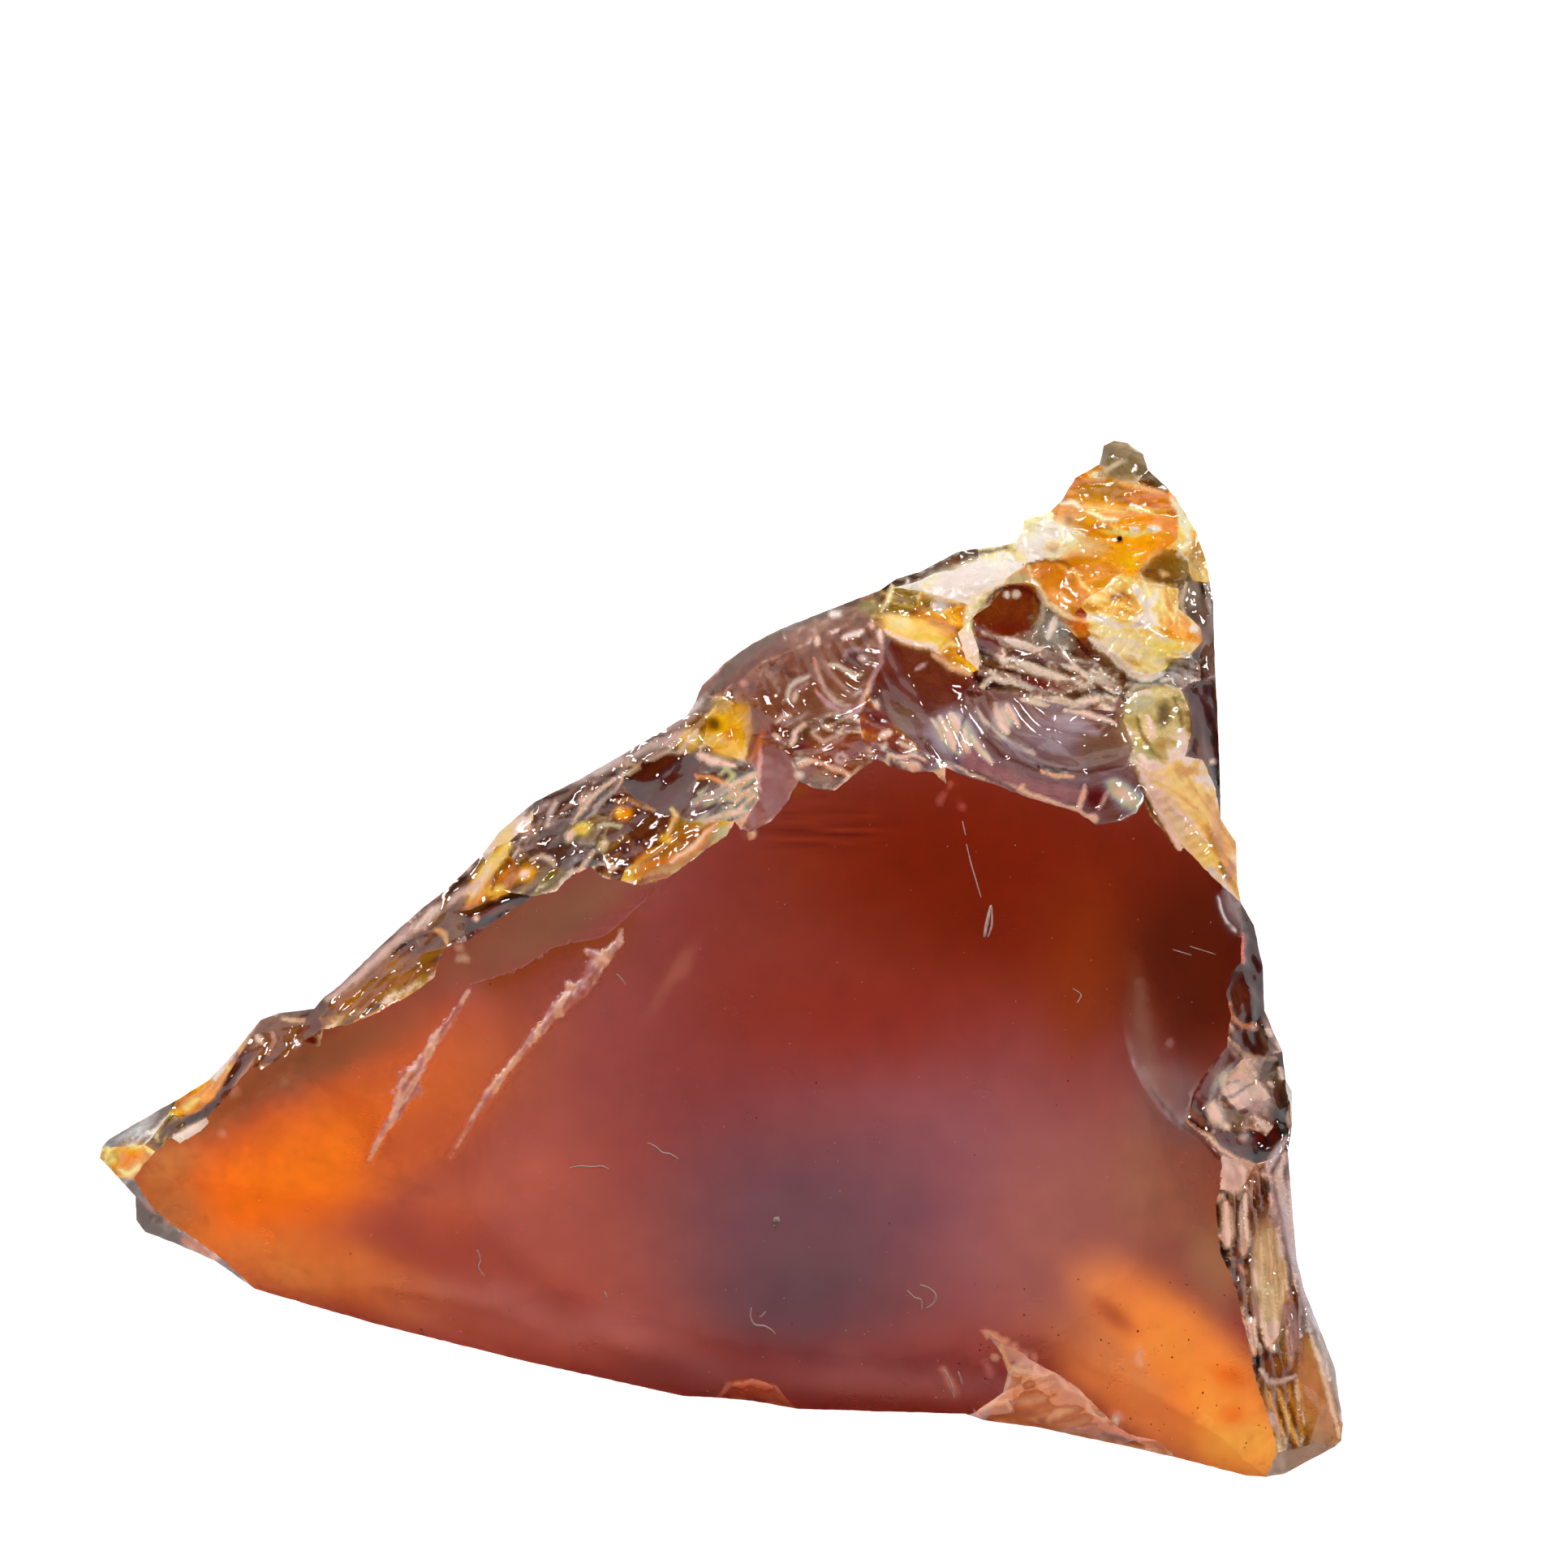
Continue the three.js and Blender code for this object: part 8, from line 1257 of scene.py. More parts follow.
h = h + ripples(name_mask("c2", "c3"), (1328, 826), 41, 6.0, 2.2, 0.4)
h = h + ripples(name_mask("c4"), (1328, 826), 30, 2.6, 1.8, 1.2)
h = h + ripples(name_mask("s1", "s3", "s4"), (1085, 770), 15, 1.5, 1.6)
h = h + ripples(name_mask("s2"), (1040, 790), 13, 1.2, 1.6)
h = h + ripples(name_mask("c1"), (1230, 745), 17, 1.0, 2.0)
h = h + ripples(name_mask("h1"), (1190, 720), 12, 1.6, 1.4)
h = h + ripples(name_mask("u4", "u5", "u14"), (700, 1200), 17, 1.6, 1.6)
h = h + ripples(name_mask("r4", "r5c", "r5e"), (1500, 1240), 15, 1.6, 1.6)
h = h + ripples(name_mask("r3a", "r3b", "r3c"), (1400, 900), 13, 1.5, 1.6)
h = h + ripples(name_mask("b2"), (1250, 1600), 22, 2.4, 1.6)
# the pit is a round hollow
pit = name_mask("h1")
h = h - np.where(pit, 26 * np.clip(1 - ((u - 1240) / 42) ** 2 - ((v - 753) / 34) ** 2, 0, 1), 0)
# the crust has wavy layers
strata = name_mask("g1a", "g1b", "g1c", "g1d", "g3")
lay = v + 0.10 * (u - 1380) + 9 * layered(u / 60, v / 45, 53, 3)
h = h + np.where(strata, off_edge * 3.0 * (np.abs(np.sin(np.pi * lay / 15.0)) ** 0.6 - 0.5), 0)
lobe = name_mask("g8a", "g8b", "g8c", "g6")
lay = 0.75 * u + 0.66 * v + 10 * layered(u / 40, v / 40, 59, 3)
h = h + np.where(lobe, off_edge * 2.4 * (np.abs(np.sin(np.pi * lay / 13.0)) ** 0.6 - 0.5), 0)
# the thin right flank is fluted along its length
flute = name_mask("k2", "k4", "k6", "k7", "k7b", "k3")
lay = u - 0.12 * (v - 1600) + 7 * layered(u / 30, v / 90, 61, 3)
h = h + np.where(flute, off_edge * 4.2 * (np.abs(np.sin(np.pi * lay / 12.0)) ** 0.7 - 0.5), 0)
strip = name_mask("k5", "k9", "fl_silver", "fl_silver2", "fl_olive", "fl_olive2")
lay = np.where(u > 1200, u - 0.25 * (v - 1600), 0.68 * u + 0.73 * v) + 6 * layered(u / 26, v / 60, 67, 3)
h = h + np.where(strip, off_edge * 2.6 * (np.abs(np.sin(np.pi * lay / 11.0)) ** 0.7 - 0.5), 0)

# single marks stand a little proud or a little deep
def mark_relief(near, w, rgb, cl, shape):
    light = (0.3 * rgb[0] + 0.6 * rgb[1] + 0.1 * rgb[2]) / 255.0
    if (w * is_main[near]).sum() < 0.5 * w.sum():
        push[near] += np.clip(3.0 * (light - 0.35), -1.6, 2.0) * w


push = np.zeros(len(u))
marked(u, v, mark_relief)
h = h + np.where(is_main, 0, off_edge * np.clip(push, -2.5, 3.0))

# relief of the large face
m = is_main
face = np.zeros(len(u))
face += 0.9 * layered(u / 170, v / 170, 83, 2) + 0.05 * layered(u / 30, v / 30, 89, 2)
r, t, side = along(STEP, u, v)
taper = ease(0, 0.16, t) * (1 - ease(0.80, 1.0, t))
below = side > 0
face += np.where(below, -9.0 * np.exp(-r / 38.0), 2.0 * np.exp(-r / 14.0)) * taper
face_flake = np.zeros(len(u))
for k, c in enumerate((CRACK_A, CRACK_B, CRACK_C, CRACK_D)):
    w, s2 = flake(c, u, v, 100 + 10 * k)
    face_flake = np.maximum(face_flake, w)
ragged = ease(0.0, 0.35, face_flake)
face += ragged * (4.0 + 3.4 * layered(u / 10, v / 10, 97, 2)) + 2.5 * face_flake
# a shell-shaped wave below the fracture band; the faint fold by the pink column is weighted to nothing
r = np.hypot(u - 1120, v - 1080)
face += -3.2 * np.exp(-((u - 1075) / 70) ** 2 - ((v - 1085) / 55) ** 2)
face += 1.6 * np.exp(-((r - 95) / 12) ** 2) * ease(1130, 1230, u) * 0
h = h + np.where(m, face * (1 - np.exp(-(edge_r / 6.0) ** 2)), 0)
# the large face is even where it is free of breaks
links_of = np.concatenate([faces[:, [0, 1]], faces[:, [1, 2]], faces[:, [2, 0]]])
free = is_main & (edge_r > 4) & (along(STEP, u, v)[0] > 9) & (face_flake <= 0)
rest_h = h - dome(u, v)
for _ in range(4):
    total, times = np.zeros(len(u)), np.zeros(len(u))
    for a, b in ((0, 1), (1, 0)):
        np.add.at(total, links_of[:, a], rest_h[links_of[:, b]])
        np.add.at(times, links_of[:, a], 1)
    rest_h = np.where(free, 0.4 * rest_h + 0.6 * total / np.maximum(times, 1), rest_h)
h = np.where(free, dome(u, v) + rest_h, h)
front_h = h

# ---------------------------------------------------------------- underside
back_pts = np.concatenate([pts[:RIM], triples(BACK_POINTS).astype(float)])
back_tris = np.concatenate([triples(BACK), triples(REST)])
n_slope = len(triples(BACK))
b_owner = {}
# neighbouring slopes that lie nearly in one plane make one break face
normals = []
for t in back_tris:
    a, b, c = back_pts[t[0]], back_pts[t[1]], back_pts[t[2]]
    n = np.cross(b - a, c - a)
    normals.append(n / max(np.linalg.norm(n), 1e-9))
parent = list(range(len(back_tris)))


def root(i):
    while parent[i] != i:
        i = parent[i]
    return i


pairs = {}
for k, t in enumerate(back_tris):
    for i in range(3):
        a, b = int(t[i]), int(t[(i + 1) % 3])
        pairs.setdefault((min(a, b), max(a, b)), []).append(k)
for e, ks in pairs.items():
    if len(ks) == 2:
        both = all(k >= n_slope for k in ks)
        neither = all(k < n_slope for k in ks)
        if both or (neither and float(np.dot(normals[ks[0]], normals[ks[1]])) > 0.93):
            parent[root(ks[0])] = root(ks[1])
b_facet = np.array([root(k) for k in range(len(back_tris))])
b_edges = {e: [int(b_facet[k]) for k in ks] for e, ks in pairs.items()}

bnet = Net()
for i in range(RIM):
    bnet.chain(RIM_LINES[i])
for k, (e, fs) in enumerate(b_edges.items()):
    if len(fs) == 2 and fs[0] != fs[1]:
        flat = any(x >= n_slope for x in pairs[e])
        bnet.chain(split_edge(back_pts[e[0]], back_pts[e[1]], 7.0, 3.0, 900 + k))
bxy, bfaces = triangulate(bnet, [(9.0, lambda x, y: np.ones(x.shape, bool), 8)], 3.4)
b_of, b_w = locate(bxy, back_pts, back_tris)
assert (b_of >= 0).all()
bh = (b_w * back_pts[back_tris[b_of], 2]).sum(1)
resting = b_of >= n_slope
bu, bv = bxy[:, 0], bxy[:, 1]
b_edge = facet_edge_distance(bxy, b_facet[b_of], back_pts, b_edges)
b_off = 1 - np.exp(-(b_edge / 9.0) ** 2)
waves = np.hypot(bu - 1100, bv - 700) + 14 * layered(bu / 90, bv / 90, 131, 3)
b_relief = 6.0 * (1 - np.exp(-b_edge / 30.0)) + b_off * (1.6 * (0.5 + 0.5 * np.cos(2 * np.pi * waves / 60.0)) ** 1.6 + 1.6 * layered(bu / 60, bv / 60, 137, 3))
bh = np.where(resting, 0.0, np.maximum(bh + b_relief, 0.4))

# ---------------------------------------------------------------- one closed mesh
box_pts = np.concatenate([pts, triples(BACK_POINTS)])


def to_mm(uu, vv, hh):
    z = hh / UNITS
    k = (STATION_HEIGHT - z) / (STATION_HEIGHT - SURVEY_LEVEL) / UNITS
    return np.stack([(uu - STATION[0]) * k, (STATION[1] - vv) * k, z], 1)


corners = to_mm(box_pts[:, 0], box_pts[:, 1], box_pts[:, 2])
middle = (corners.min(0) + corners.max(0)) / 2
middle[2] = 0.0

rim_key = {(round(float(x), 2), round(float(y), 2)) for x, y in rim_poly}
key_f = {}
for i, (x, y) in enumerate(xy):
    k = (round(float(x), 2), round(float(y), 2))
    if k in rim_key:
        key_f[k] = i
remap = np.zeros(len(bxy), int)
extra = []
for i, (x, y) in enumerate(bxy):
    k = (round(float(x), 2), round(float(y), 2))
    if k in key_f:
        remap[i] = key_f[k]
    else:
        remap[i] = len(xy) + len(extra)
        extra.append(i)
extra = np.array(extra)
F_all = to_mm(u, v, front_h)
B_all = to_mm(bu[extra], bv[extra], bh[extra])
verts = np.concatenate([F_all, B_all]) - middle
all_kind = np.concatenate([kind_of, np.where(resting[extra], KIND_NAMES.index("rest"), KIND_NAMES.index("back"))])


def wound(xy_, f, up):
    a, b, c = xy_[f[:, 0]], xy_[f[:, 1]], xy_[f[:, 2]]
    area = (b[:, 0] - a[:, 0]) * (c[:, 1] - a[:, 1]) - (c[:, 0] - a[:, 0]) * (b[:, 1] - a[:, 1])
    f = f[np.abs(area) > 1e-7]
    area = area[np.abs(area) > 1e-7]
    flip = (area > 0) if up else (area < 0)
    f = f.copy()
    f[flip] = f[flip][:, ::-1]
    return f


ff = wound(xy, faces, True)
bf = remap[wound(bxy, bfaces, False)]
all_faces = np.concatenate([ff, bf])
print("triangles", len(ff), len(bf), "corners", len(verts))


def make_mesh(name, vs, fs):
    me = bpy.data.meshes.new(name)
    me.vertices.add(len(vs))
    me.vertices.foreach_set("co", (np.asarray(vs, float) * 0.001).ravel())
    me.loops.add(3 * len(fs))
    me.loops.foreach_set("vertex_index", np.asarray(fs, np.int32).ravel())
    me.polygons.add(len(fs))
    me.polygons.foreach_set("loop_start", np.arange(0, 3 * len(fs), 3, dtype=np.int32))
    me.polygons.foreach_set("loop_total", np.full(len(fs), 3, dtype=np.int32))
    me.update(calc_edges=True)
    me.validate(verbose=False)
    ob = bpy.data.objects.new(name, me)
    bpy.context.scene.collection.objects.link(ob)
    return ob


stone = make_mesh("amber_stone", verts, all_faces)
me = stone.data
me.shade_smooth()
me.set_sharp_from_angle(angle=math.radians(24))
# no hard edges inside the large face but at the step and round the crack flakes
ends = np.zeros(2 * len(me.edges), np.int32)
me.edges.foreach_get("vertices", ends)
ends = ends.reshape(-1, 2)
near_step = along(STEP, u, v)[0] < 5
soft_at = np.concatenate([is_main & ~near_step & ((face_flake < 0.01) | (face_flake > 0.3)), np.zeros(len(verts) - len(u), bool)])
hard = np.zeros(len(me.edges), bool)
me.attributes["sharp_edge"].data.foreach_get("value", hard)
both = np.concatenate([is_main, np.zeros(len(verts) - len(u), bool)])
hard[(soft_at[ends[:, 0]] | soft_at[ends[:, 1]]) & both[ends[:, 0]] & both[ends[:, 1]] & (np.append(edge_r, np.zeros(len(verts) - len(u)))[ends].min(1) > 1.0)] = False
me.attributes["sharp_edge"].data.foreach_set("value", hard)
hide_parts("amber")
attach(stone, "root")


# ---------------------------------------------------------------- colour of the resin
def lin(r, g, b):
    return np.array([((c / 255.0) / 12.92) if c / 255.0 <= 0.04045 else (((c / 255.0) + 0.055) / 1.055) ** 2.4 for c in (r, g, b)])


RESIN_COLOUR = (0.95, 0.52, 0.17)      # of the absorption inside
RESIN_DENSITY = 100.0                  # per metre
SOAK = RESIN_DENSITY * (1 - np.array(RESIN_COLOUR)) / 1000.0   # per mm
BACK_WARM = np.array([0.97, 0.50, 0.22])     # of the weathered underside
BACK_PALE = np.array([0.98, 0.90, 0.76])     # and of its thin edges and the part under the crust
TABLE_LIGHT = 0.95                     # how bright the white below looks through the piece
TOP_LIGHT = 0.34                       # and how bright a white matt patch on it looks


def back_tint(x, y):
    """Colour of the underside's skin below a place on the survey."""
    rim = along(list(rim_poly) + [tuple(rim_poly[0])], x, y)[0]
    w = np.maximum(np.exp(-(rim / 70.0) ** 2), spot((1320, 730), (270, 190), 20, 1.8)(x, y))[:, None]
    return BACK_WARM[None] * (1 - w) + BACK_PALE[None] * w


def skin(seen, clear, thick, under_tint):
    """The surface tint that makes resin of that thickness look the asked colour."""
    through = np.exp(-SOAK[None] * 1.3 * thick[:, None]) * TABLE_LIGHT * under_tint ** 0.9 * clear[:, None]
    matt = np.maximum((1 - clear) * TOP_LIGHT, 0.02)[:, None]
    s = (-through + np.sqrt(through ** 2 + 4 * matt * seen)) / (2 * matt)
    return np.clip(s ** 2, 0.00001, 0.98)


def spot(at, reach, turn=0.0, soft=1.0):
    """A soft oval patch: 1 in its middle, 0 outside."""
    c, s = math.cos(math.radians(turn)), math.sin(math.radians(turn))

    def weight(x, y):
        dx, dy = x - at[0], y - at[1]
        a = (dx * c + dy * s) / reach[0]
        b = (-dx * s + dy * c) / reach[1]
        return np.exp(-((a * a + b * b) ** soft))

    return weight


# Where the large face is thin, thick, cloudy or stained. Each patch is mixed in
# after the ones above it: name, patch, colour as seen, strength, clearness.
PATCHES = [
    ("rose brown body", spot((640, 1480), (330, 200), 0, 1.4), (168, 78, 60), 0.9, 0.80),
    ("wine middle", spot((900, 1330), (200, 150), -20, 1.3), (138, 58, 50), 0.8, 0.85),
    ("deep red top", spot((1230, 1080), (400, 190), 8, 1.8), (124, 37, 7), 1.0, 0.96),
    ("red shoulder of the top", spot((930, 1200), (130, 130), 30, 1.2), (136, 50, 30), 0.7, 0.90),
    ("amber streak at the top", spot((1340, 1200), (60, 130), 10, 1.2), (138, 50, 12), 0.7, 0.94),
    ("dark right lobe", spot((1480, 1190), (105, 150), 8, 1.6), (96, 38, 14), 0.95, 0.95),
    ("rose middle right", spot((1200, 1470), (170, 120), 20, 1.4), (148, 78, 82), 0.95, 0.72),
    ("violet haze", spot((990, 1520), (175, 140), 0, 1.5), (116, 70, 76), 0.95, 0.66),
    ("violet depth", spot((985, 1610), (120, 60), 0, 1.2), (102, 64, 69), 0.8, 0.66),
    ("plum foot", spot((1010, 1700), (260, 40), 0, 1.4), (128, 66, 70), 0.8, 0.70),
    ("brown rose right", spot((1300, 1500), (90, 120), 0, 1.3), (162, 86, 72), 0.8, 0.80),
    ("brown right", spot((1450, 1470), (95, 110), 0, 1.4), (152, 88, 62), 0.9, 0.82),
    ("grey brown by the scoop", spot((1465, 1370), (60, 50), 30, 1.4), (122, 80, 70), 0.8, 0.85),
    ("warm upper left", spot((520, 1350), (170, 75), -30, 1.4), (190, 90, 46), 0.85, 0.84),
    ("left glow above", spot((470, 1335), (140, 62), -35, 1.4), (198, 92, 48), 0.85, 0.90),
    ("left glow", spot((328, 1458), (225, 84), -24, 1.7), (234, 108, 32), 1.0, 0.92),
    ("left glow below", spot((365, 1548), (140, 42), 14, 1.4), (228, 126, 58), 0.85, 0.90),
    ("left glow core", spot((345, 1462), (120, 40), -20, 1.4), (246, 114, 28), 0.9, 0.92),
    ("lower left rim", spot((450, 1588), (170, 30), 14, 1.3), (204, 122, 64), 0.7, 0.85),
    ("brown edge by the tip", spot((265, 1368), (75, 26), -40, 1.4), (170, 96, 50), 0.9, 0.88),
    ("left tip shade", spot((215, 1492), (44, 44), 0, 1.5), (176, 104, 60), 0.85, 0.85),
    ("tip brown", spot((205, 1440), (40, 26), -20, 1.5), (196, 118, 62), 0.8, 0.85),
    ("grey brown edge", spot((390, 1300), (130, 36), -24, 1.5), (144, 84, 52), 0.95, 0.84),
    ("pink brown band", spot((670, 1132), (170, 40), -28, 1.6), (138, 84, 58), 0.95, 0.80),
    ("rust before the glow", spot((1378, 1605), (70, 42), 35, 1.4), (190, 96, 62), 0.9, 0.84),
    ("broad glow on the right", spot((1405, 1712), (130, 48), 34, 1.4), (214, 128, 74), 0.85, 0.90),
    ("right glow", spot((1475, 1692), (160, 56), 43, 1.7), (255, 146, 58), 1.0, 0.99),
    ("dull edge of the glow", spot((1400, 1727), (84, 28), 32, 1.4), (236, 150, 84), 0.85, 0.92),
    ("yellow corner", spot((1530, 1775), (62, 44), 20, 1.6), (250, 172, 76), 0.95, 0.92),
    ("stain", spot((1512, 1697), (22, 12), 40, 1.2), (224, 92, 22), 0.7, 0.90),
    ("stain below", spot((1520, 1741), (16, 13), 0, 1.2), (230, 100, 24), 0.7, 0.90),
    ("rust cloud", spot((1372, 1622), (36, 13), 38, 1.2), (158, 66, 44), 0.7, 0.86),
    ("pale wisp", spot((830, 1205), (9, 46), 32, 1.3), (176, 92, 70), 0.5, 0.76),
    ("crescent round the scoop", spot((1412, 1290), (16, 95), -8, 1.5), (128, 70, 50), 0.6, 0.90),
    ("red above the middle", spot((1080, 1250), (170, 70), 0, 1.3), (142, 44, 24), 0.7, 0.90),
    # painted light: the foot of the face is set lighter, making up for the light that its steep underside by the rim
    # lets through less
    ("foot left", spot((690, 1640), (180, 36), 12, 1.3), (186, 118, 112), 0.9, 0.80),
    ("foot middle", spot((865, 1690), (120, 24), 8, 1.3), (144, 90, 94), 0.9, 0.80),
    ("foot right", spot((1100, 1702), (130, 26), 5, 1.3), (164, 108, 108), 0.9, 0.76),
    ("grey brown by the columns", spot((1502, 1560), (36, 56), 0, 1.3), (164, 112, 76), 0.85, 0.86),
    ("duller left glow", spot((505, 1400), (64, 28), -35, 1.3), (188, 86, 50), 0.7, 0.88),
    ("rose beside the left glow", spot((562, 1482), (56, 38), -20, 1.3), (188, 90, 58), 0.75, 0.84),
    ("rose below the crack", spot((645, 1440), (60, 50), 0, 1.3), (182, 86, 64), 0.7, 0.82),
]
BASE_RESIN = (150, 70, 60)

tri_mid = (xy[ff[:, 0]] + xy[ff[:, 1]] + xy[ff[:, 2]]) / 3
mid_tri, _ = locate(tri_mid, pts, tris)
ff_facet = tri_facet[mid_tri]
ff_kind = np.array([KIND_NAMES.index(facet_kind[f]) for f in ff_facet])

under_tri, under_w = locate(xy, back_pts, back_tris)
under = (under_w * back_pts[back_tris[under_tri], 2]).sum(1)
thick_at = np.clip((front_h - under) / UNITS, 0.2, None)


def face_colour(x, y):
    col = np.repeat(lin(*BASE_RESIN)[None], len(x), 0)
    clear = np.full(len(x), KINDS["main"]["clear"])
    wx = x + 12 * layered(x / 70, y / 70, 201, 3)
    wy = y + 12 * layered(x / 70, y / 70, 207, 3)
    for _, weight, rgb, strength, cl in PATCHES:
        w = weight(wx, wy) * strength
        col = col * (1 - w[:, None]) + lin(*rgb)[None] * w[:, None]
        clear = clear * (1 - w) + cl * w
    # faint level striations under the fracture band
    band = spot((1015, 1020), (80, 36), 0, 1.4)(x, y)
    col = col * (1 + 0.42 * (band * layered(x / 70, y / 5.5, 241, 2))[:, None])
    return col, clear


# corners of the upper triangles, each with its own facet's finish
cx, cy = u[ff].ravel(), v[ff].ravel()
ck = np.repeat(ff_kind, 3)
cf = np.repeat(ff_facet, 3)
ce = edge_r[ff].ravel()
ct = thick_at[ff].ravel()
on_face = ck == 0
cell, cloud, ridge, level, clear, gloss, csize, clong = (prop(n, ck) for n in ("cell", "cloud", "ridge", "level", "clear", "rough", "size", "long"))
runs = np.array([KINDS[k]["run"] for k in KIND_NAMES], float)[ck]
lane, across = run_of(cx, cy, cf)
big, small = scars(cx, cy, cf, csize, clong)
gate = ease(-0.25, 0.35, layered(cx / 19, cy / 19, 227, 2))
warp = 5 * layered(cx / 33, cy / 33, 229, 2)
streaks = layered(lane / runs[:, 0], (across + warp) / runs[:, 1], 233, 3, 0.6)
tone = level + 0.9 * cell * (big[1] - 0.5) + 0.35 * cell * (small[1] - 0.5) + 0.62 * cloud * streaks
# painted highlights: the tone is lifted along the ridges between flake scars and close to each chip's creases
tone = tone + ridge * gate * (np.exp(-(big[2] / 0.10) ** 2) + 0.5 * np.exp(-(small[2] / 0.12) ** 2))
tone = tone + 0.30 * gate * np.exp(-(ce / 2.4) ** 2)
tone = np.clip(tone, 0, 1)
stops = np.array([[lin(*c) for c in KINDS[k]["tones"]] for k in KIND_NAMES])[ck]
colour = np.zeros((len(cx), 3))
for c in range(3):
    lo, a2, b2, hi = (stops[:, i, c] for i in range(4))
    colour[:, c] = np.where(tone < 0.42, lo + (a2 - lo) * tone / 0.42, np.where(tone < 0.72, a2 + (b2 - a2) * (tone - 0.42) / 0.30, b2 + (hi - b2) * (tone - 0.72) / 0.28))
clear = np.clip(clear - 0.40 * ease(0.70, 1.0, tone) * clear + 0.10 * ease(0.4, 0.0, tone), 0, 1)
mcol, mclear = face_colour(cx, cy)
colour = np.where(on_face[:, None], mcol, colour)
clear = np.where(on_face, mclear, clear)
gloss = np.where(on_face, gloss, np.clip(gloss + 0.06 * layered(cx / 9, cy / 9, 239, 2), 0.02, 1))
# the pale flakes of the healed cracks
fw = ragged[ff].ravel() * on_face
fibre = layered((0.5 * cx - 0.87 * cy) / 26, (0.87 * cx + 0.5 * cy) / 6, 251, 3, 0.6)
fibre = ease(-0.45, 0.5, fibre)[:, None]
chalk = lin(170, 92, 78)[None] * (1 - fibre) + lin(240, 198, 192)[None] * fibre
fw = fw * (0.62 + 0.38 * ease(-0.5, 0.1, layered(cx / 13, cy / 13, 253, 2)))
colour = colour * (1 - 0.92 * fw[:, None]) + chalk * 0.92 * fw[:, None]
clear = clear * (1 - fw) + 0.55 * fw
gloss = gloss + 0.1 * fw
# stronger colour in the hollow under the step
r, t, side = along(STEP, cx, cy)
tp = ease(0, 0.16, t) * (1 - ease(0.72, 0.96, t)) * on_face
hollow = np.where(side > 0, np.exp(-r / 34.0), 0) * tp * (1 - fw)
colour = colour * (1 - 0.85 * hollow[:, None]) + lin(140, 60, 16)[None] * 0.85 * hollow[:, None]
# single marks, each kept to the large face or to the chips, wherever it lies
dapple = 1 + 0.12 * layered(cx / 9, cy / 9, 311, 2)


def mark_colour(near, w, rgb, cl, shape):
    home = (w * on_face[near]).sum() > 0.5 * w.sum()
    w = w * (on_face[near] == home)
    colour[near] = colour[near] * (1 - w[:, None]) + lin(*rgb)[None] * (dapple[near] * w)[:, None]
    clear[near] = clear[near] * (1 - w) + cl * w


marked(cx, cy, mark_colour)
# what the room's own light adds on the surface is taken off beforehand
P3 = np.stack([u, v, front_h], 1)
fn = np.cross(P3[ff[:, 1]] - P3[ff[:, 0]], P3[ff[:, 2]] - P3[ff[:, 0]])
lean = 1 - np.abs(fn[:, 2]) / np.maximum(np.linalg.norm(fn, axis=1), 1e-9)
lean_at = np.zeros(len(u))
np.add.at(lean_at, ff.ravel(), np.repeat(lean, 3))
lean_at /= np.maximum(np.bincount(ff.ravel(), minlength=len(u)), 1)
added = np.where(on_face[:, None], np.array([0.030, 0.009, 0.005])[None], (0.020 + 0.06 * np.clip(lean_at[ff].ravel(), 0, 0.4))[:, None])
colour = np.maximum(colour - added, np.where(on_face, 0.5, 0.22)[:, None] * colour)
at_corner = back_tint(u, v)[ff.ravel()]
colour = skin(colour, clear, ct, at_corner)

bf_survey = wound(bxy, bfaces, False)
b_mid = np.repeat(bxy[bf_survey].mean(1), 3, axis=0)
b_tri, _ = locate(b_mid, back_pts, back_tris)
b_rest = b_tri >= n_slope
b_cloud = layered(b_mid[:, 0] / 40, b_mid[:, 1] / 40, 257, 3)
bx2 = bxy[bf_survey].reshape(-1, 2)
b_stain = 0.10 * layered(bx2[:, 0] / 90, bx2[:, 1] / 90, 259, 3) + 0.16 * layered(bx2[:, 0] / 24, bx2[:, 1] / 24, 263, 2)
b_colour = np.clip(back_tint(bx2[:, 0], bx2[:, 1]) * (1 + 0.06 * b_cloud + b_stain)[:, None], 0.02, 0.98)
b_clear = np.full(len(b_mid), 1.0)
b_gloss = np.where(b_rest, KINDS["rest"]["rough"], KINDS["back"]["rough"]) + 0.05 * b_cloud
colour = np.concatenate([colour, b_colour])
clear = np.concatenate([clear, b_clear])
gloss = np.concatenate([gloss, b_gloss])
satin = np.concatenate([on_face.astype(float), -np.ones(len(b_clear))])

layer = me.color_attributes.new("tint", "FLOAT_COLOR", "CORNER")
layer.data.foreach_set("color", np.concatenate([colour, np.ones((len(colour), 1))], 1).ravel())
for name, values in (("clear", clear), ("gloss", gloss), ("satin", satin)):
    a = me.attributes.new(name, "FLOAT", "CORNER")
    a.data.foreach_set("value", values.astype(np.float32))


# ---------------------------------------------------------------- materials
def material(name):
    m = bpy.data.materials.new(name)
    m.use_nodes = True
    m.node_tree.nodes.clear()
    return m, m.node_tree.nodes, m.node_tree.links


def node(nodes, kind, **values):
    n = nodes.new(kind)
    for k, x in values.items():
        setattr(n, k, x)
    return n


def maths(nodes, links, op, a, b=None, c=None, clamp=False):
    n = node(nodes, "ShaderNodeMath", operation=op, use_clamp=clamp)
    for i, x in enumerate((a, b, c)):
        if x is None:
            continue
        if isinstance(x, (int, float)):
            n.inputs[i].default_value = x
        else:
            links.new(x, n.inputs[i])
    return n.outputs[0]


def noise(nodes, links, where, scale, detail=3.0, rough=0.5, kind="FBM"):
    n = node(nodes, "ShaderNodeTexNoise", noise_dimensions="3D")
    n.inputs["Scale"].default_value = scale
    n.inputs["Detail"].default_value = detail
    n.inputs["Roughness"].default_value = rough
    links.new(where, n.inputs["Vector"])
    return n.outputs["Fac"]


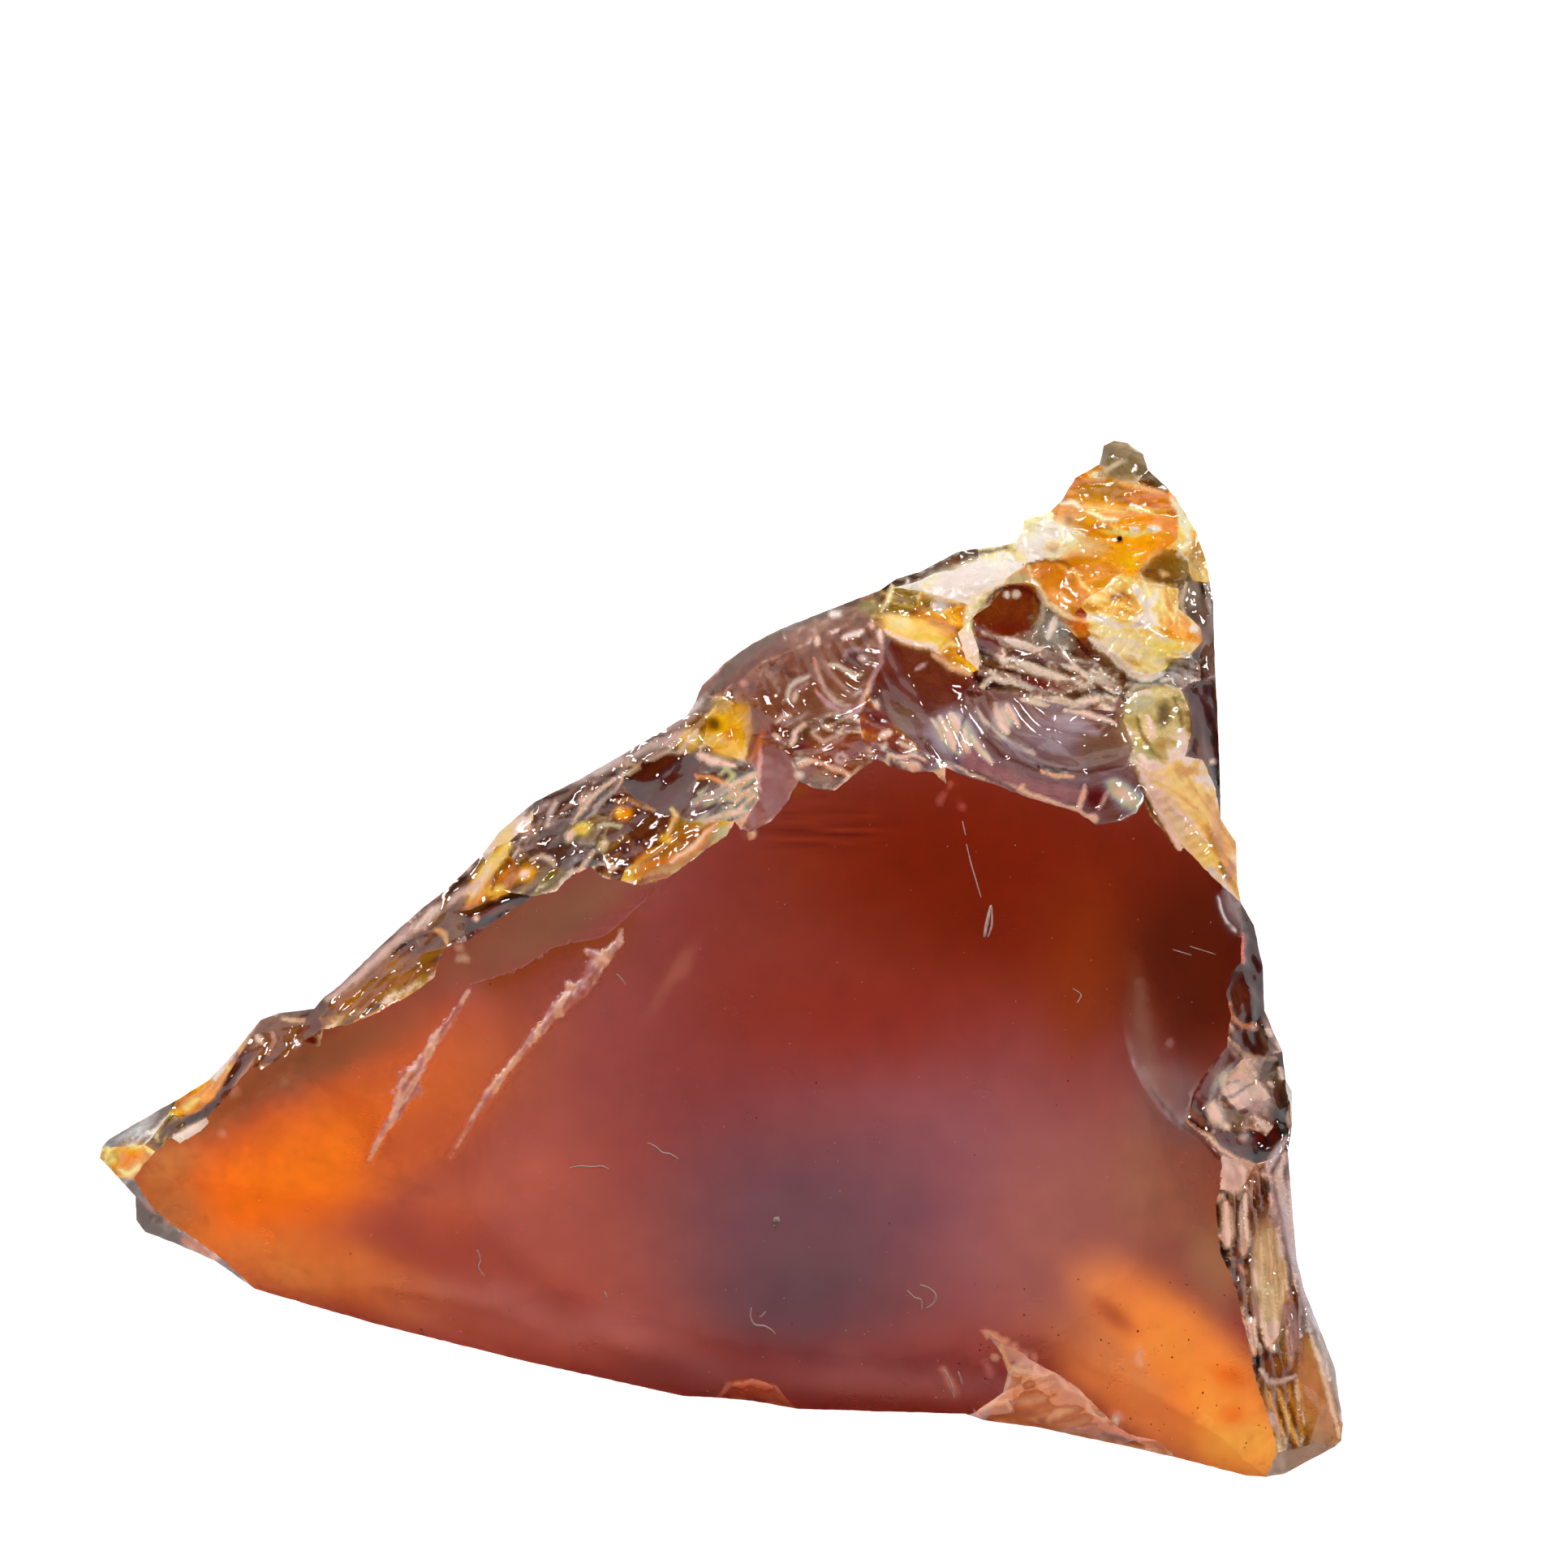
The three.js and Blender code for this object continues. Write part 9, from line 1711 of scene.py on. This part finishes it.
def resin():
    m, nodes, links = material("resin")
    out = node(nodes, "ShaderNodeOutputMaterial")
    bsdf = node(nodes, "ShaderNodeBsdfPrincipled")
    bsdf.inputs["IOR"].default_value = 1.54
    bsdf.inputs["Metallic"].default_value = 0.0
    tex = node(nodes, "ShaderNodeTexCoord").outputs["Object"]
    tint = node(nodes, "ShaderNodeAttribute", attribute_name="tint").outputs["Color"]
    clear_in = node(nodes, "ShaderNodeAttribute", attribute_name="clear").outputs["Fac"]
    gloss_in = node(nodes, "ShaderNodeAttribute", attribute_name="gloss").outputs["Fac"]
    signed = node(nodes, "ShaderNodeAttribute", attribute_name="satin").outputs["Fac"]
    satin_in = maths(nodes, links, "MULTIPLY", signed, 1.0, clamp=True)
    crust_in = maths(nodes, links, "MULTIPLY", signed, -1.0, clamp=True)
    # clouds, fine mottle and pin-prick darkening of the colour
    cloud = noise(nodes, links, tex, 260.0, 4.0, 0.55)
    mottle = noise(nodes, links, tex, 2600.0, 3.0, 0.6)
    k = maths(nodes, links, "MULTIPLY_ADD", cloud, 0.34, 0.83)
    k = maths(nodes, links, "MULTIPLY_ADD", mottle, 0.16, maths(nodes, links, "ADD", k, -0.08))
    # the weathered underside is mottled more strongly, with fine dark pores
    pores = noise(nodes, links, tex, 5200.0, 3.0, 0.65)
    rind = maths(nodes, links, "MULTIPLY_ADD", pores, 1.1, -0.55)
    rind = maths(nodes, links, "MULTIPLY_ADD", maths(nodes, links, "ADD", mottle, -0.5), 0.9, rind)
    rind = maths(nodes, links, "MINIMUM", rind, 0.04)
    k = maths(nodes, links, "MULTIPLY_ADD", rind, crust_in, k)
    mul = node(nodes, "ShaderNodeVectorMath", operation="SCALE")
    links.new(tint, mul.inputs[0])
    links.new(k, mul.inputs["Scale"])
    links.new(mul.outputs[0], bsdf.inputs["Base Color"])
    # skin: the large face is satin, with finer and coarser patches
    streak_map = node(nodes, "ShaderNodeMapping")
    streak_map.inputs["Rotation"].default_value = (0, 0, math.radians(14))
    streak_map.inputs["Scale"].default_value = (0.12, 1.0, 1.0)
    links.new(tex, streak_map.inputs["Vector"])
    streak = noise(nodes, links, streak_map.outputs[0], 5200.0, 2.0, 0.6)
    patch = noise(nodes, links, tex, 420.0, 3.0, 0.6)
    g = maths(nodes, links, "MULTIPLY_ADD", patch, 0.10, maths(nodes, links, "ADD", gloss_in, -0.05))
    g = maths(nodes, links, "MULTIPLY_ADD", maths(nodes, links, "MULTIPLY", streak, satin_in), 0.03, g, clamp=True)
    links.new(g, bsdf.inputs["Roughness"])
    c = maths(nodes, links, "MULTIPLY_ADD", patch, -0.10, maths(nodes, links, "ADD", clear_in, 0.05), clamp=True)
    links.new(c, bsdf.inputs["Transmission Weight"])
    # fine grain and hairline scratches as relief
    grain_n = noise(nodes, links, tex, 9000.0, 2.0, 0.6)
    hgt = maths(nodes, links, "MULTIPLY_ADD", streak, 0.15, grain_n)
    bump = node(nodes, "ShaderNodeBump")
    bump.inputs["Distance"].default_value = 0.00001
    links.new(maths(nodes, links, "MULTIPLY_ADD", crust_in, 0.8, maths(nodes, links, "MULTIPLY_ADD", satin_in, -0.04, 0.10)), bump.inputs["Strength"])
    links.new(hgt, bump.inputs["Height"])
    links.new(bump.outputs["Normal"], bsdf.inputs["Normal"])
    vol = node(nodes, "ShaderNodeVolumeAbsorption")
    vol.inputs["Color"].default_value = (*RESIN_COLOUR, 1.0)
    vol.inputs["Density"].default_value = RESIN_DENSITY
    links.new(bsdf.outputs[0], out.inputs["Surface"])
    links.new(vol.outputs[0], out.inputs["Volume"])
    return m


me.materials.append(resin())


# ---------------------------------------------------------------- lint, specks, scratches
def height_at(x, y):
    """Height of the finished large face at a place on the survey, by its nearest point."""
    i = int(np.argmin((u - x) ** 2 + (v - y) ** 2))
    return front_h[i]


def place(x, y, lift_units):
    p = to_mm(np.array([x], float), np.array([y], float), np.array([height_at(x, y) + lift_units]))[0] - middle
    return p


def tube(path, radius, sides=6):
    """A thin closed tube along a path, in mm; its radius may taper."""
    P = np.array(path, float)
    n = len(P)
    T = np.gradient(P, axis=0)
    T /= np.maximum(np.linalg.norm(T, axis=1), 1e-9)[:, None]
    up = np.array([0.0, 0.0, 1.0])
    vs, fs = [], []
    for i in range(n):
        a = np.cross(T[i], up)
        a /= max(np.linalg.norm(a), 1e-9)
        b = np.cross(a, T[i])
        taper = radius * (0.55 + 0.45 * math.sin(math.pi * (i + 0.5) / n))
        for k in range(sides):
            w = 2 * math.pi * k / sides
            vs.append(P[i] + taper * (a * math.cos(w) + b * math.sin(w)))
    for i in range(n - 1):
        for k in range(sides):
            q = [i * sides + k, i * sides + (k + 1) % sides, (i + 1) * sides + (k + 1) % sides, (i + 1) * sides + k]
            fs += [(q[0], q[2], q[1]), (q[0], q[3], q[2])]
    vs += [P[0], P[-1]]
    for k in range(sides):
        fs.append((len(vs) - 2, k, (k + 1) % sides))
        fs.append((len(vs) - 1, (n - 1) * sides + (k + 1) % sides, (n - 1) * sides + k))
    return vs, fs


def smooth_path(points, steps=8):
    P = np.array(points, float)
    t = np.arange(len(P))
    tt = np.linspace(0, len(P) - 1, (len(P) - 1) * steps + 1)
    out = []
    for s in tt:
        i = min(int(s), len(P) - 2)
        f = s - i
        p0, p1, p2, p3 = P[max(i - 1, 0)], P[i], P[i + 1], P[min(i + 2, len(P) - 1)]
        out.append(0.5 * ((2 * p1) + (p2 - p0) * f + (2 * p0 - 5 * p1 + 4 * p2 - p3) * f * f + (3 * p1 - p0 - 3 * p2 + p3) * f ** 3))
    return np.array(out)


def gather(parts):
    vs, fs = [], []
    for a, b in parts:
        o = len(vs)
        vs += list(a)
        fs += [tuple(i + o for i in f) for f in b]
    return vs, fs


LINT = [
    ([(702, 1439), (716, 1437), (731, 1438), (742, 1437), (751, 1441)], 0.7, 1.4),
    ([(798, 1408), (808, 1413), (816, 1420), (826, 1422), (836, 1428)], 0.7, 1.2),
    ([(926, 1611), (925, 1622), (930, 1632), (942, 1634), (951, 1639), (956, 1644)], 0.8, 1.6),
    ([(936, 1624), (944, 1616)], 0.6, 1.2),
    ([(1134, 1583), (1146, 1588), (1153, 1596), (1150, 1606), (1141, 1612)], 0.8, 1.6),
    ([(1118, 1590), (1127, 1599), (1135, 1602), (1136, 1614)], 0.8, 1.6),
    ([(588, 1540), (592, 1552), (590, 1562), (597, 1572)], 0.6, 1.0),
    ([(745, 1591), (748, 1600)], 0.7, 1.0),
    ([(1213, 1155), (1216, 1138), (1221, 1116)], 1.5, 1.2),
    ([(1217, 1155), (1222, 1140), (1222, 1118)], 0.9, 1.0),
    ([(1191, 1040), (1196, 1062), (1203, 1086), (1209, 1106)], 0.6, 0.6),
    ([(1186, 1012), (1190, 1030)], 0.5, 0.6),
    ([(760, 1200), (765, 1205), (771, 1213)], 0.5, 0.8),
    ([(1164, 1688), (1172, 1706), (1176, 1722)], 0.8, 1.0),
    ([(1181, 1690), (1186, 1706)], 0.7, 1.0),
    ([(1445, 1170), (1468, 1177)], 0.45, 0.6),
    ([(1466, 1166), (1498, 1176)], 0.45, 0.6),
    ([(1322, 1218), (1332, 1226), (1327, 1236)], 0.6, 0.8),
]
strands = []
for path, radius, lift_units in LINT:
    line2 = smooth_path(path)
    line3 = [place(x, y, lift_units * 0.6) for x, y in line2]
    strands.append(tube(line3, radius * 0.040))
vs, fs = gather(strands)
lint = make_mesh("lint", vs, fs)
lint.data.shade_smooth()
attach(lint, "root")

BALL = None


def ball(at, radius, squash_z=1.0):
    """A small rounded grain."""
    t = (1 + math.sqrt(5)) / 2
    base = np.array([(-1, t, 0), (1, t, 0), (-1, -t, 0), (1, -t, 0), (0, -1, t), (0, 1, t), (0, -1, -t), (0, 1, -t), (t, 0, -1), (t, 0, 1), (-t, 0, -1), (-t, 0, 1)], float)
    base /= np.linalg.norm(base, axis=1)[:, None]
    f = [(0, 11, 5), (0, 5, 1), (0, 1, 7), (0, 7, 10), (0, 10, 11), (1, 5, 9), (5, 11, 4), (11, 10, 2), (10, 7, 6), (7, 1, 8), (3, 9, 4), (3, 4, 2), (3, 2, 6), (3, 6, 8), (3, 8, 9), (4, 9, 5), (2, 4, 11), (6, 2, 10), (8, 6, 7), (9, 8, 1)]
    vs = base * radius
    vs[:, 2] *= squash_z
    return list(vs + np.array(at)), f


pale, dark = [], []
pale.append(ball(place(957, 1504, 1.0), 0.15, 0.7))
pale.append(ball(place(955, 1511, 0.5), 0.06, 0.7))
rng = np.random.RandomState(11)
count = 0
while count < 170:
    x, y, s = 250 + 1300 * rng.rand(), 1000 + 780 * rng.rand(), rng.rand()
    if bool(inside(MAIN_POLY, np.array([x]), np.array([y]))[0]):
        pale.append(ball(place(x, y, 0.2), 0.014 + 0.024 * s ** 4, 0.6))
        count += 1
count = 0
while count < 150:
    x, y, s = 1180 + 380 * rng.rand(), 1570 + 225 * rng.rand(), rng.rand()
    if count > 110:
        x, y = 240 + 1240 * rng.rand(), 1150 + 520 * rng.rand()
    if bool(inside(MAIN_POLY, np.array([x]), np.array([y]))[0]):
        dark.append(ball(place(x, y, -0.6), 0.014 + 0.024 * s ** 3, 0.6))
        count += 1
for x, y, rr in ((1482, 1716, 0.04), (1444, 1672, 0.04), (1402, 1640, 0.045), (1380, 664, 0.11)):
    dark.append(ball(place(x, y, -3.0), rr, 0.5))


def grit(name, rgb, rough, strength):
    m, nodes, links = material(name)
    out = node(nodes, "ShaderNodeOutputMaterial")
    bsdf = node(nodes, "ShaderNodeBsdfPrincipled")
    tex = node(nodes, "ShaderNodeTexCoord").outputs["Object"]
    n = noise(nodes, links, tex, 1500.0, 3.0, 0.6)
    ramp = node(nodes, "ShaderNodeValToRGB")
    ramp.color_ramp.elements[0].position = 0.25
    ramp.color_ramp.elements[1].position = 0.75
    ramp.color_ramp.elements[0].color = (*[c * strength for c in rgb], 1)
    ramp.color_ramp.elements[1].color = (*rgb, 1)
    links.new(n, ramp.inputs[0])
    links.new(ramp.outputs[0], bsdf.inputs["Base Color"])
    r = maths(nodes, links, "MULTIPLY_ADD", n, 0.2, rough - 0.1, clamp=True)
    links.new(r, bsdf.inputs["Roughness"])
    bump = node(nodes, "ShaderNodeBump")
    bump.inputs["Distance"].default_value = 0.000005
    bump.inputs["Strength"].default_value = 0.3
    links.new(noise(nodes, links, tex, 30000.0, 2.0, 0.5), bump.inputs["Height"])
    links.new(bump.outputs["Normal"], bsdf.inputs["Normal"])
    links.new(bsdf.outputs[0], out.inputs["Surface"])
    return m


lint.data.materials.append(grit("fibre", (0.84, 0.60, 0.56), 0.6, 0.8))
vs, fs = gather(pale)
pale_ob = make_mesh("pale_grains", vs, fs)
pale_ob.data.shade_smooth()
pale_ob.data.materials.append(grit("pale_grit", (0.72, 0.46, 0.42), 0.6, 0.5))
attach(pale_ob, "root")
vs, fs = gather(dark)
dark_ob = make_mesh("dark_grains", vs, fs)
dark_ob.data.shade_smooth()
dark_ob.data.materials.append(grit("dark_grit", (0.16, 0.035, 0.012), 0.5, 0.5))
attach(dark_ob, "root")

# ---------------------------------------------------------------- floor, light, camera
bpy.ops.mesh.primitive_plane_add(size=6.0, location=(0, 0, -0.00003))
ground = bpy.context.object
ground.name = "floor"
m, nodes, links = material("white_table")
out = node(nodes, "ShaderNodeOutputMaterial")
bsdf = node(nodes, "ShaderNodeBsdfPrincipled")
bsdf.inputs["Base Color"].default_value = (0.55, 0.55, 0.55, 1)
bsdf.inputs["Roughness"].default_value = 0.9
bsdf.inputs["Specular IOR Level"].default_value = 0.0
bsdf.inputs["Emission Color"].default_value = (1, 1, 1, 1)
bsdf.inputs["Emission Strength"].default_value = 1.02
links.new(bsdf.outputs[0], out.inputs["Surface"])
ground.data.materials.append(m)

world = bpy.data.worlds.new("studio")
bpy.context.scene.world = world
world.use_nodes = True
nodes, links = world.node_tree.nodes, world.node_tree.links
nodes.clear()
out = node(nodes, "ShaderNodeOutputWorld")
bg = node(nodes, "ShaderNodeBackground")
sep = node(nodes, "ShaderNodeSeparateXYZ")
links.new(node(nodes, "ShaderNodeTexCoord").outputs["Generated"], sep.inputs[0])
ramp = node(nodes, "ShaderNodeValToRGB")
ramp.color_ramp.interpolation = "EASE"
e = ramp.color_ramp.elements
e[0].position, e[0].color = 0.0, (0.42, 0.42, 0.42, 1)
e[1].position, e[1].color = 1.0, (0.012, 0.012, 0.012, 1)
k = ramp.color_ramp.elements.new(0.25)
k.color = (0.10, 0.10, 0.10, 1)
k = ramp.color_ramp.elements.new(0.55)
k.color = (0.018, 0.018, 0.018, 1)
links.new(sep.outputs["Z"], ramp.inputs[0])
links.new(ramp.outputs[0], bg.inputs["Color"])
bg.inputs["Strength"].default_value = 1.4
links.new(bg.outputs[0], out.inputs["Surface"])


def softbox(name, at, size, power, toward=(0.0, 0.0, 0.005)):
    lamp = bpy.data.lights.new(name, "AREA")
    lamp.shape = "RECTANGLE"
    lamp.size, lamp.size_y = size
    lamp.energy = power
    ob = bpy.data.objects.new(name, lamp)
    bpy.context.scene.collection.objects.link(ob)
    ob.location = at
    ob.rotation_euler = (Vector(toward) - Vector(at)).to_track_quat("-Z", "Y").to_euler()
    return ob


softbox("key", (-0.20, 0.26, 0.12), (0.09, 0.05), 0.46)
softbox("second", (0.30, 0.12, 0.13), (0.06, 0.05), 0.28)
softbox("third", (0.05, 0.36, 0.14), (0.07, 0.05), 0.30)

camera = bpy.data.cameras.new("camera")
cam = bpy.data.objects.new("camera", camera)
bpy.context.scene.collection.objects.link(cam)
cam.location = (-middle[0] * 0.001, -middle[1] * 0.001, STATION_HEIGHT * 0.001)
cam.rotation_euler = (0, 0, 0)
camera.sensor_fit = "HORIZONTAL"
camera.sensor_width = 36.0
camera.lens = 36.0 * (STATION_HEIGHT - SURVEY_LEVEL) / (FRAME_SIZE[0] / UNITS)
camera.clip_start, camera.clip_end = 0.01, 20.0
bpy.context.scene.camera = cam

scene = bpy.context.scene
scene.view_settings.view_transform = "Standard"
scene.view_settings.look = "None"
scene.cycles.max_bounces = 12
scene.cycles.transmission_bounces = 9
scene.cycles.glossy_bounces = 4
scene.cycles.diffuse_bounces = 3
scene.cycles.transparent_max_bounces = 8
scene.cycles.use_adaptive_sampling = True
scene.cycles.adaptive_threshold = 0.06
scene.cycles.use_denoising = True
scene.cycles.caustics_refractive = True
scene.cycles.caustics_reflective = True
scene.cycles.blur_glossy = 0.6
scene.cycles.sample_clamp_indirect = 6.0
